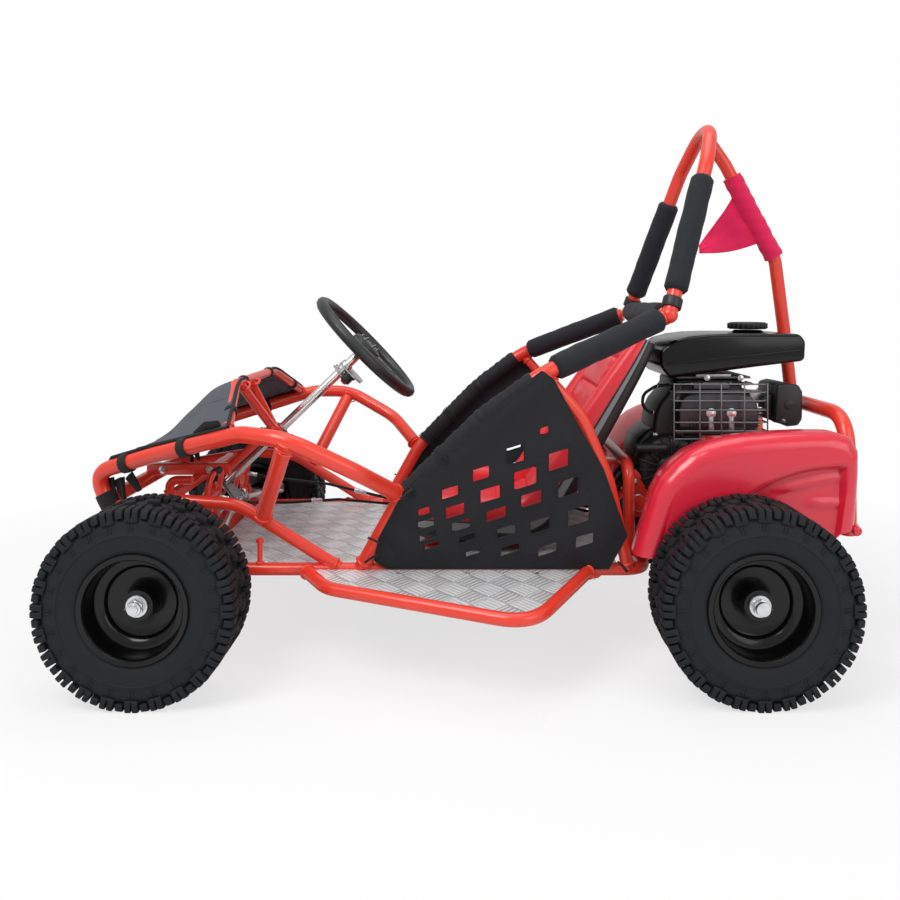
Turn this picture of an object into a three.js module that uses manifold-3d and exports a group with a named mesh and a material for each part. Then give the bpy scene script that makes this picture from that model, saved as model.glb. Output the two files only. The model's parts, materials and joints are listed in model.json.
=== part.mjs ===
// Off road go kart, single seat, with a rear engine and roll hoop.
// Millimetres, +X forward, +Y to the driver's left, +Z up. The ground is Z = 0.
// Places along X are measured from the middle of the wheelbase. The whole kart is then
// shifted so that the origin lies under the middle of its bounding box.

import * as THREE from 'three';
import { mergeVertices } from 'three/addons/utils/BufferGeometryUtils.js';
import Module from 'manifold-3d';

const wasm = await Module();
wasm.setup();

// Fits and overruns
const fitGap = 0.3;
const runningGap = 3;
const cutOverrun = 4;
const weldSink = 2;
const flatTolerance = 0.15;

// Wheels and axles
const wheelbase = 975;
const trackWidth = 790;
const tyreRadius = 158;
const tyreWidth = 124;
const crownWidth = 66;
const shoulderWidth = 112;
const shoulderDrop = 12;
const sidewallRadius = 116;
const lugDepth = 9;
const rimSeatRadius = 80;
const rimLipRadius = 88;
const rimWidth = 116;
const rimSheet = 4;
const rimDishDepth = 34;
const wheelHubRadius = 24;
const wheelHubWidth = 66;
const frontAxleDiameter = 17;
const rearAxleDiameter = 25;
const axleCollarRadius = 15;
const axleCollarWidth = 8;
const hubNutRadius = 14;
const hubNutWidth = 14;
const hubWasherRadius = 20;
const hubWasherWidth = 4;

// Kingpins, spindles and tie rods
const steeringLockDegrees = 35;
const spindleLockDegrees = 20;
const kingpinReach = 27;
const kingpinDiameter = 12;
const knuckleRadius = 13;
const yokeHeight = 56;
const yokePlate = 6;
const yokeDepth = 40;
const steeringArmThickness = 8;
const steeringArmWidth = 18;
const pitmanLength = 45;
const pitmanSpread = 22;
const pitmanThickness = 6;
const pitmanHubRadius = 11;
const pitmanDistance = 400;
const tieRodDiameter = 10;
const tieRodEyeRadius = 10;
const tieRodEyeThickness = 10;

// Steering column and wheel
const columnAngleDegrees = 44;
const columnDiameter = 18;
const columnBushRadius = 16;
const columnBushLength = 36;
const columnTail = 24;
const columnFlangeRadius = 30;
const columnFlangeThickness = 5;
const steeringWheelFromAxle = -310.5;
const steeringWheelZ = 541;
const steeringWheelRadius = 126;
const steeringWheelGrip = 26;
const steeringHubRadius = 34;
const steeringHubThickness = 14;
const spokeWidth = 34;
const spokeThickness = 8;
const switchPlateWidth = 66;
const switchPlateDrop = 46;
const switchPlateThickness = 3;
const switchPlateDistance = 56;
const switchBodyRadius = 11;
const switchBodyDepth = 20;
const switchButtonRadius = 7;
const switchButtonDepth = 12;
const switchButtonTravel = 3;
const switchOffset = 20;

// Frame tubes
const hoopTube = 28;
const railTube = 22;
const stayTube = 26;
const dashTube = 18;
const smallTube = 16;
const postTube = 9;
const frameBend = 90;
const railBend = 45;
const dashBend = 30;
const hoopBend = 135;
const railHalfWidth = 256;
const railHeight = 163;
const railEndFromAxle = 142.5;
const sideLean = 0.156;
const plateThickness = 3;
const floorLift = 3;
const floorTube = 20;
const floorCrossFrontX = 256;
const floorCrossRearX = -256;
const heelPostFromAxle = -152.5;
const heelPostRise = 49;

// Side frame: the arched top tube, its strut and the lower diagonal
const noseLowFromAxle = 122.5;
const noseLowZ = 262;
const noseFromAxle = 152.5;
const noseZ = 326;
const noseHalfWidth = 222;
const noseCrossZ = 276;
const shoulderFromAxle = 27.5;
const shoulderY = 272;
const shoulderZ = 366;
const archFromAxle = -143.5;
const archY = 360;
const archZ = 415;
const archTopFromAxle = -226.5;
const archTopY = 396;
const archTopZ = 411;
const archRearX = 150;
const archRearY = 365;
const archRearZ = 352;
const archFootX = 84;
const archFootZ = 294;
const diagonalFrontFromAxle = -17.5;
const diagonalFrontZ = 283;
const diagonalKneeFromAxle = -115.5;
const diagonalKneeRise = 113;
const diagonalFootX = 193;
const strutFootFromAxle = -156.5;
const strutFootRise = 87;

// Front subframe between the side frames
const crossMemberFromAxle = 24.5;
const channelY = 26;
const channelWidth = 24;
const channelHeight = 22;
const channelRearFromAxle = -41.5;
const hookY = 200;
const hookFromAxle = -16.5;
const hookZ = 308;

// Side hoop, its rear strut and the roll hoop
const pillarFootX = 157;
const hoopMidX = -55;
const hoopMidZ = 434;
const elbowFromAxle = 328.5;
const elbowZ = 511;
const junctionFromAxle = 91.5;
const junctionY = 205;
const junctionZ = 609;
const rearStrutFootFromAxle = 175.5;
const rearStrutKneeFromAxle = 214.5;
const rearStrutKneeZ = 325;
const rearStrutShoulderFromAxle = 260.5;
const rearStrutShoulderZ = 434;
const rollShoulderFromAxle = -2.5;
const rollShoulderY = 110;
const rollShoulderZ = 905;
const rollTopFromAxle = -27.5;
const rollTopY = 44;
const rollTopZ = 977;
const staySideStep = 27;
const stayStartFromAxle = -68.5;
const stayStartZ = 912;
const stayKneeFromAxle = -174.5;
const stayKneeZ = 722;
const stayLowFromAxle = -198.5;
const stayLowZ = 570;
const clampRadius = 19;
const clampLength = 20;

// Dash hoop and the bush that it carries
const dashFromAxle = -86.5;
const dashZ = 480;
const dashHalfWidth = 165;
const dashFootFromAxle = -119.5;
const dashFootY = 347;
const dashFootZ = 416;
const dashBraceOuterY = 140;
const dashBraceInnerY = 62;
const dashBushFromAxle = -126.5;

// Rear frame, engine plate and bumper
const rearRailY = 200;
const rearRailRise = 67;
const rearRailKickFromAxle = 95.5;
const rearRailBendFromAxle = -132.5;
const engineCrossFrontFromAxle = 107.5;
const engineCrossRearFromAxle = -92.5;
const enginePlateThickness = 7;
const enginePlateLeftY = 128;
const enginePlateRightY = -60;
const carrierThickness = 10;
const carrierWidth = 60;
const carrierBossRadius = 27;
const carrierBossWidth = 24;
const backrestPostFromAxle = 157.5;
const backrestPostY = 165;
const backrestPostRise = 167;
const bumperFromAxle = -212.5;
const bumperTopZ = 431;
const bumperFootFromAxle = -214.5;
const bumperFootZ = 222;
const bumperHalfWidth = 250;
const bumperTube = 28;
const bumperBend = 70;

// Side bars and step plates
const sideBarFrontX = 206;
const sideBarFrontY = 338;
const sideBarRearX = -128;
const sideBarRearY = 470;
const sideBarFootFrontX = 256;
const sideBarFootRearFromAxle = 241.5;
const sideBarDrop = 0.098;
const sideBarBend = 66;

// Fenders
const fenderFrontFromAxle = 183.5;
const fenderRearFromAxle = -199.5;
const fenderBottomZ = 197;
const fenderTopZ = 409;
const fenderOuterY = 322;
const fenderInnerY = 186;
const fenderWall = 4;
const fenderArchRadius = 122;
const fenderOutlineShares = [
  [0, 0],
  [0.057, 0.18],
  [0.117, 0.51],
  [0.206, 0.745],
  [0.339, 0.9],
  [0.5, 0.967],
  [0.89, 1],
  [0.97, 0.96],
  [1, 0.858],
  [0.969, 0.25],
];
const fenderRibShares = [0.3, 0.73];
const fenderArchStartShare = 0.14;
const fenderArchEndShare = 0.86;

// Seat
const seatFrontFromAxle = 557.5;
const seatFrontLift = 57;
const seatCornerFromAxle = 327.5;
const seatCornerLift = 45;
const seatTopFromAxle = 131.5;
const seatTopLift = 397;
const seatBend = 90;
const cushionWidth = 288;
const cushionThickness = 48;
const cushionWaistShare = 0.93;
const cushionEndShare = 0.5;
const cushionEndPower = 6;
const seatShellWidth = 356;
const seatShellWall = 10;
const seatBolsterRise = 26;
const seatFootLength = 60;
const seatFootWidth = 30;
const seatFootY = 120;
const seatFootRearFromAxle = 357.5;
const seatFootFrontFromAxle = 517.5;
const seatLugWidth = 40;
const seatLugHeight = 12;
const seatLugY = 90;

// Foam pads
const padFoam = 8;
const sidePadShares = [0.08, 0.92];
const leftHoopPadShares = [0.145, 0.88];
const rightHoopPadShares = [0.13, 0.8];
const crossPadShares = [0.1, 0.9];

// Side nets
const netThickness = 3;
const netFrontX = 132;
const netRearFromAxle = 181.5;
const netBottomRise = 3;
const netTopZ = 516;
const netOutlineShares = [
  [0.655, 1],
  [0.42, 0.77],
  [0.125, 0.41],
  [0.02, 0.16],
  [0, 0.04],
  [0.05, 0],
  [0.93, 0],
  [1, 0.17],
  [0.9, 0.51],
  [0.78, 0.77],
  [0.7, 0.96],
];
const netGapColumns = 5;
const netGapRows = 5;
const netGapFirstTopShares = [0.196, 0.331];
const netGapFirstLowShares = [0.233, 0.13];
const netGapLastTopShares = [0.67, 0.711];
const netGapLastLowShares = [0.824, 0.13];
const netGapFirstWidth = 24;
const netGapFirstHeight = 11;
const netGapLastWidth = 33;
const netGapLastHeight = 26;
const netGapSlant = 0.3;
const netSleeveStartShare = 0.12;
const netSleeveEndShare = 0.85;

// Nose cover, in rows from the front hem to the dash hoop
const coverThickness = 3;
const coverStrapWidth = 18;
const coverStrapWall = 3;
const coverStrapNoseShare = 0.557;
const coverStrapArchShare = 0.38;
const coverEdgeStartShare = 0.7;
const coverShoulderShare = 0.4;
const coverFlankShare = 0.8;
const coverHemFromAxle = 140.5;
const coverHemDrop = 10;
const coverRows = 6;
const coverShoulderFrontY = 206;
const coverRiseShares = [0, 0.08, 0.24, 0.56, 0.88, 1];
const coverForwardShares = [0, 0.21, 0.41, 0.62, 0.8, 1];

// Flag on the stay
const flagSleeveWall = 7;
const flagThickness = 3;
const flagTopShare = 0.13;
const flagEndShare = 0.02;
const flagTipFromAxle = -17.5;
const flagTipZ = 734;
const flagUpperFromAxle = -102.5;
const flagUpperZ = 858;
const flagLowerFromAxle = -152.5;
const flagLowerZ = 766;
const flagTipHeight = 12;
const flagRipple = 5;
const flagColumns = 6;

// Engine
const crankFromAxle = 72.5;
const crankZ = 315;
const crankDiameter = 19;
const engineFrontFromAxle = 135.5;
const engineRearFromAxle = 5.5;
const engineRightY = -30;
const engineLeftY = 98;
const engineTopZ = 390;
const engineChamfer = 26;
const headFrontFromAxle = 83.5;
const headRearFromAxle = -88.5;
const headRightY = -36;
const headLeftY = 118;
const headBottomZ = 372;
const finDepth = 8;
const finHeight = 6;
const finCount = 5;
const recoilRadius = 66;
const recoilDepth = 40;
const recoilWall = 4;
const recoilHubRadius = 26;
const recoilHubDepth = 8;
const recoilEdge = 12;

// Starter grip
const gripWidth = 60;
const gripDiameter = 16;
const gripStemLength = 14;
const gripStemDiameter = 8;
const gripTiltDegrees = 40;

// Fuel tank and its cap
const tankFrontFromAxle = 95.5;
const tankRearFromAxle = -180.5;
const tankTopZ = 572;
const tankBottomZ = 488;
const tankRightY = -62;
const tankLeftY = 145;
const tankEdge = 10;
const tankOutlineShares = [
  [0, 0.56],
  [0.024, 0.68],
  [0.2, 0.94],
  [0.456, 1],
  [0.96, 1],
  [1, 0.845],
  [0.993, 0.39],
  [0.666, 0.26],
  [0.07, 0],
  [0.01, 0.24],
];
const tankSeatFrontShares = [0.07, 0];
const tankSeatRearShares = [0.666, 0.26];
const fillerFromAxle = -101.5;
const fillerY = 40;
const fillerRadius = 24;
const fillerHeight = 6;
const capRadius = 39;
const capHeight = 14;
const capRibs = 12;
const capRibDepth = 3;

// Muffler, wire guard and air filter
const mufflerFrontFromAxle = 63.5;
const mufflerRearFromAxle = -90.5;
const mufflerBottomZ = 388;
const mufflerTopZ = 462;
const mufflerDepth = 34;
const mufflerEdge = 8;
const guardFrontFromAxle = 75.5;
const guardRearFromAxle = -102.5;
const guardBottomZ = 374;
const guardTopZ = 482;
const guardDepth = 46;
const guardReturn = 16;
const guardWire = 5;
const guardWires = 4;
const guardPosts = 3;
const filterFrontFromAxle = -124.5;
const filterRearFromAxle = -174.5;
const filterBottomZ = 398;
const filterTopZ = 478;
const filterRightY = 20;
const filterLeftY = 140;
const filterEdge = 8;
const intakeRadius = 20;
const intakeY = 62;
const intakeZ = 436;

// Chain drive
const chainY = -80;
const sprocketRadius = 75;
const sprocketTeeth = 50;
const clutchTeeth = 10;
const toothDepth = 5;
const sprocketThickness = 5;
const chainWidth = 9;
const chainHeight = 9;
const clutchBellRadius = 36;
const clutchBellWidth = 30;
const clutchBellY = -38;
const clutchHubRadius = 14;
const sprocketHubRadius = 30;
const sprocketHubWidth = 16;

// Brake
const discY = 66;
const discRadius = 70;
const discThickness = 4;
const discHubRadius = 26;
const discHubWidth = 16;
const caliperLength = 40;
const caliperWidth = 34;
const caliperHeight = 52;
const caliperReach = 16;
const leverLength = 42;
const leverWidth = 14;
const leverThickness = 5;
const leverPinDiameter = 8;

// Pedals
const pedalPivotFromAxle = -21.5;
const pedalPivotZ = 214;
const pedalTopFromAxle = -37.5;
const pedalTopZ = 308;
const pedalInnerY = 72;
const pedalOuterY = 160;
const pedalBend = 34;
const pedalRod = 11;
const pedalPinDiameter = 10;
const pedalEyeRadius = 9;
const pedalEyeWidth = 13;
const pedalBarShare = 0.5;
const pedalLugHalf = 12;
const pedalLugThickness = 6;

// Cables
const cableDiameter = 6;
const cableBend = 40;
const cableStopGap = 20;
const throttleCableRoute = [
  [400, -122, 250],
  [279, -152, 230],
  [157, -200, 190],
  [90, -232, 173],
  [-240, -232, 173],
  [-300, -140, 182],
  [-350, -136, 188],
  [-366, -132, 243],
  [-440, -112, 252],
  [-520, -104, 350],
  [-580, -50, 420],
  [-594, 0, 436],
];
const brakeCableRoute = [
  [400, 108, 247],
  [330, 60, 236],
  [240, -60, 216],
  [150, -190, 178],
  [90, -222, 173],
  [-230, -222, 173],
  [-285, -120, 178],
  [-345, -60, 186],
  [-400, -20, 190],
  [-460, 36, 196],
];

// Counts of sides and steps
const tubeSides = 8;
const bendStepDegrees = 45;
const tyreLugs = 20;
const rimSides = 14;
const roundSides = 8;
const gripSteps = 20;
const wireSides = 5;
const cushionSides = 14;
const cushionSteps = 6;
const archSteps = 6;
const chainArcSteps = 8;

// Worked out from the sizes above
const axleX = wheelbase / 2;
const wheelY = trackWidth / 2;
const heelPostX = axleX + heelPostFromAxle;
const noseLowX = axleX + noseLowFromAxle;
const noseX = axleX + noseFromAxle;
const shoulderX = axleX + shoulderFromAxle;
const archX = axleX + archFromAxle;
const archTopX = axleX + archTopFromAxle;
const diagonalFrontX = axleX + diagonalFrontFromAxle;
const diagonalKneeX = axleX + diagonalKneeFromAxle;
const strutFootX = axleX + strutFootFromAxle;
const crossMemberX = axleX + crossMemberFromAxle;
const channelRearX = axleX + channelRearFromAxle;
const hookX = axleX + hookFromAxle;
const dashX = axleX + dashFromAxle;
const dashFootX = axleX + dashFootFromAxle;
const dashBushX = axleX + dashBushFromAxle;
const steeringWheelX = axleX + steeringWheelFromAxle;
const pedalPivotX = axleX + pedalPivotFromAxle;
const pedalTopX = axleX + pedalTopFromAxle;
const coverHemX = axleX + coverHemFromAxle;
const railEndX = railEndFromAxle - axleX;
const elbowX = elbowFromAxle - axleX;
const junctionX = junctionFromAxle - axleX;
const rearStrutFootX = rearStrutFootFromAxle - axleX;
const rearStrutKneeX = rearStrutKneeFromAxle - axleX;
const rearStrutShoulderX = rearStrutShoulderFromAxle - axleX;
const rollShoulderX = rollShoulderFromAxle - axleX;
const rollTopX = rollTopFromAxle - axleX;
const stayStartX = stayStartFromAxle - axleX;
const stayKneeX = stayKneeFromAxle - axleX;
const stayLowX = stayLowFromAxle - axleX;
const rearRailKickX = rearRailKickFromAxle - axleX;
const rearRailBendX = rearRailBendFromAxle - axleX;
const engineCrossFrontX = engineCrossFrontFromAxle - axleX;
const engineCrossRearX = engineCrossRearFromAxle - axleX;
const backrestPostX = backrestPostFromAxle - axleX;
const bumperX = bumperFromAxle - axleX;
const bumperFootX = bumperFootFromAxle - axleX;
const fenderFrontX = fenderFrontFromAxle - axleX;
const fenderRearX = fenderRearFromAxle - axleX;
const seatFrontX = seatFrontFromAxle - axleX;
const seatCornerX = seatCornerFromAxle - axleX;
const seatTopX = seatTopFromAxle - axleX;
const seatFootRearX = seatFootRearFromAxle - axleX;
const seatFootFrontX = seatFootFrontFromAxle - axleX;
const netRearX = netRearFromAxle - axleX;
const sideBarFootRearX = sideBarFootRearFromAxle - axleX;
const flagTipX = flagTipFromAxle - axleX;
const flagUpperX = flagUpperFromAxle - axleX;
const flagLowerX = flagLowerFromAxle - axleX;
const crankX = crankFromAxle - axleX;
const engineFrontX = engineFrontFromAxle - axleX;
const engineRearX = engineRearFromAxle - axleX;
const headFrontX = headFrontFromAxle - axleX;
const headRearX = headRearFromAxle - axleX;
const tankFrontX = tankFrontFromAxle - axleX;
const tankRearX = tankRearFromAxle - axleX;
const fillerX = fillerFromAxle - axleX;
const mufflerFrontX = mufflerFrontFromAxle - axleX;
const mufflerRearX = mufflerRearFromAxle - axleX;
const guardFrontX = guardFrontFromAxle - axleX;
const guardRearX = guardRearFromAxle - axleX;
const filterFrontX = filterFrontFromAxle - axleX;
const filterRearX = filterRearFromAxle - axleX;
const axleHeight = tyreRadius * Math.cos(Math.PI / tyreLugs);
const floorBottom = railHeight + floorLift;
const floorTop = floorBottom + plateThickness;
const kingpinOffset = railHalfWidth + kingpinReach;
const heelPostZ = railHeight + heelPostRise;
const rearRailZ = axleHeight + rearRailRise;
const backrestPostZ = railHeight + backrestPostRise;
const strutFootZ = railHeight + strutFootRise;
const diagonalKneeZ = railHeight + diagonalKneeRise;
const netBottomZ = railHeight + netBottomRise;
const seatFrontZ = floorTop + seatFrontLift;
const seatCornerZ = floorTop + seatCornerLift;
const seatTopZ = floorTop + seatTopLift;
const columnAngle = THREE.MathUtils.degToRad(columnAngleDegrees);
const columnDown = new THREE.Vector3(Math.cos(columnAngle), 0, -Math.sin(columnAngle));
const steeringCentre = new THREE.Vector3(steeringWheelX, 0, steeringWheelZ);
const steeringArmLength = pitmanLength * Math.sin(THREE.MathUtils.degToRad(steeringLockDegrees))
  / Math.sin(THREE.MathUtils.degToRad(spindleLockDegrees));
const beamRearX = axleX - yokeDepth / 2;
const beamTop = axleHeight + yokeHeight / 2;
const hubOuterEnd = wheelY + wheelHubWidth / 2 + fitGap;
const hubInnerEnd = wheelY - wheelHubWidth / 2 - fitGap;

const v = (x, y, z) => new THREE.Vector3(x, y, z);
const across = (point) => v(point.x, -point.y, point.z);
const mix = (low, high, share) => low + (high - low) * share;

// The side plane leans outwards from the rail as it rises
const leanY = (z) => railHalfWidth + (z - railHeight) * sideLean;
const onSide = (x, z) => v(x, leanY(z), z);
const onColumn = (distance) => steeringCentre.clone().addScaledVector(columnDown, distance);
const columnDistanceAt = (x) => (x - steeringWheelX) / Math.cos(columnAngle);

// Solids from geometries and back

function outwards(geometry) {
  const position = geometry.attributes.position;
  const index = geometry.index.array;
  const a = new THREE.Vector3();
  const b = new THREE.Vector3();
  const c = new THREE.Vector3();
  let volume = 0;
  for (let i = 0; i < index.length; i += 3) {
    a.fromBufferAttribute(position, index[i]);
    b.fromBufferAttribute(position, index[i + 1]);
    c.fromBufferAttribute(position, index[i + 2]);
    volume += a.dot(b.cross(c));
  }
  if (volume < 0) {
    for (let i = 0; i < index.length; i += 3) {
      [index[i], index[i + 1]] = [index[i + 1], index[i]];
    }
  }
  return geometry;
}

function solidOf(geometry) {
  const bare = geometry.clone();
  bare.deleteAttribute('normal');
  bare.deleteAttribute('uv');
  const merged = outwards(mergeVertices(bare, fitGap / 100));
  return new wasm.Manifold(new wasm.Mesh({
    numProp: 3,
    vertProperties: new Float32Array(merged.attributes.position.array),
    triVerts: new Uint32Array(merged.index.array),
  }));
}

function geometryOf(solid) {
  const mesh = solid.simplify(flatTolerance).getMesh();
  const geometry = new THREE.BufferGeometry();
  geometry.setAttribute('position', new THREE.BufferAttribute(new Float32Array(mesh.vertProperties), 3));
  geometry.setIndex(new THREE.BufferAttribute(new Uint32Array(mesh.triVerts), 1));
  geometry.computeVertexNormals();
  return geometry;
}

const join = (...solids) => solids.flat().reduce((sum, solid) => sum.add(solid));
const cut = (solid, ...cutters) => cutters.flat().reduce((rest, cutter) => rest.subtract(cutter), solid);
const moved = (solid, matrix) => solidOf(geometryOf(solid).applyMatrix4(matrix));
const mirrored = (solid) => solidOf(geometryOf(solid).scale(1, -1, 1));

// A closed body from faces that are listed with their corners
function shellOf(vertices, triangles) {
  const geometry = new THREE.BufferGeometry();
  geometry.setAttribute('position', new THREE.Float32BufferAttribute(vertices, 3));
  geometry.setIndex(new THREE.BufferAttribute(new Uint32Array(triangles), 1));
  return solidOf(geometry);
}

// Basic shapes

function roundShape(diameter) {
  const sides = diameter < railTube ? wireSides : tubeSides;
  return new THREE.Shape(Array.from({ length: sides }, (_, i) => {
    const angle = (i + 1 / 2) / sides * Math.PI * 2;
    return new THREE.Vector2(Math.cos(angle), Math.sin(angle)).multiplyScalar(diameter / 2);
  }));
}

function box(a, b) {
  const low = a.clone().min(b);
  const size = a.clone().max(b).sub(low);
  const geometry = new THREE.BoxGeometry(size.x, size.y, size.z);
  const middle = low.addScaledVector(size, 1 / 2);
  return solidOf(geometry.translate(middle.x, middle.y, middle.z));
}

function rod(from, to, radius, sides = roundSides, start = 0) {
  const direction = to.clone().sub(from);
  const geometry = new THREE.CylinderGeometry(radius, radius, direction.length(), sides, 1, false, start);
  const turn = new THREE.Quaternion().setFromUnitVectors(v(0, 1, 0), direction.clone().normalize());
  const middle = from.clone().add(to).multiplyScalar(1 / 2);
  return solidOf(geometry.applyQuaternion(turn).translate(middle.x, middle.y, middle.z));
}

// A rod that cuts a hole: its flats, not only its corners, reach the radius
function bore(from, to, radius) {
  const overrun = to.clone().sub(from).setLength(cutOverrun);
  const half = Math.PI / roundSides;
  return rod(from.clone().sub(overrun), to.clone().add(overrun), radius / Math.cos(half), roundSides, half);
}

const sleeve = (from, to, innerRadius, outerRadius) => (
  cut(rod(from, to, outerRadius), bore(from, to, innerRadius)));

// A plate whose outline lies in the XZ plane, between two places along Y, with its rim
// rounded over by an edge
function sidePlate(outline, lowY, highY, edge = 0) {
  const shape = new THREE.Shape(outline.map(([x, z]) => new THREE.Vector2(x, z)));
  const geometry = new THREE.ExtrudeGeometry(shape, {
    depth: highY - lowY - 2 * edge,
    bevelEnabled: edge > 0,
    bevelThickness: edge,
    bevelSize: edge,
    bevelOffset: -edge,
    bevelSegments: 2,
  });
  return solidOf(geometry.rotateX(Math.PI / 2).translate(0, highY - edge, 0));
}

const flatShape = (outline) => new THREE.Shape(outline.map(([x, y]) => new THREE.Vector2(x, y)));

// A plate whose outline lies in the XY plane, between two heights
function flatPlate(outline, lowZ, highZ) {
  const geometry = new THREE.ExtrudeGeometry(flatShape(outline), { depth: highZ - lowZ, bevelEnabled: false });
  return solidOf(geometry.translate(0, 0, lowZ));
}

// A closed profile of radius and width turned about the Y axis
function turned(profile, sides) {
  const points = profile.map(([radius, y]) => new THREE.Vector2(radius, y));
  return solidOf(new THREE.LatheGeometry([...points, points[0].clone()], sides));
}

const at = (solid, x, y, z) => moved(solid, new THREE.Matrix4().makeTranslation(x, y, z));

// The route of a bent tube: straight runs joined by round bends
class BentPath extends THREE.Curve {
  constructor(points, bendRadius) {
    super();
    this.stations = [points[0]];
    for (let i = 1; i < points.length - 1; i += 1) {
      const back = points[i - 1].clone().sub(points[i]);
      const ahead = points[i + 1].clone().sub(points[i]);
      const turn = Math.PI - back.angleTo(ahead);
      const steps = Math.ceil(turn / THREE.MathUtils.degToRad(bendStepDegrees));
      const reach = Math.min(bendRadius * Math.tan(turn / 2), back.length() / 2, ahead.length() / 2);
      const bend = new THREE.QuadraticBezierCurve3(
        points[i].clone().addScaledVector(back.normalize(), reach),
        points[i],
        points[i].clone().addScaledVector(ahead.normalize(), reach),
      );
      const bendPoints = steps > 1 ? bend.getPoints(steps) : [points[i]];
      bendPoints.forEach((point) => {
        const last = this.stations[this.stations.length - 1];
        if (last.distanceTo(point) > fitGap) this.stations.push(point);
      });
    }
    const end = points[points.length - 1];
    if (this.stations[this.stations.length - 1].distanceTo(end) > fitGap) this.stations.push(end);
  }

  get steps() {
    return this.stations.length - 1;
  }

  getPointAt(share, target = new THREE.Vector3()) {
    return target.copy(this.stations[Math.round(share * this.steps)]);
  }

  getTangentAt(share, target = new THREE.Vector3()) {
    const i = Math.round(share * this.steps);
    const next = this.stations[Math.min(i + 1, this.steps)];
    const last = this.stations[Math.max(i - 1, 0)];
    return target.copy(next).sub(last).normalize();
  }
}

function tube(points, diameter, bend = frameBend) {
  const path = new BentPath(points, bend);
  return solidOf(new THREE.ExtrudeGeometry(roundShape(diameter), {
    steps: path.steps,
    extrudePath: path,
    bevelEnabled: false,
  }));
}

function lengthened(points, extra) {
  const first = points[0].clone().sub(points[1]).setLength(extra).add(points[0]);
  const last = points[points.length - 1];
  const end = last.clone().sub(points[points.length - 2]).setLength(extra).add(last);
  return [first, ...points.slice(1, -1), end];
}

// Tubes listed as [points, diameter, bend], welded into one solid. The same list with
// a gap added all round cuts what is fitted against them.
const weld = (tubes, gap = 0) => join(tubes.map(([points, diameter, bend]) => (
  tube(lengthened(points, gap), diameter + 2 * gap, bend))));
const clearOf = (tubes, gap = fitGap) => weld(tubes, gap);
const onBothSides = ([points, diameter, bend]) => [
  [points, diameter, bend],
  [points.map(across), diameter, bend],
];
const crossTube = (x, halfWidth, z, diameter = railTube) => (
  [[v(x, halfWidth, z), v(x, -halfWidth, z)], diameter, frameBend]);

// A body swept along a route in the XZ plane: its section points are [across, outwards]
function swept(stations, sectionAt) {
  const vertices = [];
  const triangles = [];
  const last = stations.length - 1;
  const sections = stations.map((_, i) => sectionAt(i / last));
  const count = sections[0].length;
  stations.forEach((station, i) => {
    const along = stations[Math.min(i + 1, last)].clone().sub(stations[Math.max(i - 1, 0)]).normalize();
    const outward = new THREE.Vector3().crossVectors(v(0, 1, 0), along);
    sections[i].forEach(([y, out]) => {
      const point = station.clone().addScaledVector(outward, out);
      vertices.push(point.x, point.y + y, point.z);
    });
  });
  for (let i = 0; i < last; i += 1) {
    for (let j = 0; j < count; j += 1) {
      const a = i * count + j;
      const b = i * count + (j + 1) % count;
      triangles.push(a, b, b + count, a, b + count, a + count);
    }
  }
  const contour = sections[0].map(([y, out]) => new THREE.Vector2(y, out));
  const faces = THREE.ShapeUtils.triangulateShape(contour, []);
  const sameWay = THREE.ShapeUtils.area(contour)
    * THREE.ShapeUtils.area(faces[0].map((i) => contour[i])) > 0;
  faces.forEach((face) => {
    const [a, b, c] = sameWay ? face : [face[0], face[2], face[1]];
    triangles.push(a, c, b, a + last * count, b + last * count, c + last * count);
  });
  return shellOf(vertices, triangles);
}

// A closed sheet from rows of points, thickened both ways along a direction
function sheetOf(rows, thickness, direction) {
  const columns = rows[0].length;
  const count = rows.length * columns;
  const offset = direction.clone().setLength(thickness / 2);
  const points = rows.flat();
  const vertices = [
    ...points.flatMap((point) => point.clone().add(offset).toArray()),
    ...points.flatMap((point) => point.clone().sub(offset).toArray()),
  ];
  const triangles = [];
  for (let i = 0; i < rows.length - 1; i += 1) {
    for (let j = 0; j < columns - 1; j += 1) {
      const a = i * columns + j;
      const b = a + 1;
      const c = b + columns;
      const d = a + columns;
      triangles.push(a, b, c, a, c, d);
      triangles.push(a + count, c + count, b + count, a + count, d + count, c + count);
    }
  }
  const wall = (a, b) => triangles.push(b, a, a + count, b, a + count, b + count);
  for (let j = 0; j < columns - 1; j += 1) {
    wall(j, j + 1);
    wall(count - 1 - j, count - 2 - j);
  }
  for (let i = 0; i < rows.length - 1; i += 1) {
    wall((i + 1) * columns, i * columns);
    wall((i + 1) * columns - 1, (i + 2) * columns - 1);
  }
  return shellOf(vertices, triangles);
}

// Places a solid made on the steering axis: its X is the kart's left, and its Z points to
// the driver
function onSteeringAxis(solid, distance) {
  const towards = columnDown.clone().negate();
  const sideways = v(0, 1, 0);
  const basis = new THREE.Matrix4().makeBasis(
    sideways,
    new THREE.Vector3().crossVectors(towards, sideways),
    towards,
  );
  return moved(solid, basis.setPosition(onColumn(distance)));
}

// The end of a tube that stops a quarter of its width short of what it is welded to
const shortOf = (from, to) => from.clone().sub(to).setLength(hoopTube / 4).add(to);

// Frame tubes: those of the left side, then those on both sides and the whole ones

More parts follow.
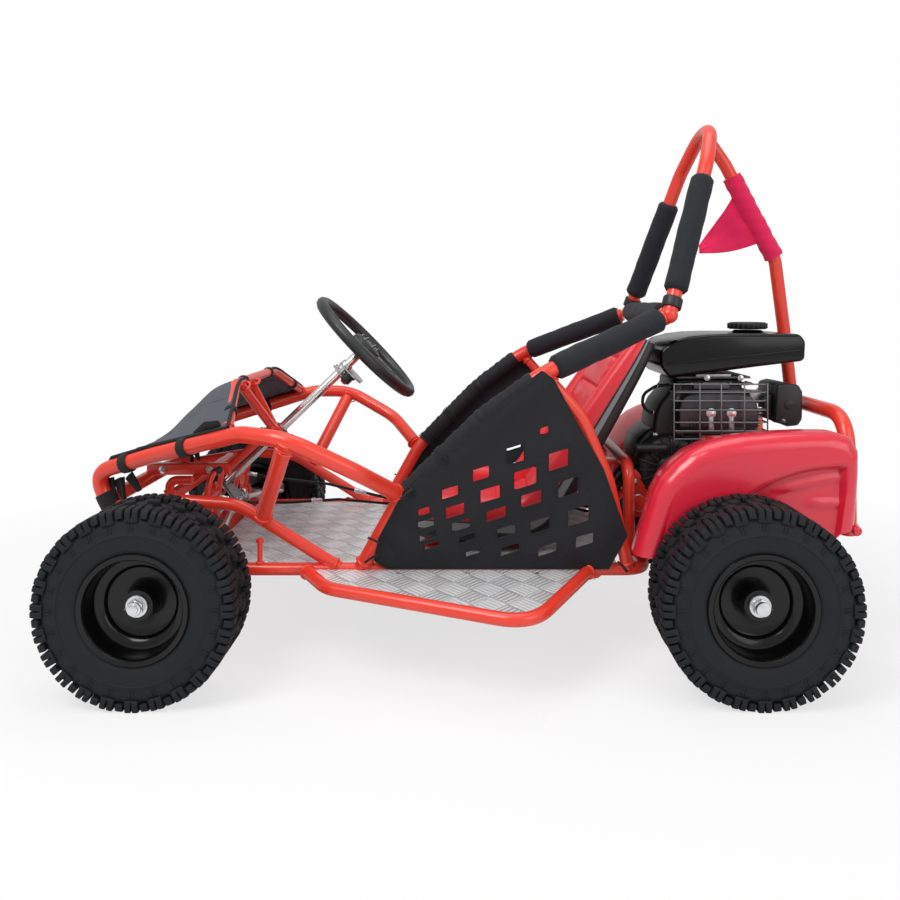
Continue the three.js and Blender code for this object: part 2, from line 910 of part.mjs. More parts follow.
const noseLow = v(noseLowX, noseHalfWidth, noseLowZ);
const leftArch = [[
  ...lengthened([noseLow, v(noseX, noseHalfWidth, noseZ)], railTube / 2).slice(0, 1),
  v(noseX, noseHalfWidth, noseZ),
  v(shoulderX, shoulderY, shoulderZ),
  v(archX, archY, archZ),
  v(archTopX, archTopY, archTopZ),
  v(archRearX, archRearY, archRearZ),
  shortOf(v(archRearX, archRearY, archRearZ), onSide(archFootX, archFootZ)),
], hoopTube, frameBend];
const leftDiagonal = [[
  noseLow,
  v(diagonalFrontX, railHalfWidth, diagonalFrontZ),
  v(diagonalKneeX, railHalfWidth, diagonalKneeZ),
  v(strutFootX, railHalfWidth, strutFootZ),
  v(diagonalFootX, railHalfWidth, railHeight),
], railTube, frameBend];
const leftStrut = [[
  v(strutFootX, railHalfWidth, strutFootZ),
  v(archTopX, archTopY, archTopZ),
], hoopTube, frameBend];
const postShare = (noseLowX - axleX) / (noseLowX - diagonalFrontX);
const postY = mix(noseHalfWidth, railHalfWidth, postShare);
const leftPost = [[
  v(axleX, postY, beamTop + fitGap),
  v(axleX, postY, mix(noseLowZ, diagonalFrontZ, postShare)),
], railTube, frameBend];
const leftElbow = onSide(elbowX, elbowZ);
const leftJunction = v(junctionX, junctionY, junctionZ);
const leftHoop = [[
  v(pillarFootX, railHalfWidth, railHeight),
  onSide(archFootX, archFootZ),
  onSide(hoopMidX, hoopMidZ),
  leftElbow,
  shortOf(leftElbow, leftJunction),
], hoopTube, hoopBend];
const leftRearStrut = [[
  leftElbow,
  onSide(rearStrutShoulderX, rearStrutShoulderZ),
  onSide(rearStrutKneeX, rearStrutKneeZ),
  v(rearStrutFootX, railHalfWidth, railHeight),
], railTube, hoopBend];
const sideFrameTubes = [leftArch, leftDiagonal, leftStrut, leftPost];
const sideHoopTubes = [leftHoop, leftRearStrut];
const allSideFrames = sideFrameTubes.flatMap(onBothSides);
const allSideHoops = sideHoopTubes.flatMap(onBothSides);

const leftShoulder = v(rollShoulderX, rollShoulderY, rollShoulderZ);
const rollLeg = lengthened([leftJunction, leftShoulder], hoopTube / 2).slice(0, 1)
  .concat([leftShoulder, v(rollTopX, rollTopY, rollTopZ)]);
const rollTubes = [
  [[...rollLeg, ...rollLeg.map(across).reverse()], hoopTube, frameBend],
  crossTube(junctionX, junctionY, junctionZ, hoopTube),
];
const stayPoints = [
  v(rollTopX, 0, rollTopZ - hoopTube / 4),
  v(stayStartX, 0, stayStartZ),
  v(stayKneeX, -staySideStep / 2, stayKneeZ),
  v(stayLowX, -staySideStep, stayLowZ),
  v(bumperX, -staySideStep, bumperTopZ),
];
const stayTubes = [[stayPoints, stayTube, frameBend]];
const bumperTubes = [[[
  v(bumperFootX, bumperHalfWidth, bumperFootZ),
  v(bumperX, bumperHalfWidth, bumperTopZ),
  v(bumperX, -bumperHalfWidth, bumperTopZ),
  v(bumperFootX, -bumperHalfWidth, bumperFootZ),
], bumperTube, bumperBend]];

const railTubes = [[[
  v(beamRearX + weldSink, railHalfWidth, railHeight),
  v(railEndX, railHalfWidth, railHeight),
  v(railEndX, -railHalfWidth, railHeight),
  v(beamRearX + weldSink, -railHalfWidth, railHeight),
], railTube, railBend]];
const floorCrossZ = floorBottom - fitGap - floorTube / 2;
const floorCrossTubes = [0, 1 / 2, 1].map((share) => (
  crossTube(mix(floorCrossFrontX, floorCrossRearX, share), railHalfWidth, floorCrossZ, floorTube)));
const rearRailTubes = onBothSides([[
  v(railEndX, rearRailY, railHeight),
  v(rearRailKickX, rearRailY, rearRailZ),
  v(rearRailBendX, rearRailY, rearRailZ),
  v(mix(bumperFootX, bumperX, 1 / 10), bumperHalfWidth, rearRailZ + hoopTube / 2),
], railTube, railBend]);
const backrestTubes = [[[
  v(backrestPostX, backrestPostY, railHeight),
  v(backrestPostX, backrestPostY, backrestPostZ),
  v(backrestPostX, -backrestPostY, backrestPostZ),
  v(backrestPostX, -backrestPostY, railHeight),
], railTube, railBend]];
const heelPost = [[
  v(heelPostX, railHalfWidth, railHeight),
  v(heelPostX, railHalfWidth, heelPostZ),
], postTube, frameBend];
const floorTubes = [
  ...railTubes,
  ...floorCrossTubes,
  ...rearRailTubes,
  ...backrestTubes,
  crossTube(engineCrossFrontX, rearRailY, rearRailZ),
  crossTube(engineCrossRearX, rearRailY, rearRailZ),
  heelPost,
];

// Floor frame: the rails with the front beam, its yokes, the column foot, the pedal lugs,
// the bearing carriers and the engine plate

const columnStart = steeringHubThickness / 2 + fitGap;
const columnFootDistance = columnDistanceAt(axleX);
const columnEnd = columnFootDistance + columnTail;
const columnSpace = bore(onColumn(columnStart), onColumn(columnEnd), columnDiameter / 2 + fitGap);

function columnBush(distance, radius = columnBushRadius) {
  const half = columnBushLength / 2;
  return rod(onColumn(distance - half), onColumn(distance + half), radius);
}

function frontBeam() {
  const yokeEnd = kingpinOffset + knuckleRadius + yokePlate;
  const slotHalf = yokeHeight / 2 - yokePlate;
  const slotStart = kingpinOffset - knuckleRadius - runningGap * 2;
  const beam = box(v(beamRearX, -yokeEnd, beamTop - yokeHeight), v(beamRearX + yokeDepth, yokeEnd, beamTop));
  const openings = [1, -1].flatMap((side) => [
    box(
      v(beamRearX - cutOverrun, side * slotStart, axleHeight - slotHalf),
      v(beamRearX + yokeDepth + cutOverrun, side * (yokeEnd + cutOverrun), axleHeight + slotHalf),
    ),
    bore(
      v(axleX, side * kingpinOffset, beamTop - yokeHeight),
      v(axleX, side * kingpinOffset, beamTop),
      kingpinDiameter / 2 + fitGap,
    ),
  ]);
  return cut(beam, openings);
}

const pedalLugY = pedalOuterY + pedalRod / 2 + runningGap;

function pedalLugs() {
  const lugs = [1, -1].map((side) => box(
    v(pedalPivotX - pedalLugHalf, side * pedalLugY, beamTop - weldSink),
    v(pedalPivotX + pedalLugHalf, side * (pedalLugY + pedalLugThickness), pedalPivotZ + pedalLugHalf),
  ));
  const end = pedalLugY + pedalLugThickness / 2;
  return [...lugs, rod(v(pedalPivotX, -end, pedalPivotZ), v(pedalPivotX, end, pedalPivotZ), pedalPinDiameter / 2)];
}

function columnFoot() {
  const centre = onColumn(columnFootDistance);
  return [columnBush(columnFootDistance), box(
    v(centre.x - columnBushRadius / 2, -columnBushRadius * 2, axleHeight),
    v(centre.x + columnBushRadius / 2, columnBushRadius * 2, centre.z - columnBushRadius / 2),
  )];
}

function bearingCarriers() {
  return [1, -1].flatMap((side) => {
    const place = (y) => v(-axleX, side * y, axleHeight);
    return [
      box(
        v(-axleX - carrierWidth / 2, side * (rearRailY - carrierThickness / 2), axleHeight),
        v(-axleX + carrierWidth / 2, side * (rearRailY + carrierThickness / 2), rearRailZ),
      ),
      rod(place(rearRailY - carrierBossWidth / 2), place(rearRailY + carrierBossWidth / 2), carrierBossRadius),
    ];
  });
}

const deckTop = rearRailZ + railTube / 2 + enginePlateThickness - weldSink;
const caliperRearX = -axleX - discRadius - caliperLength / 2;
const caliperTop = axleHeight + caliperHeight / 2;

function engineDeck() {
  const plate = box(
    v(engineCrossRearX - railTube / 2, enginePlateRightY, deckTop - enginePlateThickness),
    v(engineCrossFrontX + railTube / 2, enginePlateLeftY, deckTop),
  );
  const caliperBracket = box(
    v(caliperRearX, discY - caliperWidth / 2, caliperTop + fitGap),
    v(engineCrossRearX + railTube / 2, discY + caliperWidth / 2, rearRailZ),
  );
  return [plate, caliperBracket];
}

function floorFrame() {
  const rearAxleSpace = bore(
    v(-axleX, -hubInnerEnd, axleHeight),
    v(-axleX, hubInnerEnd, axleHeight),
    rearAxleDiameter / 2 + fitGap,
  );
  return cut(
    join(frontBeam(), weld(floorTubes), pedalLugs(), columnFoot(), bearingCarriers(), engineDeck()),
    columnSpace,
    rearAxleSpace,
    clearOf(bumperTubes),
  );
}

const sideFrame = () => cut(weld(sideFrameTubes), clearOf(sideHoopTubes), clearOf(railTubes));

function sideHoop() {
  return cut(weld(sideHoopTubes), clearOf(rollTubes), clearOf(railTubes));
}

function rollHoop() {
  const clamps = [1, -1].map((side) => {
    const foot = v(junctionX, side * junctionY, junctionZ);
    const leg = v(rollShoulderX, side * rollShoulderY, rollShoulderZ).sub(foot).normalize();
    const start = foot.clone().addScaledVector(leg, hoopTube / 2);
    return rod(start, start.clone().addScaledVector(leg, clampLength), clampRadius);
  });
  return cut(join(weld(rollTubes), clamps, weld(stayTubes)), clearOf(bumperTubes));
}

// Dash hoop with its braces and column bush, and the front subframe

const dashBushDistance = columnDistanceAt(dashBushX);
const dashHoopTube = [[
  v(dashFootX, dashFootY, dashFootZ),
  v(dashX, dashHalfWidth, dashZ),
  v(dashX, -dashHalfWidth, dashZ),
  v(dashFootX, -dashFootY, dashFootZ),
], dashTube, dashBend];
const dashBraces = [dashBraceOuterY, dashBraceInnerY].map((y) => {
  const end = onColumn(dashBushDistance);
  return [[
    v(dashX, y, dashZ),
    v(end.x, columnBushRadius / 2 * y / dashBraceOuterY, end.z + columnBushRadius / 2),
  ], dashTube, dashBend];
});
const dashTubes = [dashHoopTube, ...dashBraces];

function dashHoop() {
  return cut(
    join(weld(dashTubes), columnBush(dashBushDistance)),
    columnSpace,
    clearOf(allSideFrames),
  );
}

function frontSubframe() {
  const noseShare = (noseCrossZ - noseLowZ) / (noseZ - noseLowZ);
  const noseCrossX = mix(noseLowX, noseX, noseShare);
  const memberShare = (noseLowX - crossMemberX) / (noseLowX - diagonalFrontX);
  const memberZ = mix(noseLowZ, diagonalFrontZ, memberShare);
  const memberY = mix(noseHalfWidth, railHalfWidth, memberShare);
  const channelLow = memberZ + railTube / 2 - weldSink;
  const channel = box(
    v(channelRearX, channelY - channelWidth / 2, channelLow),
    v(noseCrossX, channelY + channelWidth / 2, channelLow + channelHeight),
  );
  const hook = [[
    v(crossMemberX, hookY, memberZ),
    v(crossMemberX, hookY, hookZ),
    v(hookX, hookY, hookZ),
  ], smallTube, dashBend];
  const bushSide = onColumn(dashBushDistance);
  const prop = [[
    v(channelRearX + smallTube / 2, channelY, channelLow + channelHeight / 2),
    v(bushSide.x, channelY, bushSide.z),
    v(bushSide.x, 0, bushSide.z),
  ], smallTube, dashBend];
  return cut(
    join(channel, weld([
      crossTube(noseCrossX, noseHalfWidth, noseCrossZ, hoopTube),
      crossTube(crossMemberX, memberY - railTube / 4, memberZ),
      hook,
      prop,
    ])),
    clearOf(allSideFrames),
    clearOf(dashTubes),
    columnBush(dashBushDistance, columnBushRadius + fitGap),
    columnSpace,
  );
}

// Side bars, step plates and the floor plate

const sideBarZ = (y) => railHeight - (y - railHalfWidth) * sideBarDrop;
const sideBarPoints = [
  [sideBarFootFrontX, railHalfWidth],
  [sideBarFrontX, sideBarFrontY],
  [sideBarRearX, sideBarRearY],
  [sideBarFootRearX, railHalfWidth],
].map(([x, y]) => v(x, y, sideBarZ(y)));
const sideBarTubes = [[sideBarPoints, railTube, sideBarBend]];
const sideBar = () => cut(weld(sideBarTubes), clearOf(railTubes));

function stepPlate() {
  const outline = new BentPath(sideBarPoints, sideBarBend).stations.map((point) => [point.x, point.y]);
  const slope = new THREE.Matrix4().set(
    1, 0, 0, 0,
    0, 1, 0, 0,
    0, -sideBarDrop, 1, railHeight + railHalfWidth * sideBarDrop,
    0, 0, 0, 1,
  );
  const plate = moved(flatPlate(outline, 0, plateThickness), slope);
  return cut(plate, clearOf(sideBarTubes), clearOf(railTubes), clearOf(sideHoopTubes), clearOf(sideFrameTubes));
}

function floorPlate() {
  const rear = rearStrutFootX + hoopTube / 2 + runningGap;
  const front = pedalPivotX - pedalLugHalf - runningGap;
  const outline = [
    [rear, -railHalfWidth],
    [front, -railHalfWidth],
    [front, railHalfWidth],
    [rear, railHalfWidth],
  ];
  return cut(
    flatPlate(outline, floorBottom, floorTop),
    clearOf(railTubes),
    clearOf(allSideHoops),
    clearOf(allSideFrames),
  );
}

// Rear fender: an outer skin with a rolled rim, open inwards and over the axle

function fenderSkin(wall) {
  return fenderOutlineShares.map(([along, up]) => [
    mix(fenderFrontX - wall, fenderRearX + wall, along),
    mix(fenderBottomZ - wall, fenderTopZ - wall, up),
  ]);
}

function fenderArch(wall) {
  const radius = fenderArchRadius - 2 * wall;
  return Array.from({ length: archSteps + 1 }, (_, i) => {
    const angle = Math.PI * mix(fenderArchStartShare, fenderArchEndShare, i / archSteps);
    return [-axleX - radius * Math.cos(angle), axleHeight + radius * Math.sin(angle)];
  });
}

function fender() {
  const outline = (wall) => [...fenderSkin(wall), ...fenderArch(wall)];
  const shell = cut(
    sidePlate(outline(0), fenderInnerY, fenderOuterY),
    sidePlate(outline(fenderWall), fenderInnerY - cutOverrun, fenderOuterY - fenderWall),
  );
  const inside = sidePlate(fenderSkin(fenderWall / 2), fenderInnerY, fenderOuterY - weldSink);
  const ribs = fenderRibShares.map((share) => {
    const x = mix(fenderFrontX, fenderRearX, share);
    return box(
      v(x - fenderWall / 2, fenderInnerY, rearRailZ + railTube / 2 + fitGap),
      v(x + fenderWall / 2, fenderOuterY, fenderTopZ),
    ).intersect(inside);
  });
  return cut(
    join(shell, ribs),
    clearOf(sideHoopTubes, runningGap),
    clearOf(rearRailTubes),
    clearOf(railTubes),
    clearOf(bumperTubes),
  );
}

// Seat

function seatStations() {
  const { stations } = new BentPath([
    v(seatFrontX, 0, seatFrontZ),
    v(seatCornerX, 0, seatCornerZ),
    v(seatTopX, 0, seatTopZ),
  ], seatBend);
  const last = stations.length - 1;
  const between = (from, to) => Array.from({ length: cushionSteps }, (_, i) => (
    from.clone().lerp(to, i / cushionSteps)));
  return [
    ...between(stations[0], stations[1]),
    ...stations.slice(1, -2),
    ...between(stations[last - 1], stations[last]),
    stations[last],
  ];
}

// The cushion swells in the middle of its length, and its ends and sides draw in
function seatCushion() {
  return swept(seatStations(), (share) => {
    const end = Math.abs(2 * share - 1) ** cushionEndPower;
    const crown = mix(1, cushionEndShare, end);
    const waist = mix(cushionWaistShare, 1, Math.abs(2 * share - 1)) - end * (1 - cushionWaistShare);
    const squared = (value) => Math.sign(value) * Math.sqrt(Math.abs(value));
    return Array.from({ length: cushionSides }, (_, i) => {
      const angle = (i + 1 / 2) / cushionSides * Math.PI * 2;
      return [
        cushionWidth / 2 * waist * squared(Math.cos(angle)),
        cushionThickness / 2 * crown * squared(Math.sin(angle)),
      ];
    });
  });
}

function seatShell() {
  const half = seatShellWidth / 2;
  const inside = cushionWidth / 2 + fitGap;
  const back = -cushionThickness / 2 - fitGap;
  const bolster = cushionThickness / 2 + seatBolsterRise;
  const bolsterSide = cushionThickness / 4;
  const shell = swept(seatStations(), () => [
    [half, back - seatShellWall],
    [half, bolster - bolsterSide],
    [mix(inside, half, 3 / 4), bolster],
    [mix(inside, half, 1 / 4), bolster],
    [inside, bolster - bolsterSide],
    [inside, back],
    [-inside, back],
    [-inside, bolster - bolsterSide],
    [-mix(inside, half, 1 / 4), bolster],
    [-mix(inside, half, 3 / 4), bolster],
    [-half, bolster - bolsterSide],
    [-half, back - seatShellWall],
  ]);
  const shellMiddle = cushionThickness / 2 + fitGap + seatShellWall / 2;
  const feet = [seatFootFrontX, seatFootRearX].flatMap((x) => [seatFootY, -seatFootY].map((y) => {
    const share = (x - seatCornerX) / (seatFrontX - seatCornerX);
    return box(
      v(x - seatFootLength / 2, y - seatFootWidth / 2, floorTop + fitGap),
      v(x + seatFootLength / 2, y + seatFootWidth / 2, mix(seatCornerZ, seatFrontZ, share) - shellMiddle),
    );
  }));
  const rise = (backrestPostZ - seatCornerZ) / (seatTopZ - seatCornerZ);
  const backSlope = (seatCornerX - seatTopX) / (seatTopZ - seatCornerZ);
  const lugEndX = mix(seatCornerX, seatTopX, rise) - shellMiddle * Math.hypot(1, backSlope);
  const lugs = [seatLugY, -seatLugY].map((y) => box(
    v(backrestPostX, y - seatLugWidth / 2, backrestPostZ - seatLugHeight / 2),
    v(lugEndX, y + seatLugWidth / 2, backrestPostZ + seatLugHeight / 2),
  ));
  return cut(join(shell, feet, lugs), clearOf(backrestTubes));
}

// Foam pads on the hoops

function padOn(from, to, [startShare, endShare], tubes) {
  const pad = [[
    from.clone().lerp(to, startShare),
    from.clone().lerp(to, endShare),
  ], hoopTube + 2 * padFoam, frameBend];
  return cut(weld([pad]), clearOf(tubes));
}

// Side nets: a panel with woven gaps, sewn to a sleeve on the hoop

function sideNet() {
  const place = ([along, up]) => [mix(netFrontX, netRearX, along), mix(netBottomZ, netTopZ, up)];
  const panel = flatShape(netOutlineShares.map(place));
  for (let column = 0; column < netGapColumns; column += 1) {
    const share = column / (netGapColumns - 1);
    const pick = (first, last) => place(first).map((value, i) => mix(value, place(last)[i], share));
    const top = pick(netGapFirstTopShares, netGapLastTopShares);
    const low = pick(netGapFirstLowShares, netGapLastLowShares);
    const halfWidth = mix(netGapFirstWidth, netGapLastWidth, share) / 2;
    const halfHeight = mix(netGapFirstHeight, netGapLastHeight, share) / 2;
    const slant = halfWidth * netGapSlant;
    for (let row = column === 0 ? 1 : 0; row < netGapRows; row += 1) {
      const [x, z] = top.map((value, i) => mix(value, low[i], row / (netGapRows - 1)));
      panel.holes.push(new THREE.Path([
        new THREE.Vector2(x - halfWidth, z - halfHeight + slant),
        new THREE.Vector2(x + halfWidth, z - halfHeight - slant),
        new THREE.Vector2(x + halfWidth, z + halfHeight - slant),
        new THREE.Vector2(x - halfWidth, z + halfHeight + slant),
      ]));
    }
  }
  const standOff = (hoopTube / 2 + fitGap) * Math.hypot(1, sideLean);
  const lean = new THREE.Matrix4().set(
    1, 0, 0, 0,
    0, sideLean, 1, railHalfWidth - railHeight * sideLean + standOff,
    0, 1, 0, 0,
    0, 0, 0, 1,
  );
  const flat = new THREE.ExtrudeGeometry(panel, { depth: netThickness, bevelEnabled: false });
  const sleeveRoute = [
    onSide(archFootX, archFootZ).lerp(onSide(hoopMidX, hoopMidZ), netSleeveStartShare),
    onSide(hoopMidX, hoopMidZ),
    onSide(hoopMidX, hoopMidZ).lerp(leftElbow, netSleeveEndShare),
  ];
  const hem = [[sleeveRoute, hoopTube + 2 * (fitGap + netThickness), hoopBend]];
  return cut(
    join(solidOf(flat.applyMatrix4(lean)), weld(hem)),
    clearOf(sideHoopTubes),
    clearOf(sideFrameTubes),
    clearOf(sideBarTubes),
  );
}

// Nose cover: a sheet from the nose over both arches to the dash hoop, held by straps

function noseCover() {
  const seat = hoopTube / 2 + fitGap + coverThickness;
  const nose = v(noseX, noseHalfWidth, noseZ);
  const leftFrameShoulder = v(shoulderX, shoulderY, shoulderZ);
  const edgeFront = leftFrameShoulder.clone().lerp(nose, coverEdgeStartShare);
  const edgeAt = (share) => {
    const rear = v(dashFootX, dashFootY, dashFootZ - dashTube / 2);
    const point = share < coverShoulderShare
      ? edgeFront.clone().lerp(leftFrameShoulder, share / coverShoulderShare)
      : leftFrameShoulder.clone().lerp(rear, (share - coverShoulderShare) / (1 - coverShoulderShare));
    point.z += seat;
    return point;
  };
  const top = dashZ + dashTube / 2 + fitGap + coverThickness;
  const rows = Array.from({ length: coverRows }, (_, i) => {
    const share = i / (coverRows - 1);
    const edge = edgeAt(share);
    const frontZ = noseZ + hoopTube / 2 - coverHemDrop;
    const z = mix(frontZ, top, coverRiseShares[i]);
    const x = mix(coverHemX, dashX, coverForwardShares[i]);
    const shoulder = v(mix(edge.x, x, coverFlankShare), mix(coverShoulderFrontY, dashHalfWidth, share), z);
    const flank = edge.clone().lerp(shoulder, 1 / 2);
    const centre = v(x, 0, z);
    const left = [edge, flank, shoulder, shoulder.clone().lerp(centre, 1 / 2)];
    return [...left, centre, ...left.map(across).reverse()];
  });
  const straps = [
    [nose, leftFrameShoulder, coverStrapNoseShare],
    [leftFrameShoulder, v(archX, archY, archZ), coverStrapArchShare],
  ].flatMap(([start, end, share]) => {
    const middle = start.clone().lerp(end, share);
    const along = end.clone().sub(start).setLength(coverStrapWidth / 2);
    return onBothSides([[
      middle.clone().sub(along),
      middle.clone().add(along),
    ], hoopTube + 2 * (fitGap + coverStrapWall), frameBend]);
  });
  return cut(
    join(sheetOf(rows, coverThickness, v(0, 0, 1)), weld(straps)),
    clearOf(allSideFrames),
    clearOf(dashTubes),
  );
}

// Flag: a sleeve on the stay with a rippled pennant

function flag() {
  const start = stayPoints[1].clone().lerp(stayPoints[2], flagTopShare);
  const end = stayPoints[2].clone().lerp(stayPoints[1], flagEndShare);
  const hem = [[[start, end], stayTube + 2 * flagSleeveWall, frameBend]];
  const rows = Array.from({ length: flagColumns + 1 }, (_, i) => {
    const share = i / flagColumns;
    const y = flagRipple * Math.sin(share * Math.PI * 2) - staySideStep / 4;
    return [
      v(mix(flagUpperX, flagTipX, share), y, mix(flagUpperZ, flagTipZ + flagTipHeight, share)),
      v(mix(flagLowerX, flagTipX, share), y, mix(flagLowerZ, flagTipZ, share)),
    ];
  });
  return cut(join(weld([hem[0]]), sheetOf(rows, flagThickness, v(0, 1, 0))), clearOf(stayTubes));
}

// Steering: column with its pitman plate and switch, wheel, button, tie rods and spindles

const pitmanEye = (side) => onSteeringAxis(
  rod(v(side * pitmanSpread, pitmanLength, -pitmanThickness / 2), v(side * pitmanSpread, pitmanLength, pitmanThickness / 2),
    tieRodEyeRadius),
  pitmanDistance,
);

function steeringColumn() {
  const half = pitmanThickness / 2;
  const reach = pitmanSpread + tieRodEyeRadius / 2;
  const plate = new THREE.ExtrudeGeometry(flatShape([
    [-pitmanHubRadius, -pitmanHubRadius / 2],
    [pitmanHubRadius, -pitmanHubRadius / 2],
    [reach, pitmanLength],
    [-reach, pitmanLength],
  ]), { depth: pitmanThickness, bevelEnabled: false }).translate(0, 0, -half);
  const switchPlate = box(
    v(-switchPlateWidth / 2, -columnDiameter / 2 - switchPlateThickness, 0),
    v(switchPlateWidth / 2, switchPlateDrop, switchPlateThickness),
  );
  const bodyTop = switchPlateThickness + switchBodyDepth;
  const switchBody = cut(
    rod(v(switchOffset, switchOffset, 0), v(switchOffset, switchOffset, bodyTop), switchBodyRadius),
    bore(
      v(switchOffset, switchOffset, bodyTop - switchButtonDepth + cutOverrun),
      v(switchOffset, switchOffset, bodyTop),
      switchButtonRadius + fitGap,
    ),
  );
  return join(
    rod(onColumn(columnStart), onColumn(columnEnd), columnDiameter / 2),
    rod(onColumn(columnStart), onColumn(columnStart + columnFlangeThickness), columnFlangeRadius),
    onSteeringAxis(solidOf(plate), pitmanDistance),
    [1, -1].map(pitmanEye),
    onSteeringAxis(join(switchPlate, switchBody), switchPlateDistance),
  );
}

function killSwitch() {
  const top = switchPlateThickness + switchBodyDepth + switchButtonTravel + fitGap;
  return onSteeringAxis(rod(
    v(switchOffset, switchOffset, top - switchButtonDepth + switchButtonTravel),
    v(switchOffset, switchOffset, top + switchButtonTravel),
    switchButtonRadius,
  ), switchPlateDistance);
}

function steeringWheel() {
  const grip = solidOf(new THREE.TorusGeometry(
    steeringWheelRadius, steeringWheelGrip / 2, tubeSides, gripSteps));
  const half = steeringHubThickness / 2;
  const hub = rod(v(0, 0, -half), v(0, 0, half), steeringHubRadius);
  const spokes = [[1, 0], [-1, 0], [0, 1]].map(([x, y]) => {
    const side = v(y, x, 0).multiplyScalar(spokeWidth / 2);
    const end = v(x, y, 0).multiplyScalar(steeringWheelRadius);
    return box(
      side.clone().negate().add(v(0, 0, -spokeThickness / 2)),
      end.add(side).add(v(0, 0, spokeThickness / 2)),
    );
  });
  return onSteeringAxis(join(grip, hub, spokes), 0);
}

const armTop = beamTop + fitGap + steeringArmThickness;

function spindleLeft() {
  const place = (z) => v(axleX, kingpinOffset, z);
  const inside = yokeHeight / 2 - yokePlate - fitGap;
  const armEnd = v(axleX - steeringArmLength, kingpinOffset, beamTop + fitGap);
  const stub = (y) => v(axleX, y, axleHeight);
  return join(
    rod(place(axleHeight - inside), place(axleHeight + inside), knuckleRadius),
    rod(place(axleHeight - yokeHeight / 2), place(armTop), kingpinDiameter / 2),
    box(
      armEnd.clone().add(v(0, -steeringArmWidth / 2, 0)),
      v(axleX, kingpinOffset + steeringArmWidth / 2, armTop),
    ),
    rod(armEnd, armEnd.clone().add(v(0, 0, steeringArmThickness)), steeringArmWidth / 2),
    rod(place(beamTop + fitGap), place(armTop), knuckleRadius),
    rod(stub(kingpinOffset), stub(hubOuterEnd + hubWasherWidth), frontAxleDiameter / 2),
    rod(stub(hubInnerEnd - axleCollarWidth), stub(hubInnerEnd), axleCollarRadius),
    hubEnd(axleX),
  );
}

// The washer and nut outside a left wheel hub
function hubEnd(x) {
  const place = (y) => v(x, y, axleHeight);
  const washerEnd = hubOuterEnd + hubWasherWidth;
  return join(
    rod(place(hubOuterEnd), place(washerEnd), hubWasherRadius),
    rod(place(washerEnd - weldSink), place(washerEnd + hubNutWidth), hubNutRadius, 6),
  );
}

function tieRodLeft() {
  const armEye = v(axleX - steeringArmLength, kingpinOffset, armTop + fitGap + tieRodEyeThickness / 2);
  const drop = pitmanThickness / 2 + fitGap + tieRodEyeThickness / 2;
  const pitmanHole = onColumn(pitmanDistance + drop)
    .add(v(-Math.sin(columnAngle), 0, -Math.cos(columnAngle)).multiplyScalar(pitmanLength))
    .add(v(0, pitmanSpread, 0));
  const half = v(0, 0, tieRodEyeThickness / 2);
  const slantHalf = columnDown.clone().multiplyScalar(tieRodEyeThickness / 2);
  const inner = rod(pitmanHole.clone().sub(slantHalf), pitmanHole.clone().add(slantHalf), tieRodEyeRadius);
  return join(
    tube([armEye, pitmanHole], tieRodDiameter),
    rod(armEye.clone().sub(half), armEye.clone().add(half), tieRodEyeRadius),
    inner,
  );
}

// Wheels. A lug tip stands every second step, and the kart rests on the flat between two.

function tyre() {
  const tyreSteps = tyreLugs * 2;
  const bead = (rimSeatRadius + fitGap) / Math.cos(Math.PI / tyreSteps);
  const beadHalf = rimWidth / 2 - rimSheet - fitGap;
  const lip = rimLipRadius + fitGap * 2;
  const half = tyreWidth / 2;
  const profile = [
    [bead, -beadHalf],
    [lip, -beadHalf],
    [sidewallRadius, -half],
    [tyreRadius - shoulderDrop, -shoulderWidth / 2],
    [tyreRadius, -crownWidth / 2],
    [tyreRadius, crownWidth / 2],
    [tyreRadius - shoulderDrop, shoulderWidth / 2],
    [sidewallRadius, half],
    [lip, beadHalf],
    [bead, beadHalf],
  ];
  const points = [...profile, profile[0]].map(([radius, y]) => new THREE.Vector2(radius, y));
  const geometry = new THREE.LatheGeometry(points, tyreSteps);
  const position = geometry.attributes.position;
  for (let i = 0; i < position.count; i += 1) {
    const step = Math.floor(i / points.length);
    const radius = points[i % points.length].x;
    if (step % 2 === 0 && radius > tyreRadius - shoulderDrop - fitGap) {
      const share = (radius - lugDepth) / radius;
      position.setX(i, position.getX(i) * share);
      position.setZ(i, position.getZ(i) * share);
    }
  }
  return solidOf(geometry);
}

function rim(axleDiameter) {
  const hole = (axleDiameter / 2 + fitGap) / Math.cos(Math.PI / rimSides);
  const half = rimWidth / 2;
  const dish = half - rimDishDepth;
  const barrel = rimSeatRadius - rimSheet;
  return turned([
    [hole, -wheelHubWidth / 2],
    [wheelHubRadius, -wheelHubWidth / 2],
    [wheelHubRadius, dish - rimSheet],
    [barrel, dish - 2 * rimSheet],
    [barrel, -half],
    [rimLipRadius, -half],
    [rimLipRadius, rimSheet - half],
    [rimSeatRadius, rimSheet - half],
    [rimSeatRadius, half - rimSheet],
    [rimLipRadius, half - rimSheet],
    [rimLipRadius, half],
    [barrel, half],
    [barrel, dish - rimSheet],
    [wheelHubRadius, dish],
    [wheelHubRadius, wheelHubWidth / 2],
    [hole, wheelHubWidth / 2],
  ], rimSides);
}

function rearAxle() {
  const place = (y) => v(-axleX, y, axleHeight);
  const end = hubOuterEnd + hubWasherWidth;
  const collars = [1, -1].flatMap((side) => [
    rod(place(side * (hubInnerEnd - axleCollarWidth)), place(side * hubInnerEnd), axleCollarRadius + hubWasherWidth),
  ]);
  return join(rod(place(-end), place(end), rearAxleDiameter / 2), collars, hubEnd(-axleX), mirrored(hubEnd(-axleX)));
}

// Chain drive

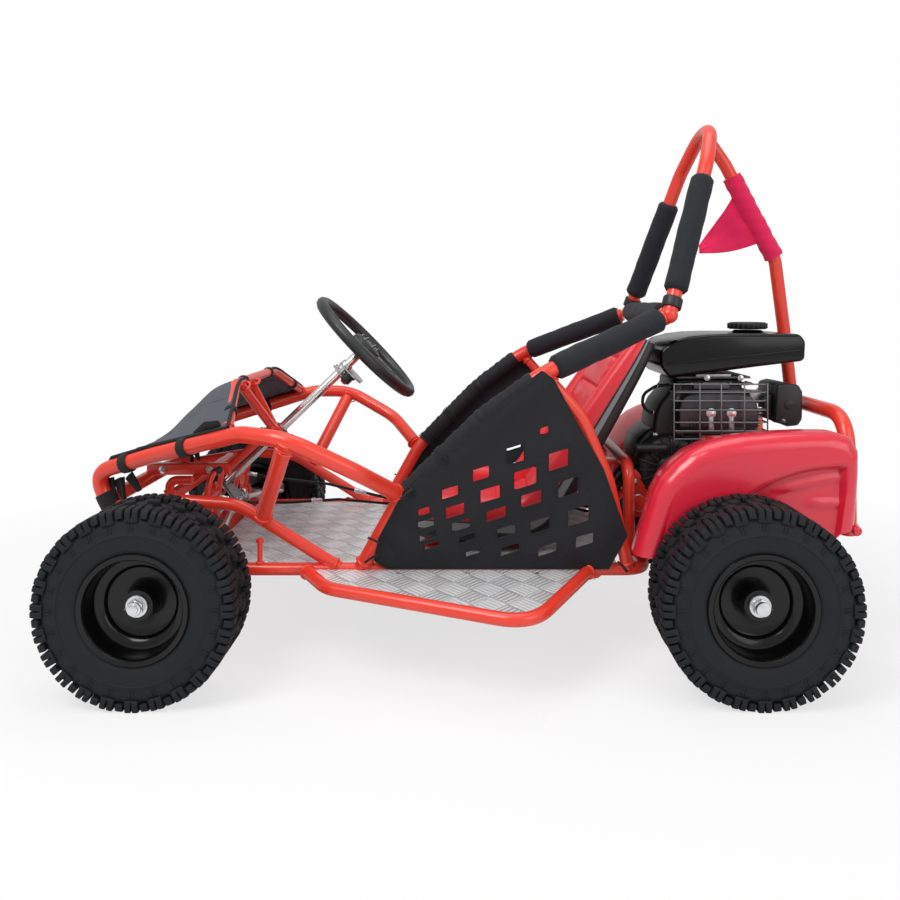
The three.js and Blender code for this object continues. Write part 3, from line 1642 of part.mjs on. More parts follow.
function toothedWheel(teeth, radius, thickness) {
  const outline = Array.from({ length: teeth * 2 }, (_, i) => {
    const angle = i / teeth * Math.PI;
    const reach = i % 2 ? radius : radius - toothDepth;
    return [reach * Math.cos(angle), reach * Math.sin(angle)];
  });
  return sidePlate(outline, -thickness / 2, thickness / 2);
}

const clutchRadius = sprocketRadius * clutchTeeth / sprocketTeeth;

function axleSprocket() {
  const plate = at(toothedWheel(sprocketTeeth, sprocketRadius, sprocketThickness), -axleX, chainY, axleHeight);
  const place = (y) => v(-axleX, y, axleHeight);
  const hub = rod(place(chainY), place(chainY + sprocketHubWidth), sprocketHubRadius);
  return cut(join(plate, hub), bore(place(chainY), place(chainY + sprocketHubWidth), rearAxleDiameter / 2 + fitGap));
}

function clutchSprocket() {
  const plate = at(toothedWheel(clutchTeeth, clutchRadius, sprocketThickness), crankX, chainY, crankZ);
  const place = (y) => v(crankX, y, crankZ);
  const bellEnd = clutchBellY - clutchBellWidth;
  const bell = rod(place(clutchBellY), place(bellEnd), clutchBellRadius);
  const hub = rod(place(bellEnd + weldSink), place(chainY), clutchHubRadius);
  return cut(join(plate, bell, hub), bore(place(chainY), place(clutchBellY), crankDiameter / 2 + fitGap));
}

// The chain's loop lies round the tips of both sprockets
function driveChain() {
  const span = v(crankX + axleX, 0, crankZ - axleHeight);
  const heading = Math.atan2(span.z, span.x);
  const spread = Math.acos((sprocketRadius - clutchRadius) / span.length());
  const loop = (offset) => {
    const arc = (x, z, radius, from, to) => Array.from({ length: chainArcSteps + 1 }, (_, i) => {
      const angle = mix(from, to, i / chainArcSteps);
      const reach = (radius + offset) / Math.cos((to - from) / chainArcSteps / 2);
      return [x + reach * Math.cos(angle), z + reach * Math.sin(angle)];
    });
    return [
      ...arc(-axleX, axleHeight, sprocketRadius, heading + spread, heading - spread + Math.PI * 2),
      ...arc(crankX, crankZ, clutchRadius, heading - spread, heading + spread),
    ];
  };
  const outer = sidePlate(loop(fitGap + chainHeight), chainY - chainWidth / 2, chainY + chainWidth / 2);
  const inner = sidePlate(loop(fitGap), chainY - chainWidth, chainY + chainWidth);
  return cut(outer, inner);
}

// Brake

function brakeDisc() {
  const place = (y) => v(-axleX, y, axleHeight);
  const disc = rod(place(discY - discThickness / 2), place(discY + discThickness / 2), discRadius, roundSides * 2);
  const hub = rod(place(discY - discHubWidth), place(discY), discHubRadius);
  return cut(join(disc, hub), bore(place(discY - discHubWidth), place(discY), rearAxleDiameter / 2 + fitGap));
}

const leverPivot = v(caliperRearX + caliperLength / 2, discY - caliperWidth / 2, axleHeight);

function brakeCaliper() {
  const body = box(
    v(caliperRearX, discY - caliperWidth / 2, caliperTop - caliperHeight),
    v(caliperRearX + caliperLength, discY + caliperWidth / 2, caliperTop),
  );
  const slot = box(
    v(caliperRearX + caliperReach, discY - discThickness / 2 - fitGap * 2, caliperTop - caliperHeight - cutOverrun),
    v(caliperRearX + caliperLength + cutOverrun, discY + discThickness / 2 + fitGap * 2, caliperTop + cutOverrun),
  );
  const pinEnd = leverPivot.clone().sub(v(0, leverThickness + weldSink, 0));
  return join(cut(body, slot), rod(leverPivot.clone().add(v(0, weldSink, 0)), pinEnd, leverPinDiameter / 2));
}

function brakeLever() {
  const side = leverPivot.clone().sub(v(0, fitGap, 0));
  const far = side.clone().sub(v(0, leverThickness, 0));
  const tip = v(0, 0, leverLength);
  return cut(
    join(
      rod(side, far, leverWidth / 2),
      rod(side.clone().add(tip), far.clone().add(tip), leverWidth / 2),
      box(side.clone().sub(v(leverWidth / 2, 0, 0)), far.clone().add(tip).add(v(leverWidth / 2, 0, 0))),
    ),
    bore(side, far, leverPinDiameter / 2 + fitGap),
  );
}

// Engine

const tankPlace = ([along, up]) => [mix(tankFrontX, tankRearX, along), mix(tankBottomZ, tankTopZ, up)];

function engineBlock() {
  const crankcase = sidePlate([
    [engineFrontX, deckTop + fitGap],
    [engineFrontX, engineTopZ - engineChamfer],
    [engineFrontX - engineChamfer, engineTopZ],
    [engineRearX, engineTopZ],
    [engineRearX, deckTop + fitGap],
  ], engineRightY, engineLeftY);
  const seatSlope = (tankPlace(tankSeatRearShares)[1] - tankPlace(tankSeatFrontShares)[1])
    / (tankPlace(tankSeatRearShares)[0] - tankPlace(tankSeatFrontShares)[0]);
  const under = (x) => tankPlace(tankSeatFrontShares)[1]
    + (x - tankPlace(tankSeatFrontShares)[0]) * seatSlope - fitGap / Math.cos(Math.atan(seatSlope));
  const head = sidePlate([
    [headFrontX, headBottomZ],
    [headFrontX, under(headFrontX)],
    [headRearX + engineChamfer, under(headRearX + engineChamfer)],
    [headRearX, under(headRearX + engineChamfer) - engineChamfer],
    [headRearX, headBottomZ],
  ], headRightY, headLeftY);
  const fins = Array.from({ length: finCount }, (_, i) => {
    const z = mix(headBottomZ, engineTopZ + engineChamfer * 2, (i + 1) / (finCount + 1));
    return box(
      v(headRearX - cutOverrun, headRightY - cutOverrun, z),
      v(headRearX + finDepth, headLeftY + cutOverrun, z + finHeight),
    );
  });
  const crank = rod(v(crankX, engineRightY + weldSink, crankZ), v(crankX, chainY - chainWidth, crankZ), crankDiameter / 2);
  const recoilSpace = rod(
    v(crankX, engineLeftY + fitGap / 2, crankZ),
    v(crankX, headLeftY + cutOverrun, crankZ),
    recoilRadius + runningGap,
    rimSides,
  );
  return cut(join(crankcase, head, crank), fins, recoilSpace);
}

function fuelTank() {
  const body = sidePlate(tankOutlineShares.map(tankPlace), tankRightY, tankLeftY, tankEdge);
  const neck = rod(v(fillerX, fillerY, tankTopZ - weldSink), v(fillerX, fillerY, tankTopZ + fillerHeight), fillerRadius);
  return join(body, neck);
}

function fuelCap() {
  const outline = Array.from({ length: capRibs * 2 }, (_, i) => {
    const angle = (i + 1 / 2) / capRibs * Math.PI;
    const reach = i % 4 < 2 ? capRadius : capRadius - capRibDepth;
    return [fillerX + reach * Math.cos(angle), fillerY + reach * Math.sin(angle)];
  });
  const bottom = tankTopZ + fillerHeight + fitGap;
  return flatPlate(outline, bottom, bottom + capHeight);
}

function muffler() {
  const start = headLeftY + fitGap;
  const body = sidePlate([
    [mufflerFrontX, mufflerBottomZ],
    [mufflerFrontX, mufflerTopZ],
    [mufflerRearX, mufflerTopZ],
    [mufflerRearX, mufflerBottomZ],
  ], start, start + mufflerDepth, mufflerEdge);
  const face = start + guardDepth;
  const wire = (from, to) => rod(from, to, guardWire / 2, wireSides);
  const along = Array.from({ length: guardWires }, (_, i) => {
    const z = mix(guardBottomZ, guardTopZ, i / (guardWires - 1));
    return wire(v(guardFrontX + guardWire / 2, face, z), v(guardRearX - guardWire / 2, face, z));
  });
  const posts = Array.from({ length: guardPosts }, (_, i) => {
    const x = mix(guardFrontX, guardRearX, i / (guardPosts - 1));
    return wire(v(x, face, guardBottomZ - guardWire / 2), v(x, face, guardTopZ + guardWire / 2));
  });
  const standZ = mix(guardBottomZ, guardTopZ, 1 / (guardWires - 1));
  const stands = [mufflerFrontX, mufflerRearX].map((x) => {
    const inner = mix(x, (mufflerFrontX + mufflerRearX) / 2, 1 / 4);
    return wire(v(inner, start + mufflerDepth - mufflerEdge, standZ), v(inner, face, standZ));
  });
  const legs = [guardFrontX, guardRearX].flatMap((x) => [guardBottomZ, guardTopZ].map((z) => (
    wire(v(x, face - guardReturn, z), v(x, face + guardWire / 2, z)))));
  return join(body, along, posts, stands, legs);
}

function airFilter() {
  const body = sidePlate([
    [filterFrontX, filterBottomZ],
    [filterFrontX, filterTopZ],
    [filterRearX, filterTopZ],
    [filterRearX, filterBottomZ],
  ], filterRightY, filterLeftY, filterEdge);
  const neck = rod(v(headRearX - fitGap, intakeY, intakeZ), v(filterFrontX - weldSink, intakeY, intakeZ), intakeRadius);
  return join(body, neck);
}

function recoilCover() {
  const end = engineLeftY + fitGap + recoilDepth;
  const inside = engineLeftY + fitGap;
  const cup = turned([
    [recoilRadius, inside],
    [recoilRadius, end - recoilEdge],
    [recoilRadius - recoilEdge, end],
    [recoilHubRadius, end],
    [recoilHubRadius - recoilHubDepth, end + recoilHubDepth],
    [0, end + recoilHubDepth],
    [0, end - recoilWall],
    [recoilRadius - recoilEdge - recoilWall / 2, end - recoilWall],
    [recoilRadius - recoilWall, end - recoilEdge - recoilWall / 2],
    [recoilRadius - recoilWall, inside],
  ], rimSides);
  return at(cup, crankX, 0, crankZ);
}

// The grip hangs on the face of the recoil cover, and pulls out to the left and up
function starterGrip() {
  const tilt = THREE.MathUtils.degToRad(gripTiltDegrees);
  const reach = recoilRadius - recoilEdge;
  const start = v(
    crankX + reach * Math.cos(tilt),
    engineLeftY + recoilDepth + 3 / 2 * fitGap + gripStemDiameter / 2 * Math.sin(tilt),
    crankZ + reach * Math.sin(tilt),
  );
  const barCentre = start.clone().addScaledVector(v(0, Math.cos(tilt), Math.sin(tilt)), gripStemLength);
  const half = v(gripWidth / 2, 0, 0);
  return join(
    rod(start, barCentre, gripStemDiameter / 2),
    tube([barCentre.clone().sub(half), barCentre.clone().add(half)], gripDiameter),
  );
}

// Pedals and cables

function pedalLeft() {
  const loop = [[
    v(pedalPivotX, pedalInnerY, pedalPivotZ),
    v(pedalTopX, pedalInnerY, pedalTopZ),
    v(pedalTopX, pedalOuterY, pedalTopZ),
    v(pedalPivotX, pedalOuterY, pedalPivotZ),
  ], pedalRod, pedalBend];
  const barX = mix(pedalPivotX, pedalTopX, pedalBarShare);
  const barZ = mix(pedalPivotZ, pedalTopZ, pedalBarShare);
  const bar = [[v(barX, pedalInnerY, barZ), v(barX, pedalOuterY, barZ)], pedalRod, pedalBend];
  const eyes = [pedalInnerY, pedalOuterY].map((y) => rod(
    v(pedalPivotX, y - pedalEyeWidth / 2, pedalPivotZ),
    v(pedalPivotX, y + pedalEyeWidth / 2, pedalPivotZ),
    pedalEyeRadius,
  ));
  return cut(join(weld([loop, bar]), eyes), bore(
    v(pedalPivotX, pedalInnerY - pedalEyeWidth, pedalPivotZ),
    v(pedalPivotX, pedalOuterY + pedalEyeWidth, pedalPivotZ),
    pedalPinDiameter / 2 + fitGap,
  ));
}

const pedalBarRear = (y) => v(
  mix(pedalPivotX, pedalTopX, pedalBarShare) - pedalRod / 2 - fitGap,
  y,
  mix(pedalPivotZ, pedalTopZ, pedalBarShare),
);
const pedalMiddleY = (pedalInnerY + pedalOuterY) / 2;

function throttleCable() {
  return tube([
    pedalBarRear(-pedalMiddleY),
    ...throttleCableRoute.map(([x, y, z]) => v(x, y, z)),
    v(mix(headRearX, filterFrontX, 1 / 2), intakeY - intakeRadius - fitGap, intakeZ),
  ], cableDiameter, cableBend);
}

function brakeCable() {
  const leverTip = leverPivot.clone().add(v(leverWidth / 2 + cableStopGap, 0, leverLength));
  return tube([
    pedalBarRear(pedalMiddleY),
    ...brakeCableRoute.map(([x, y, z]) => v(x, y, z)),
    leverTip,
  ], cableDiameter, cableBend);
}

// Materials: colour, roughness and metalness of each finish

const finish = (color, roughness, metalness) => () => (
  new THREE.MeshStandardMaterial({ color, roughness, metalness }));
const framePaint = finish(0xe8452f, 0.35, 0.1);
const fenderRed = finish(0xd8203c, 0.4, 0);
const flagRed = finish(0xc81448, 0.9, 0);
const seatRed = finish(0xc8203a, 0.7, 0);
const blackFabric = finish(0x16181d, 0.95, 0);
const greyFabric = finish(0x2e3238, 0.9, 0);
const blackPlastic = finish(0x141414, 0.5, 0);
const glossBlack = finish(0x0c0c0d, 0.15, 0.1);
const tyreRubber = finish(0x1b1c1e, 0.9, 0);
const zinc = finish(0xc4c6c8, 0.35, 1);
const darkSteel = finish(0x4a4c50, 0.45, 0.9);
const checkerPlate = finish(0xd0d2d4, 0.35, 1);
const gripGrey = finish(0x2a2c2e, 0.6, 0);
const stopRed = finish(0xd01818, 0.4, 0);
const cableBlack = finish(0x1a1a1a, 0.6, 0);

// Assembly

const kart = new THREE.Group();

function add(name, solid, material) {
  const mesh = new THREE.Mesh(geometryOf(solid), material());
  mesh.name = name;
  kart.add(mesh);
}

function addPair(name, solid, material) {
  add(`${name}_left`, solid, material);
  add(`${name}_right`, mirrored(solid), material);
}

add('floor_frame', floorFrame(), framePaint);
addPair('side_frame', sideFrame(), framePaint);
addPair('side_hoop', sideHoop(), framePaint);
add('roll_hoop', rollHoop(), framePaint);
add('dash_hoop', dashHoop(), framePaint);
add('front_subframe', frontSubframe(), framePaint);
add('rear_bumper', weld(bumperTubes), framePaint);
addPair('side_bar', sideBar(), framePaint);
addPair('step_plate', stepPlate(), checkerPlate);
add('floor_plate', floorPlate(), checkerPlate);
addPair('fender', fender(), fenderRed);
add('seat_shell', seatShell(), blackPlastic);
add('seat_cushion', seatCushion(), seatRed);
addPair('side_pad', padOn(leftElbow, leftJunction, sidePadShares, sideHoopTubes), blackFabric);
add('hoop_pad_left', padOn(leftJunction, leftShoulder, leftHoopPadShares, rollTubes), blackFabric);
add('hoop_pad_right', mirrored(padOn(leftJunction, leftShoulder, rightHoopPadShares, rollTubes)), blackFabric);
add('cross_pad', padOn(leftJunction, across(leftJunction), crossPadShares, rollTubes), blackFabric);
addPair('side_net', sideNet(), blackFabric);
add('nose_cover', noseCover(), greyFabric);
add('flag', flag(), flagRed);
add('steering_column', steeringColumn(), zinc);
add('steering_wheel', steeringWheel(), gripGrey);
add('kill_switch', killSwitch(), stopRed);
addPair('tie_rod', tieRodLeft(), zinc);
addPair('spindle', spindleLeft(), darkSteel);
addPair('front_rim', at(rim(frontAxleDiameter), axleX, wheelY, axleHeight), glossBlack);
addPair('front_tyre', at(tyre(), axleX, wheelY, axleHeight), tyreRubber);
add('rear_axle', rearAxle(), zinc);
addPair('rear_rim', at(rim(rearAxleDiameter), -axleX, wheelY, axleHeight), glossBlack);
addPair('rear_tyre', at(tyre(), -axleX, wheelY, axleHeight), tyreRubber);
add('axle_sprocket', axleSprocket(), darkSteel);
add('brake_disc', brakeDisc(), zinc);
add('brake_caliper', brakeCaliper(), darkSteel);
add('brake_lever', brakeLever(), zinc);
add('drive_chain', driveChain(), darkSteel);
add('engine_block', engineBlock(), darkSteel);
add('fuel_tank', fuelTank(), glossBlack);
add('fuel_cap', fuelCap(), blackPlastic);
add('muffler', muffler(), darkSteel);
add('air_filter', airFilter(), blackPlastic);
add('recoil_cover', recoilCover(), glossBlack);
add('starter_grip', starterGrip(), blackPlastic);
add('clutch_sprocket', clutchSprocket(), darkSteel);
add('brake_pedal', pedalLeft(), framePaint);
add('throttle_pedal', mirrored(pedalLeft()), framePaint);
add('throttle_cable', throttleCable(), cableBlack);
add('brake_cable', brakeCable(), cableBlack);

const extent = new THREE.Box3().setFromObject(kart);
kart.position.x = -(extent.min.x + extent.max.x) / 2;

export default kart;
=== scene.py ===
"""Off road go kart: the detailed visual model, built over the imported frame."""

from __future__ import annotations

import json
import logging
import math
from collections.abc import Callable, Sequence
from dataclasses import dataclass
from enum import Enum

import bmesh
import bpy
from mathutils import Matrix, Vector, noise

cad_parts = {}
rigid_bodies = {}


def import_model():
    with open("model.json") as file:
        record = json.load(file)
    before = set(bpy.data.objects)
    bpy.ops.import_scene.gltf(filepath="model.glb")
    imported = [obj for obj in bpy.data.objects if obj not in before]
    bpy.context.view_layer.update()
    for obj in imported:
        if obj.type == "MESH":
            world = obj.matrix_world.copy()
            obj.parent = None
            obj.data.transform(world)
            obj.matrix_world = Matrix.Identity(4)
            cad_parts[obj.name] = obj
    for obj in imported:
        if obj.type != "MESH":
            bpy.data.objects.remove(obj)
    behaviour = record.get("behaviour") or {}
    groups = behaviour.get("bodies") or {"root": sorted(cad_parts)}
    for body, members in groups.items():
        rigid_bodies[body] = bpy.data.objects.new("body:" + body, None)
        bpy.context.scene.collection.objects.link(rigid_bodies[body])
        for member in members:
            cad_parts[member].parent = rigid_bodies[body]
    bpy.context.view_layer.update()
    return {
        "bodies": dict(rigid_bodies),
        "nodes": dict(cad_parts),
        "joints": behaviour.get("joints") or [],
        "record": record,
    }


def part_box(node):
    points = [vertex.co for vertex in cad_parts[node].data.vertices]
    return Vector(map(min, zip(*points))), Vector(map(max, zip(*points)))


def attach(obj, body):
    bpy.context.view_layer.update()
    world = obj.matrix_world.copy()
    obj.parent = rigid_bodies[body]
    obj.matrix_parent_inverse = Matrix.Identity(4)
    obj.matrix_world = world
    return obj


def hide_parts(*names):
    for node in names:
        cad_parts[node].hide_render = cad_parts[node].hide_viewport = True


LOG = logging.getLogger("kart")
# The camera's place, in millimetres from mid-wheelbase, and the steering column's direction.
CAMERA = (-29.0, 1838.0, 632.0)
COLUMN_WAY = (0.7193, 0.0, -0.6947)
Point = tuple[float, float, float]
Pair = tuple[float, float]
Place = Vector | Point


class Side(Enum):
    """The driver's left or right, with its sign along Y."""

    LEFT = 1
    RIGHT = -1

    @property
    def word(self) -> str:
        """The side's name as it ends a node's name."""
        return self.name.lower()

    def flip(self, place: Sequence[float]) -> Point:
        """A place or direction on this side, from one on the left."""
        x, y, z = place
        return x, y * self.value, z


@dataclass(frozen=True)
class Datum:
    """Turns places in millimetres from mid-wheelbase into the frame's metres."""

    shift: float

    def at(self, x: float, y: float, z: float) -> Vector:
        """The point in metres."""
        return Vector((x / 1000 + self.shift, y / 1000, z / 1000))

    def row(self, points: Sequence[Point], side: Side = Side.LEFT) -> list[Vector]:
        """The points in metres, mirrored for the right side."""
        return [self.at(*side.flip(point)) for point in points]


# ---- Shader graphs


class Value:
    """A shader socket that adds Math nodes when Python arithmetic is used on it."""

    def __init__(self, graph: Graph, socket: bpy.types.NodeSocket) -> None:
        """Wraps a socket of a graph."""
        self.graph = graph
        self.socket = socket

    def _math(self, operation: str, *others: Value | float, first: bool = True) -> Value:
        """Adds one Math node.

        Args:
            operation: The Math node's operation.
            others: The other operands.
            first: Whether this value is the first operand.

        Returns:
            The node's result.
        """
        operands = [self, *others] if first else [*others, self]
        node = self.graph.node("ShaderNodeMath", {"operation": operation}, dict(enumerate(operands)))
        return Value(self.graph, node.outputs[0])

    def __add__(self, other: Value | float) -> Value:
        """Sum."""
        return self._math("ADD", other)

    __radd__ = __add__

    def __sub__(self, other: Value | float) -> Value:
        """Difference."""
        return self._math("SUBTRACT", other)

    def __rsub__(self, other: float) -> Value:
        """Reflected difference."""
        return self._math("SUBTRACT", other, first=False)

    def __mul__(self, other: Value | float) -> Value:
        """Product."""
        return self._math("MULTIPLY", other)

    __rmul__ = __mul__

    def __pow__(self, other: float) -> Value:
        """Power."""
        return self._math("POWER", other)

    def sine(self) -> Value:
        """Sine of the value."""
        return self._math("SINE")

    def size(self) -> Value:
        """Absolute value."""
        return self._math("ABSOLUTE")

    def fraction(self) -> Value:
        """The part after the decimal point."""
        return self._math("FRACT")

    def floor(self) -> Value:
        """The whole number below."""
        return self._math("FLOOR")

    def parity(self) -> Value:
        """Zero for even whole numbers, and one for odd ones."""
        return self._math("MODULO", 2.0).size()

    def larger(self, other: Value | float) -> Value:
        """The larger of two values."""
        return self._math("MAXIMUM", other)

    def ramp(self, low: float, high: float) -> Value:
        """The value stretched from low to high onto 0 to 1, and clamped."""
        node = self.graph.node("ShaderNodeMapRange", {"clamp": True}, {0: self, 1: low, 2: high, 3: 0.0, 4: 1.0})
        return Value(self.graph, node.outputs[0])


class Graph:
    """The node graph of one material."""

    def __init__(self, name: str) -> None:
        """Starts an empty material."""
        self.material = bpy.data.materials.new(name)
        self.material.use_nodes = True
        self._start(self.material.node_tree)

    def _start(self, tree: bpy.types.NodeTree) -> None:
        """Clears a node tree and adds the object coordinates."""
        self.tree = tree
        self.tree.nodes.clear()
        self.place = self.node("ShaderNodeTexCoord").outputs["Object"]

    @classmethod
    def of(cls, world: bpy.types.World) -> Graph:
        """The graph of a world."""
        graph = cls.__new__(cls)
        graph.material = None
        graph._start(world.node_tree)
        return graph

    def node(self, kind: str, settings: dict | None = None, inputs: dict | None = None) -> bpy.types.Node:
        """Adds a node.

        Args:
            kind: The node's type.
            settings: Attributes to set first.
            inputs: Socket names or numbers with their values or links.

        Returns:
            The new node.
        """
        made = self.tree.nodes.new(kind)
        for key, value in (settings or {}).items():
            setattr(made, key, value)
        for key, value in (inputs or {}).items():
            if isinstance(value, Value):
                self.tree.links.new(value.socket, made.inputs[key])
            elif isinstance(value, bpy.types.NodeSocket):
                self.tree.links.new(value, made.inputs[key])
            else:
                made.inputs[key].default_value = value
        return made

    def axes(self, turn: float = 0.0) -> tuple[Value, Value, Value]:
        """The object coordinates, turned about Z.

        Args:
            turn: The turn in radians.

        Returns:
            X, Y and Z.
        """
        mapped = self.node("ShaderNodeMapping", {}, {"Vector": self.place, "Rotation": (0.0, 0.0, turn)})
        split = self.node("ShaderNodeSeparateXYZ", {}, {0: mapped.outputs[0]})
        return tuple(Value(self, socket) for socket in split.outputs[:3])

    def noise(self, scale: float, detail: float = 3.0, stretch: Point = (1.0, 1.0, 1.0)) -> Value:
        """Smooth noise from 0 to 1 on the object coordinates."""
        mapped = self.node("ShaderNodeMapping", {}, {"Vector": self.place, "Scale": stretch})
        made = self.node("ShaderNodeTexNoise", {}, {"Vector": mapped.outputs[0], "Scale": scale, "Detail": detail})
        return Value(self, made.outputs["Fac"])

    def cells(self, scale: float) -> Value:
        """Distance to the nearest cell centre of a Voronoi pattern."""
        made = self.node("ShaderNodeTexVoronoi", {}, {"Vector": self.place, "Scale": scale})
        return Value(self, made.outputs["Distance"])

    def blend(self, share: Value | float, low: Sequence[float], high: Sequence[float]) -> bpy.types.NodeSocket:
        """A mix of two colours."""
        made = self.node("ShaderNodeMix", {"data_type": "RGBA"}, {0: share, 6: (*low, 1.0), 7: (*high, 1.0)})
        return made.outputs[2]

    def bump(self, height: Value, distance: float, strength: float = 1.0) -> bpy.types.NodeSocket:
        """A Bump node's normal."""
        made = self.node("ShaderNodeBump", {}, {"Height": height, "Distance": distance, "Strength": strength})
        return made.outputs[0]

    def surface(self, inputs: dict) -> bpy.types.Material:
        """Ends the graph with one Principled shader."""
        shader = self.node("ShaderNodeBsdfPrincipled", {}, inputs)
        self.node("ShaderNodeOutputMaterial", {}, {0: shader.outputs[0]})
        return self.material


Colour = tuple[float, float, float]


def shade(colour: Colour, factor: float) -> Colour:
    """The colour made darker or lighter."""
    return tuple(min(1.0, part * factor) for part in colour)


@dataclass(frozen=True)
class Paint:
    """A smooth glossy coat on steel, with orange peel and slight mottling."""

    name: str
    colour: Colour
    roughness: float = 0.28
    coat: float = 0.35
    specular: float = 0.5

    def build(self) -> bpy.types.Material:
        """The finished material."""
        graph = Graph(self.name)
        mottle = graph.noise(14.0, 4.0)
        peel = graph.noise(420.0, 1.0)
        scuff = graph.noise(60.0, 6.0, (1.0, 1.0, 3.0)).ramp(0.62, 0.8)
        return graph.surface({
            "Base Color": graph.blend(mottle * 0.6, self.colour, shade(self.colour, 0.8)),
            "Roughness": mottle * 0.1 + scuff * 0.12 + self.roughness,
            "Specular IOR Level": self.specular,
            "Coat Weight": self.coat,
            "Coat Roughness": 0.12,
            "Normal": graph.bump(peel, 0.0002, 0.35),
        })


@dataclass(frozen=True)
class Moulded:
    """Injection or blow moulded plastic, with a fine grain."""

    name: str
    colour: Colour
    roughness: float = 0.4
    grain: float = 900.0
    depth: float = 0.00012
    coat: float = 0.0

    def build(self) -> bpy.types.Material:
        """The finished material."""
        graph = Graph(self.name)
        mottle = graph.noise(9.0, 5.0)
        grain = graph.noise(self.grain, 2.0)
        return graph.surface({
            "Base Color": graph.blend(mottle * 0.7, self.colour, shade(self.colour, 0.78)),
            "Roughness": mottle * 0.12 + grain * 0.08 + (self.roughness - 0.08),
            "Coat Weight": self.coat,
            "Coat Roughness": 0.2,
            "Normal": graph.bump(grain, self.depth, 0.6),
        })


@dataclass(frozen=True)
class Metal:
    """Bare, plated or polished metal with streaks from its making."""

    name: str
    colour: Colour
    roughness: float = 0.3
    streak: Point = (1.0, 8.0, 1.0)
    tarnish: float = 0.25

    def build(self) -> bpy.types.Material:
        """The finished material."""
        graph = Graph(self.name)
        streaks = graph.noise(160.0, 4.0, self.streak)
        stain = graph.noise(38.0, 5.0).ramp(0.45, 0.75)
        return graph.surface({
            "Base Color": graph.blend(stain * self.tarnish, self.colour, shade(self.colour, 0.55)),
            "Metallic": 1.0,
            "Roughness": streaks * 0.14 + stain * 0.1 + (self.roughness - 0.07),
            "Normal": graph.bump(streaks, 0.0001, 0.4),
        })


@dataclass(frozen=True)
class TreadPlate:
    """Bright aluminium sheet with raised bars, in groups that alternate in direction, with painted shade in its
    colour between the bars and on every other group.
    """

    name: str
    colour: Colour
    cell: float = 0.041
    bars: float = 5.0

    def build(self) -> bpy.types.Material:
        """The finished material."""
        graph = Graph(self.name)
        x, y = (axis * (1 / self.cell) for axis in graph.axes(math.radians(45))[:2])
        odd = (x.floor() + y.floor()).parity()
        across, along = x.fraction(), y.fraction()

        def group(first: Value, second: Value) -> Value:
            """Bars that run along the second axis."""
            bar = ((first * self.bars).fraction() - 0.5).size().ramp(0.34, 0.22)
            return bar * (second - 0.5).size().ramp(0.46, 0.4)

        raised = group(across, along) * odd + group(along, across) * (1 - odd)
        dirt = graph.noise(30.0, 5.0).ramp(0.35, 0.75)
        fine = graph.noise(700.0, 2.0)
        # Painted shade with real dirt: the sheet between the bars is darker than the bars, and every other group is
        # darker to stand in for how the two bar directions catch the light; the dirt patches are real.
        shadow = (dirt * 0.2 + odd * 0.45 + 0.2) * (1 - raised * 0.8)
        return graph.surface({
            "Base Color": graph.blend(shadow, self.colour, shade(self.colour, 0.3)),
            "Metallic": 0.2,
            "Roughness": fine * 0.1 + dirt * 0.12 - raised * 0.1 + 0.3,
            "Normal": graph.bump(raised + fine * 0.03, 0.0026, 1.0),
        })


@dataclass(frozen=True)
class Rubber:
    """Moulded rubber, with faint dust in patches."""

    name: str
    colour: Colour
    roughness: float = 0.62
    dust: float = 0.35

    def build(self) -> bpy.types.Material:
        """The finished material."""
        graph = Graph(self.name)
        patches = graph.noise(22.0, 6.0).ramp(0.45, 0.8)
        grain = graph.noise(500.0, 3.0)
        return graph.surface({
            "Base Color": graph.blend(patches * self.dust, self.colour, shade(self.colour, 2.2)),
            "Roughness": patches * 0.14 + grain * 0.1 + (self.roughness - 0.05),
            "Specular IOR Level": 0.25,
            "Normal": graph.bump(grain, 0.00025, 0.6),
        })


@dataclass(frozen=True)
class Cloth:
    """Woven or coated fabric, with threads in two directions."""

    name: str
    colour: Colour
    thread: float = 0.0011
    depth: float = 0.00025
    sheen: float = 0.15
    roughness: float = 0.86

    def build(self) -> bpy.types.Material:
        """The finished material."""
        graph = Graph(self.name)
        x, y, z = graph.axes()
        rate = math.pi / self.thread
        warp = ((x + y) * rate).sine()
        weft = ((z + y * 0.5) * rate).sine()
        weave = warp * weft
        fuzz = graph.noise(260.0, 3.0)
        fade = graph.noise(7.0, 4.0)
        return graph.surface({
            "Base Color": graph.blend(fade * 0.5 + weave * 0.12, self.colour, shade(self.colour, 1.7)),
            "Roughness": fuzz * 0.1 + (self.roughness - 0.05),
            "Sheen Weight": self.sheen,
            "Sheen Roughness": 0.5,
            "Normal": graph.bump(weave * 0.5 + fuzz * 0.8, self.depth, 0.8),
        })


@dataclass(frozen=True)
class Vinyl:
    """Seat vinyl with a pebbled leather grain."""

    name: str
    colour: Colour
    roughness: float = 0.42

    def build(self) -> bpy.types.Material:
        """The finished material."""
        graph = Graph(self.name)
        pebbles = graph.cells(520.0)
        wear = graph.noise(12.0, 5.0)
        return graph.surface({
            "Base Color": graph.blend(wear * 0.5 + pebbles * 0.2, self.colour, shade(self.colour, 0.72)),
            "Roughness": wear * 0.12 + pebbles * 0.1 + (self.roughness - 0.1),
            "Coat Weight": 0.08,
            "Normal": graph.bump(pebbles, 0.0004, 0.5),
        })


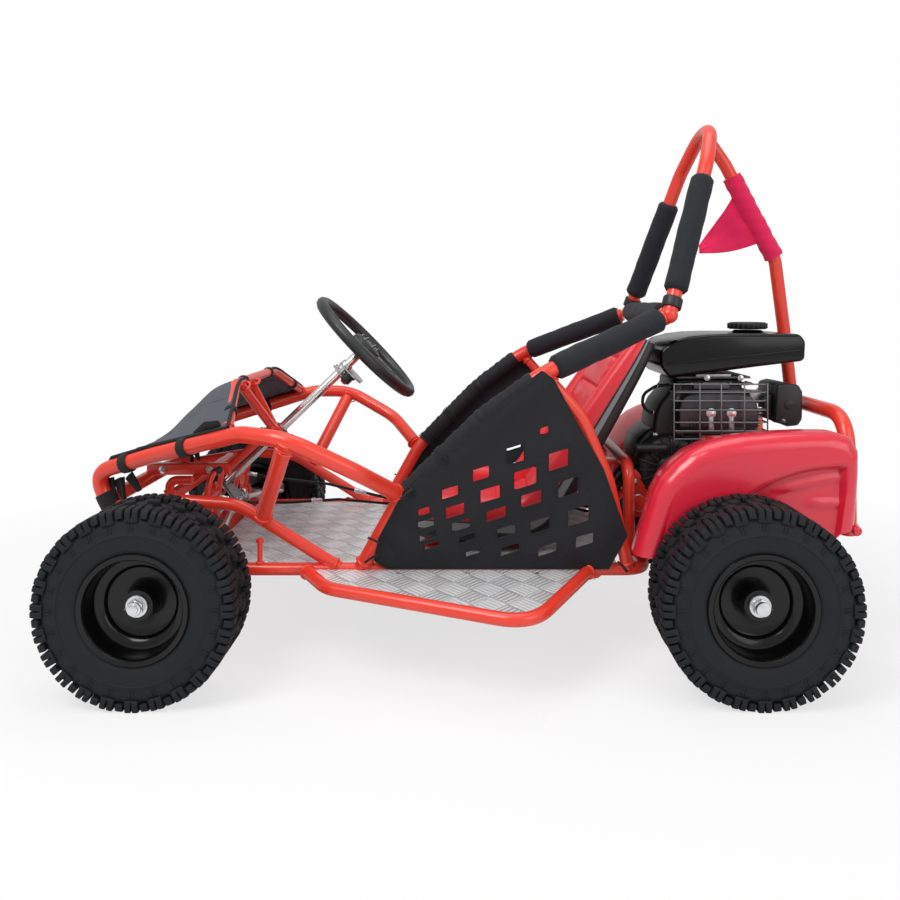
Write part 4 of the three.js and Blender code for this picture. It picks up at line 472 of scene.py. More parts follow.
class Finishes:
    """All finishes of the kart, each built once."""

    def __init__(self) -> None:
        """Builds every material."""
        self.frame = Paint("frame_paint", (0.86, 0.048, 0.024), 0.26, 0.25).build()
        self.fender = Moulded("fender_plastic", (0.80, 0.020, 0.050), 0.22, 700.0, 0.00005, 0.45).build()
        self.tread_plate = TreadPlate("tread_plate", (0.93, 0.94, 0.96)).build()
        self.black_vinyl = Vinyl("black_vinyl", (0.010, 0.010, 0.012), 0.45).build()
        self.grey_piping = Vinyl("grey_piping", (0.26, 0.285, 0.29), 0.45).build()
        self.red_vinyl = Vinyl("red_vinyl", (0.86, 0.030, 0.045), 0.34).build()
        self.foam = Cloth("foam_sleeve", (0.0065, 0.0075, 0.012), 0.0014, 0.0003, 0.05).build()
        self.net = Cloth("net_fabric", (0.004, 0.0045, 0.0075), 0.0012, 0.0003, 0.03, 0.8).build()
        self.cover = Cloth("cover_fabric", (0.062, 0.068, 0.082), 0.0012, 0.0003, 0.07).build()
        self.strap = Cloth("strap_webbing", (0.006, 0.006, 0.0075), 0.002, 0.0005, 0.05).build()
        self.flag = Cloth("flag_cloth", (0.66, 0.006, 0.075), 0.0012, 0.0002, 0.1).build()
        self.chrome = Metal("chrome", (0.82, 0.80, 0.79), 0.12, (1.0, 1.0, 3.0), 0.12).build()
        self.zinc = Metal("zinc", (0.72, 0.73, 0.74), 0.3).build()
        self.steel = Metal("dark_steel", (0.22, 0.22, 0.23), 0.4).build()
        self.cast = Metal("cast_iron", (0.16, 0.16, 0.17), 0.55, (1.0, 1.0, 1.0), 0.5).build()
        self.engine = Paint("engine_black", (0.006, 0.006, 0.007), 0.4, 0.1, 0.35).build()
        self.gloss_black = Paint("gloss_black", (0.0030, 0.0030, 0.0035), 0.16, 0.16, 0.26).build()
        self.heat_shield = Metal("heat_shield", (0.075, 0.075, 0.08), 0.42).build()
        self.alloy = Metal("engine_alloy", (0.42, 0.42, 0.43), 0.42, (1.0, 1.0, 1.0), 0.4).build()
        self.plastic = Moulded("black_plastic", (0.009, 0.009, 0.010), 0.42).build()
        self.grip = Moulded("wheel_grip", (0.016, 0.018, 0.019), 0.38, 500.0, 0.0001).build()
        self.tyre = Rubber("tyre_rubber", (0.0095, 0.0105, 0.0125)).build()
        self.cable = Rubber("cable_sheath", (0.006, 0.006, 0.007), 0.4, 0.1).build()
        self.red_button = Moulded("stop_red", (0.55, 0.02, 0.02), 0.3).build()
        self.brass = Metal("brass", (0.62, 0.42, 0.15), 0.3).build()


# ---- Mesh making


def frames_along(stations: Sequence[Vector]) -> list[Matrix]:
    """Frames that follow a route with the least twist.

    Args:
        stations: The route's points.

    Returns:
        One matrix for each station, with local Z along the route.
    """
    result = []
    last = len(stations) - 1
    turn = None
    for i, station in enumerate(stations):
        heading = (stations[min(i + 1, last)] - stations[max(i - 1, 0)]).normalized()
        if turn is None:
            turn = Vector((0, 0, 1)).rotation_difference(heading)
        else:
            turn = (turn @ Vector((0, 0, 1))).rotation_difference(heading) @ turn
        result.append(Matrix.Translation(station) @ turn.to_matrix().to_4x4())
    return result


def bent(points: Sequence[Vector], bend: float, steps: int = 9) -> list[Vector]:
    """A route with rounded corners.

    Args:
        points: The corners, in metres.
        bend: The bend radius, in metres.
        steps: How many steps each bend has.

    Returns:
        The stations of the route.
    """
    stations = [points[0].copy()]
    for i in range(1, len(points) - 1):
        back = points[i - 1] - points[i]
        ahead = points[i + 1] - points[i]
        turn = math.pi - back.angle(ahead)
        reach = min(bend * math.tan(turn / 2), back.length / 2, ahead.length / 2)
        start = points[i] + back.normalized() * reach
        end = points[i] + ahead.normalized() * reach
        for step in range(steps + 1):
            share = step / steps
            near = start.lerp(points[i], share)
            point = near.lerp(points[i].lerp(end, share), share)
            if (point - stations[-1]).length > 1e-4:
                stations.append(point)
    if (points[-1] - stations[-1]).length > 1e-4:
        stations.append(points[-1].copy())
    return stations


def tidy_normals(part: bmesh.types.BMesh) -> bmesh.types.BMesh:
    """Merges doubles and points all faces outwards."""
    bmesh.ops.remove_doubles(part, verts=part.verts, dist=1e-6)
    bmesh.ops.recalc_face_normals(part, faces=part.faces)
    return part


def soften(part: bmesh.types.BMesh, width: float, segments: int = 2, angle: float = 30.0) -> bmesh.types.BMesh:
    """Bevels the sharp edges of a shape.

    Args:
        part: The shape.
        width: The bevel's width, in metres.
        segments: The bevel's steps.
        angle: Angle above which an edge is bevelled, in degrees.

    Returns:
        The same shape.
    """
    limit = math.radians(angle)
    edges = [e for e in part.edges if len(e.link_faces) == 2 and e.calc_face_angle() > limit]
    if width > 0 and edges:
        bmesh.ops.bevel(part, geom=edges, offset=width, offset_type="OFFSET", segments=segments, profile=0.5,
            affect="EDGES", material=-1, clamp_overlap=True)
    return part


def swept(
    stations: Sequence[Vector], radii: float | Sequence[float], segments: int = 20, flat: float = 1.0,
    outline: Sequence[Pair] | None = None,
) -> bmesh.types.BMesh:
    """A round, oval or given section drawn along a route, with closed ends.

    Args:
        stations: The route.
        radii: One radius or scale, or one for each station.
        segments: Sides of a round section.
        flat: Height of the section as a share of its width.
        outline: Points of another section.

    Returns:
        The closed shape.
    """
    part = bmesh.new()
    sizes = [radii] * len(stations) if isinstance(radii, (int, float)) else list(radii)
    places = [m @ Matrix.Diagonal((r, r * flat, 1, 1)) for m, r in zip(frames_along(stations), sizes, strict=True)]
    if outline:
        verts = [part.verts.new(places[0] @ Vector((x, y, 0))) for x, y in outline]
        face = part.faces.new(verts)
        ring = list(face.edges)
    else:
        verts = bmesh.ops.create_circle(part, cap_ends=False, segments=segments, radius=1.0,
            matrix=places[0])["verts"]
        ring = list({edge for vert in verts for edge in vert.link_edges})
        bmesh.ops.contextual_create(part, geom=ring)
    for before, after in zip(places, places[1:], strict=False):
        grown = bmesh.ops.extrude_edge_only(part, edges=ring)["geom"]
        ring = [item for item in grown if isinstance(item, bmesh.types.BMEdge)]
        verts = [item for item in grown if isinstance(item, bmesh.types.BMVert)]
        bmesh.ops.transform(part, matrix=after @ before.inverted(), verts=verts)
    bmesh.ops.contextual_create(part, geom=ring)
    return tidy_normals(part)


def rod(a: Vector, b: Vector, radius: float, segments: int, edge: float) -> bmesh.types.BMesh:
    """A round bar between two points, with its rims softened."""
    part = bmesh.new()
    turn = Vector((0, 0, 1)).rotation_difference(b - a).to_matrix().to_4x4()
    bmesh.ops.create_cone(part, cap_ends=True, segments=segments, radius1=radius, radius2=radius,
        depth=(b - a).length, matrix=Matrix.Translation((a + b) / 2) @ turn)
    return soften(part, edge, 2, 50)


def block(low: Vector, high: Vector, edge: float, segments: int = 2) -> bmesh.types.BMesh:
    """A box between two corners, in any order, with softened edges."""
    part = bmesh.new()
    sizes = Matrix.Diagonal((*[abs(size) for size in high - low], 1))
    bmesh.ops.create_cube(part, size=1.0, matrix=Matrix.Translation((low + high) / 2) @ sizes)
    return soften(part, edge, segments)


def lathe(profile: Sequence[Pair], centre: Vector, axis: Vector, steps: int = 48, closed: bool = False,
          edge: float = 0.0) -> bmesh.types.BMesh:
    """A profile of radius and distance turned about an axis.

    Args:
        profile: Pairs of radius and distance along the axis, in metres.
        centre: Where distance is zero.
        axis: The axis.
        steps: Steps of the full turn.
        closed: Whether the profile is a closed loop.
        edge: Width of the softened edges.

    Returns:
        The turned shape.
    """
    part = bmesh.new()
    verts = [part.verts.new((radius, 0.0, along)) for radius, along in profile]
    edges = [part.edges.new(pair) for pair in zip(verts, verts[1:], strict=False)]
    if closed:
        edges.append(part.edges.new((verts[-1], verts[0])))
    bmesh.ops.spin(part, geom=verts + edges, cent=(0, 0, 0), axis=(0, 0, 1), dvec=(0, 0, 0), angle=math.tau,
        steps=steps, use_merge=True, use_normal_flip=False, use_duplicate=False)
    turn = Vector((0, 0, 1)).rotation_difference(axis).to_matrix().to_4x4()
    bmesh.ops.transform(part, matrix=Matrix.Translation(centre) @ turn, verts=part.verts)
    return soften(tidy_normals(part), edge, 2, 40)


def plate(outline: Sequence[Vector], depth: Vector, edge: float = 0.001, segments: int = 2) -> bmesh.types.BMesh:
    """A flat outline given a depth, with softened edges."""
    part = bmesh.new()
    face = part.faces.new([part.verts.new(point) for point in outline])
    grown = bmesh.ops.extrude_face_region(part, geom=[face])["geom"]
    bmesh.ops.translate(part, vec=depth, verts=[v for v in grown if isinstance(v, bmesh.types.BMVert)])
    return soften(tidy_normals(part), edge, segments)


def patch(columns: int, rows: int, place: Callable[[float, float], Vector],
          thickness: float = 0.0) -> bmesh.types.BMesh:
    """A grid bent into a surface.

    Args:
        columns: Cells across.
        rows: Cells along.
        place: Gives the point for two shares from 0 to 1.
        thickness: Thickness of the wall, or 0 for a bare surface.

    Returns:
        The shape.
    """
    part = bmesh.new()
    bmesh.ops.create_grid(part, x_segments=columns, y_segments=rows, size=0.5)
    for vert in part.verts:
        vert.co = place(vert.co.x + 0.5, vert.co.y + 0.5)
    if thickness:
        bmesh.ops.recalc_face_normals(part, faces=part.faces)
        bmesh.ops.solidify(part, geom=list(part.faces), thickness=thickness)
        bmesh.ops.recalc_face_normals(part, faces=part.faces)
    return part


def ring(centre: Vector, axis: Vector, radius: float, thickness: float, steps: int = 36) -> bmesh.types.BMesh:
    """A round ring of round wire."""
    profile = [(radius + thickness * math.cos(a), thickness * math.sin(a))
        for a in (i * math.tau / 10 for i in range(10))]
    return lathe(profile, centre, axis, steps, closed=True)


def pour(source: bmesh.types.BMesh, target: bmesh.types.BMesh) -> None:
    """Moves a shape into another, and frees it."""
    carrier = bpy.data.meshes.new("carrier")
    source.to_mesh(carrier)
    source.free()
    target.from_mesh(carrier)
    bpy.data.meshes.remove(carrier)


class Form:
    """One piece in the making: shapes gathered with their finishes."""

    def __init__(self, name: str, datum: Datum | None = None, finishes: Finishes | None = None) -> None:
        """Starts an empty piece."""
        self.name, self.datum, self.finishes = name, datum, finishes
        self.mesh = bmesh.new()
        self.materials: list[bpy.types.Material] = []

    def spot(self, place: Place) -> Vector:
        """A place in metres: a vector as it is, or three numbers in the datum's millimetres."""
        return place if isinstance(place, Vector) else self.datum.at(*place)

    def add(self, part: bmesh.types.BMesh, finish: str | bpy.types.Material) -> Form:
        """Adds a shape in a finish, and frees the shape."""
        material = getattr(self.finishes, finish) if isinstance(finish, str) else finish
        if material not in self.materials:
            self.materials.append(material)
        for face in part.faces:
            face.smooth = True
            face.material_index = self.materials.index(material)
        pour(part, self.mesh)
        return self

    def rod(self, finish: str, a: Place, b: Place, radius: float, segments: int = 28,
            edge: float = 0.8) -> Form:
        """Adds a round bar. Sizes are in millimetres here and in the methods below."""
        return self.add(rod(self.spot(a), self.spot(b), radius / 1000, segments, edge / 1000), finish)

    def block(self, finish: str, low: Place, high: Place, edge: float = 1.5,
              segments: int = 2) -> Form:
        """Adds a box, whose corners may come in any order."""
        return self.add(block(self.spot(low), self.spot(high), edge / 1000, segments), finish)

    def lathe(self, finish: str, profile: Sequence[Pair], centre: Place,
              axis: Place, steps: int = 48, closed: bool = False, edge: float = 0.0) -> Form:
        """Adds a turned shape."""
        scaled = [(across / 1000, along / 1000) for across, along in profile]
        return self.add(lathe(scaled, self.spot(centre), Vector(axis), steps, closed, edge / 1000), finish)

    def plate(self, finish: str, outline: Sequence[Place], depth: Place, edge: float = 1.0,
              segments: int = 2) -> Form:
        """Adds a flat outline with a depth."""
        depth = depth if isinstance(depth, Vector) else Vector(depth) / 1000
        return self.add(plate([self.spot(place) for place in outline], depth, edge / 1000, segments), finish)

    def side(self, finish: str, outline: Sequence[Pair], low: float, high: float, edge: float,
             segments: int = 3) -> Form:
        """Adds a side outline of X and Z, with its depth along Y."""
        return self.plate(finish, [(x, low, z) for x, z in outline], (0, high - low, 0), edge, segments)

    def swept(self, finish: str, stations: Sequence[Vector], radii: float | Sequence[float], segments: int = 20,
              flat: float = 1.0) -> Form:
        """Adds a round section drawn along a route, with one radius or one for each station."""
        sizes = [radii] * len(stations) if isinstance(radii, (int, float)) else radii
        return self.add(swept(stations, [size / 1000 for size in sizes], segments, flat), finish)

    def ring(self, finish: str, centre: Place, axis: Place, radius: float, thickness: float,
             steps: int = 36) -> Form:
        """Adds a ring of round wire."""
        return self.add(ring(self.spot(centre), Vector(axis), radius / 1000, thickness / 1000, steps), finish)

    def bolt(self, centre: Place, axis: Place, radius: float, finish: str = "zinc") -> Form:
        """Adds a hexagon head on its washer, standing on centre."""
        way, centre = Vector(axis).normalized() / 1000, self.spot(centre)
        self.rod(finish, centre - way * 2, centre + way * 1.6, radius * 1.35, 20, 0.4)
        self.rod(finish, centre + way, centre + way * (1 + radius), radius, 6, 0.6)
        return self.rod(finish, centre + way * radius, centre + way * (3 + radius * 1.2), radius * 0.45, 12, 0.3)

    def make(self, sharp: float = 38.0) -> bpy.types.Object:
        """Ends the piece as an object in the scene, with edges sharp above an angle."""
        data = bpy.data.meshes.new(self.name)
        self.mesh.to_mesh(data)
        self.mesh.free()
        for material in self.materials:
            data.materials.append(material)
        data.set_sharp_from_angle(angle=math.radians(sharp))
        made = bpy.data.objects.new(self.name, data)
        bpy.context.scene.collection.objects.link(made)
        return made


@dataclass
class SubAssembly:
    """What every sub-assembly shares. All its fields and the sizes in its calls are in millimetres."""

    datum: Datum
    finishes: Finishes
    nodes: dict[str, bpy.types.Object]

    def form(self, name: str) -> Form:
        """Starts a piece."""
        return Form(name, self.datum, self.finishes)

    def keep(self, form: Form, body: str, slot: str, *nodes: str, sharp: float = 38.0) -> bpy.types.Object:
        """Ends a piece, and ties it to its body.

        Args:
            form: The piece in the making.
            body: The body that it rides on.
            slot: The record's material slot; not used.
            nodes: CAD nodes that it stands for.
            sharp: Angle above which an edge stays sharp, in degrees.

        Returns:
            The piece.
        """
        made = form.make(sharp)
        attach(made, body)
        if nodes:
            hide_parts(*nodes)
        LOG.info("%s: %d faces on %s", made.name, len(made.data.polygons), body)
        return made


def curved_z(y: float) -> float:
    """Height of the side bar's plane at a distance from the middle, in millimetres."""
    return 163 - (abs(y) - 256) * 0.098


def lean(z: float) -> float:
    """Distance of the leaning side plane from the middle at a height, in millimetres."""
    return 256 + (z - 163) * 0.156


def around(count: int, radius: float = 1.0, start: float = 0.0) -> list[Pair]:
    """Places evenly round a circle, from an angle in degrees."""
    turns = [math.radians(start + 360 / count * i) for i in range(count)]
    return [(radius * math.cos(turn), radius * math.sin(turn)) for turn in turns]


@dataclass
class Run:
    """One bent tube: its corners and sizes in millimetres."""

    points: list[Point]
    diameter: float
    bend: float = 90.0
    both: bool = False

    def shape(self, datum: Datum, side: Side = Side.LEFT, segments: int = 24) -> bmesh.types.BMesh:
        """The tube's mesh on one side."""
        stations = bent(datum.row(self.points, side), self.bend / 1000)
        return swept(stations, self.diameter / 2000, segments)


@dataclass
class Chassis(SubAssembly):
    """The welded tube frame, its hoops and bumpers."""

    hoop: float = 28.0
    rail: float = 22.0
    dash: float = 18.0
    beam_z: float = 156.05
    deck_top: float = 239.0
    bead: float = 2.6
    slot: str = "frame_paint"

    def weld(self, form: Form, place: Point, way: Point, diameter: float, side: Side = Side.LEFT) -> None:
        """Adds a weld bead round a tube's end.

        Args:
            form: The piece.
            place: The bead's middle, in millimetres.
            way: The tube's direction.
            diameter: The tube's diameter.
            side: The side of the kart.
        """
        form.ring("frame", side.flip(place), side.flip(way), diameter / 2 + 0.4, self.bead, 28)

    def runs(self, name: str, *runs: Run, side: Side | None = None) -> Form:
        """A piece of several tubes, on one side or as each run says.

        Args:
            name: The piece's name.
            runs: The tubes.
            side: The side of all tubes, where there is only one.

        Returns:
            The piece in the making.
        """
        form = self.form(name)
        for run in runs:
            for each in [side] if side else Side if run.both else [Side.LEFT]:
                form.add(run.shape(self.datum, each), "frame")
        return form

    def side_frame(self, side: Side) -> None:
        """The arched top tube with its strut, diagonal and post."""
        share = (610 - 487.5) / 140
        y_post, z_post = 222 + share * 34, 262 + share * 21
        form = self.runs(
            f"side_frame_{side.word}_tubes",
            Run([(605, 222, 252), (640, 222, 326), (515, 272, 366), (344, 360, 415), (261, 396, 411),
                (150, 365, 352), (90, lean(294) + 3, 299)], self.hoop),
            Run([(608, 222, 264), (470, 256, 283), (372, 256, 276), (331, 256, 250), (196, 256, 166)], self.rail),
            Run([(331, 256, 252), (261, 396, 409)], self.hoop),
            Run([(487.5, y_post, 184.6), (487.5, y_post, z_post)], self.rail),
            side=side,
        )
        self.weld(form, (266, 386, 400), (-70, 140, 159), self.hoop, side)
        self.weld(form, (327, 264, 260), (-70, 140, 159), self.hoop, side)
        self.weld(form, (203, 256, 170), (138, 0, 87), self.rail, side)
        self.weld(form, (487.5, y_post, z_post - 12), (0, 0, 1), self.rail, side)
        self.weld(form, (96, lean(297) + 7, 302), (66, 85, 55), self.hoop, side)
        self.keep(form, "chassis", self.slot, f"side_frame_{side.word}")

    def side_hoop(self, side: Side) -> None:
        """The side hoop with its rear strut."""
        hoop = Run([(156, 256, 165), (84, lean(294), 294), (-55, lean(434), 434), (-159, lean(511), 511),
            (-382, 211, 603)], self.hoop, 135)
        strut = Run([(-160, lean(509), 509), (-227, lean(434), 434), (-273, lean(325), 325), (-311, 256, 166)],
            self.rail, 135)
        form = self.runs(f"side_hoop_{side.word}_tubes", hoop, strut, side=side)
        self.weld(form, (151, 257, 175), (-72, 20, 130), self.hoop, side)
        self.weld(form, (-174, lean(495), 494), (-67, -10, -77), self.rail, side)
        self.weld(form, (-309, 257, 174), (38, 10, 160), self.rail, side)
        self.weld(form, (-376, 214, 600), (-237, -105, 98), self.hoop, side)
        self.keep(form, "chassis", self.slot, f"side_hoop_{side.word}")

    def roll_hoop(self) -> None:
        """The roll hoop, its cross tube, clamps and the stay."""
        leg = [(-396, 205, 609), (-490, 110, 905), (-515, 44, 977)]
        arch = leg + [(x, -y, z) for x, y, z in reversed(leg)]
        stay = [(-515, 0, 972), (-556, 0, 912), (-662, -13.5, 722), (-686, -27, 570), (-700, -27, 444.6)]
        form = self.runs(
            "roll_hoop_tubes",
            Run(arch, self.hoop, 90),
            Run([(-396, 203, 609), (-396, -203, 609)], self.hoop),
            Run(stay, 26, 90),
        )
        for side in Side:
            foot = Vector((-396, 205, 609))
            way = (Vector((-490, 110, 905)) - foot).normalized()
            low, high = (foot + way * along for along in (13, 33))
            form.rod("plastic", side.flip(low), side.flip(high), 18.2, 28, 1.5)
            knuckle = bmesh.new()
            place = Matrix.Translation(self.datum.at(*side.flip(foot)))
            bmesh.ops.create_uvsphere(knuckle, u_segments=24, v_segments=16, radius=0.0158, matrix=place)
            form.add(knuckle, "frame")
            self.weld(form, (-396, 188, 609), (0, 1, 0), self.hoop, side)
        self.weld(form, (-523, 0, 961), (41, 0, 58), 26)
        self.weld(form, (-699.5, -27, 446), (14, 0, 126), 26)
        self.keep(form, "chassis", self.slot, "roll_hoop")

    def dash_hoop(self) -> None:
        """The dash hoop, its left braces and the column bush."""
        bush = self.datum.at(361, 0, 363.3)
        way = Vector(COLUMN_WAY)
        form = self.runs(
            "dash_hoop_tubes",
            Run([(369.5, 343, 416), (401, 165, 480), (401, -165, 480), (369.5, -343, 416)], self.dash, 30),
            Run([(401, 140, 480), (361, 12, 372)], self.dash),
            Run([(401, 62, 480), (361, 5, 372)], self.dash),
        )
        form.lathe("frame", [(9.4, -18), (16, -18), (16, 18), (9.4, 18)], bush, way, 32, True, 1)
        for end in (bush - way * 0.018, bush + way * 0.018):
            form.lathe("plastic", [(9.2, -1.5), (12.5, -1.5), (12.5, 1.5), (9.2, 1.5)], end, way, 28, True)
        for y in (140, 62):
            self.weld(form, (391, y - 6, 473), (32, y, 108), self.dash)
        for side in Side:
            self.weld(form, (372, 328, 421), (23.5, -178, 64), self.dash, side)
        self.keep(form, "chassis", self.slot, "dash_hoop")

    def front_subframe(self) -> None:
        """The cross members behind the nose, the bolted channel and the hook."""
        z, y = 276.7, 245.8
        form = self.runs(
            "front_subframe_tubes",
            Run([(616.6, 208, 276), (616.6, -208, 276)], self.hoop),
            Run([(512, y - 11.5, z), (512, 11.5 - y, z)], self.rail),
            Run([(512, 200, z), (512, 200, 308), (471, 200, 308)], 16, 30),
            Run([(455, 26, 295), (362, 26, 379), (362, 14, 379)], 16, 30),
        )
        low = z + 9
        form.block("frame", (446, 14, low), (612, 38, low + 22), 1.8)
        for x in (468, 486, 580):
            form.bolt((x, 38, low + 11), (0, 1, 0), 5.5)
        for side in Side:
            self.weld(form, (616.6, 206, 276), (0, 1, 0), self.hoop, side)
            self.weld(form, (512, y - 13, z), (0, 1, 0), self.rail, side)
        self.weld(form, (512, 200, z + 11), (0, 0, 1), 16)
        self.keep(form, "chassis", self.slot, "front_subframe")

    def rear_bumper(self) -> None:
        """The bumper loop behind the engine."""
        form = self.runs(
            "rear_bumper_tube",
            Run([(-702, 250, 222), (-700, 250, 431), (-700, -250, 431), (-702, -250, 222)], self.hoop, 70),
        )
        for side in Side:
            self.weld(form, (-702, 250, 238), (0.01, 0, 1), self.hoop, side)
        self.keep(form, "chassis", self.slot, "rear_bumper")

    def side_bar(self, side: Side) -> None:
        """The side bar round the step plate."""
        points = [(x, y, curved_z(y)) for x, y in ((251, 267), (206, 338), (-128, 470), (-241, 266))]
        form = self.runs(f"side_bar_{side.word}_tube", Run(points, self.rail, 66), side=side)
        self.weld(form, (249, 270, curved_z(270)), (-50, 82, -8), self.rail, side)
        self.weld(form, (-239, 270, curved_z(270)), (118, 214, -21), self.rail, side)
        self.keep(form, "chassis", self.slot, f"side_bar_{side.word}")

    def floor_frame(self) -> None:
        """The main rails, rear rails, front beam, pedal shaft, carriers and engine plate."""
        cross_z = 155.7
        form = self.runs(
            "floor_frame_tubes",
            Run([(469, 256, 163), (-345, 256, 163), (-345, -256, 163), (469, -256, 163)], self.rail, 45),
            *[Run([(x, 254, cross_z), (x, -254, cross_z)], 20) for x in (256, 0, -256)],
            Run([(-345, 200, 163), (-392, 200, 223), (-620, 200, 223), (-698, 243, 235)], self.rail, 45, both=True),
            Run([(-330, 165, 163), (-330, 165, 330), (-330, -165, 330), (-330, -165, 163)], self.rail, 45),
            Run([(-380, 198, 223), (-380, -198, 223)], self.rail),
            Run([(-580, 198, 223), (-580, -198, 223)], self.rail),
            Run([(335, 256, 163), (335, 256, 212)], 9),
        )
        half, slot_half = 28, 22
        top, low = self.beam_z + half, self.beam_z - half
        form.block("frame", (467.5, -264, low), (507.5, 264, top), 2.5)
        for side in Side:
            s = side.value
            for z0, z1 in ((self.beam_z + slot_half, top), (low, self.beam_z - slot_half)):
                form.block("frame", (467.5, 262 * s, z0), (507.5, 302 * s, z1), 1.8)
            form.block("frame", (454, 168.5 * s, 182), (478, 174.5 * s, 226), 2)
            form.bolt((466, 174.5 * s, 214), (0, s, 0), 6)
            form.block("frame", (-517.5, 195 * s, 150), (-457.5, 205 * s, 222), 2)
            form.lathe("frame", [(12.9, -12), (27, -12), (27, 12), (12.9, 12)], (-487.5, 200 * s, self.beam_z),
                (0, 1, 0), 40, True, 1.5)
            for dx, dz in around(4, 20.5, 45):
                form.bolt((dx - 487.5, 212 * s, self.beam_z + dz), (0, s, 0), 3.5)
            self.weld(form, (468, 256, 163), (1, 0, 0), self.rail, side)
            self.weld(form, (-347, 200, 166), (-47, 0, 60), self.rail, side)
            self.weld(form, (-330, 165, 174), (0, 0, 1), self.rail, side)
            for x in (256, 0, -256):
                self.weld(form, (x, 244, cross_z), (0, 1, 0), 20, side)
            for x in (-380, -580):
                self.weld(form, (x, 187, 223), (0, 1, 0), self.rail, side)
        form.rod("zinc", (466, -176, 214), (466, 176, 214), 5, 24)
        self.weld(form, (335, 256, 174), (0, 0, 1), 9)
        form.lathe("frame", [(0, 0), (7, 0), (7, 5), (0, 8.5)], (335, 256, 210), (0, 0, 1), 20)
        foot = (487.5, 0, 541 - (487.5 - 177) * math.tan(math.radians(44)))
        form.lathe("frame", [(9.4, -18), (16, -18), (16, 18), (9.4, 18)], foot, COLUMN_WAY, 32, True, 1)
        form.plate("frame", [(479.5, y, z) for y, z in ((-32, 180), (32, 180), (14, 236), (-14, 236))], (16, 0, 0),
            1.5)
        form.block("frame", (-591, -60, self.deck_top - 7), (-369, 128, self.deck_top), 2)
        for x in (-380, -572):
            for y in (-46, 114):
                form.bolt((x, y, self.deck_top), (0, 0, 1), 5.5)
        form.block("frame", (-577.5, 49, 182.4), (-569, 83, 226), 1.5)
        self.keep(form, "chassis", self.slot, "floor_frame")

    def build(self) -> None:
        """Builds the whole chassis."""
        self.floor_frame()
        for side in Side:
            self.side_frame(side)
            self.side_hoop(side)
            self.side_bar(side)
        self.roll_hoop()
        self.dash_hoop()
        self.front_subframe()
        self.rear_bumper()


@dataclass
class Plates(SubAssembly):
    """The bright floor and step plates, with their rivets."""

    top: float = 169.0
    rivet: float = 4.2
    pitch: float = 120.0

    def build(self) -> None:
        """Finishes the CAD plates and adds the rivets."""
        for name in ("floor_plate", "step_plate_left", "step_plate_right"):
            self.nodes[name].data.materials.clear()
            self.nodes[name].data.materials.append(self.finishes.tread_plate)
        form = self.form("plate_rivets")
        for side in Side:
            for i in range(6):
                x = -270 + i * self.pitch
                for y, z in ((232, self.top), (284, curved_z(284) + 3)):
                    if y > 256 and not -180 < x < 210:
                        continue
                    profile = [(0, 1.8), (2.4, 1.4), (self.rivet, 0), (0, -0.8)]
                    form.lathe("zinc", profile, (x, y * side.value, z), (0, 0, 1), 16)
        self.keep(form, "chassis", "zinc")


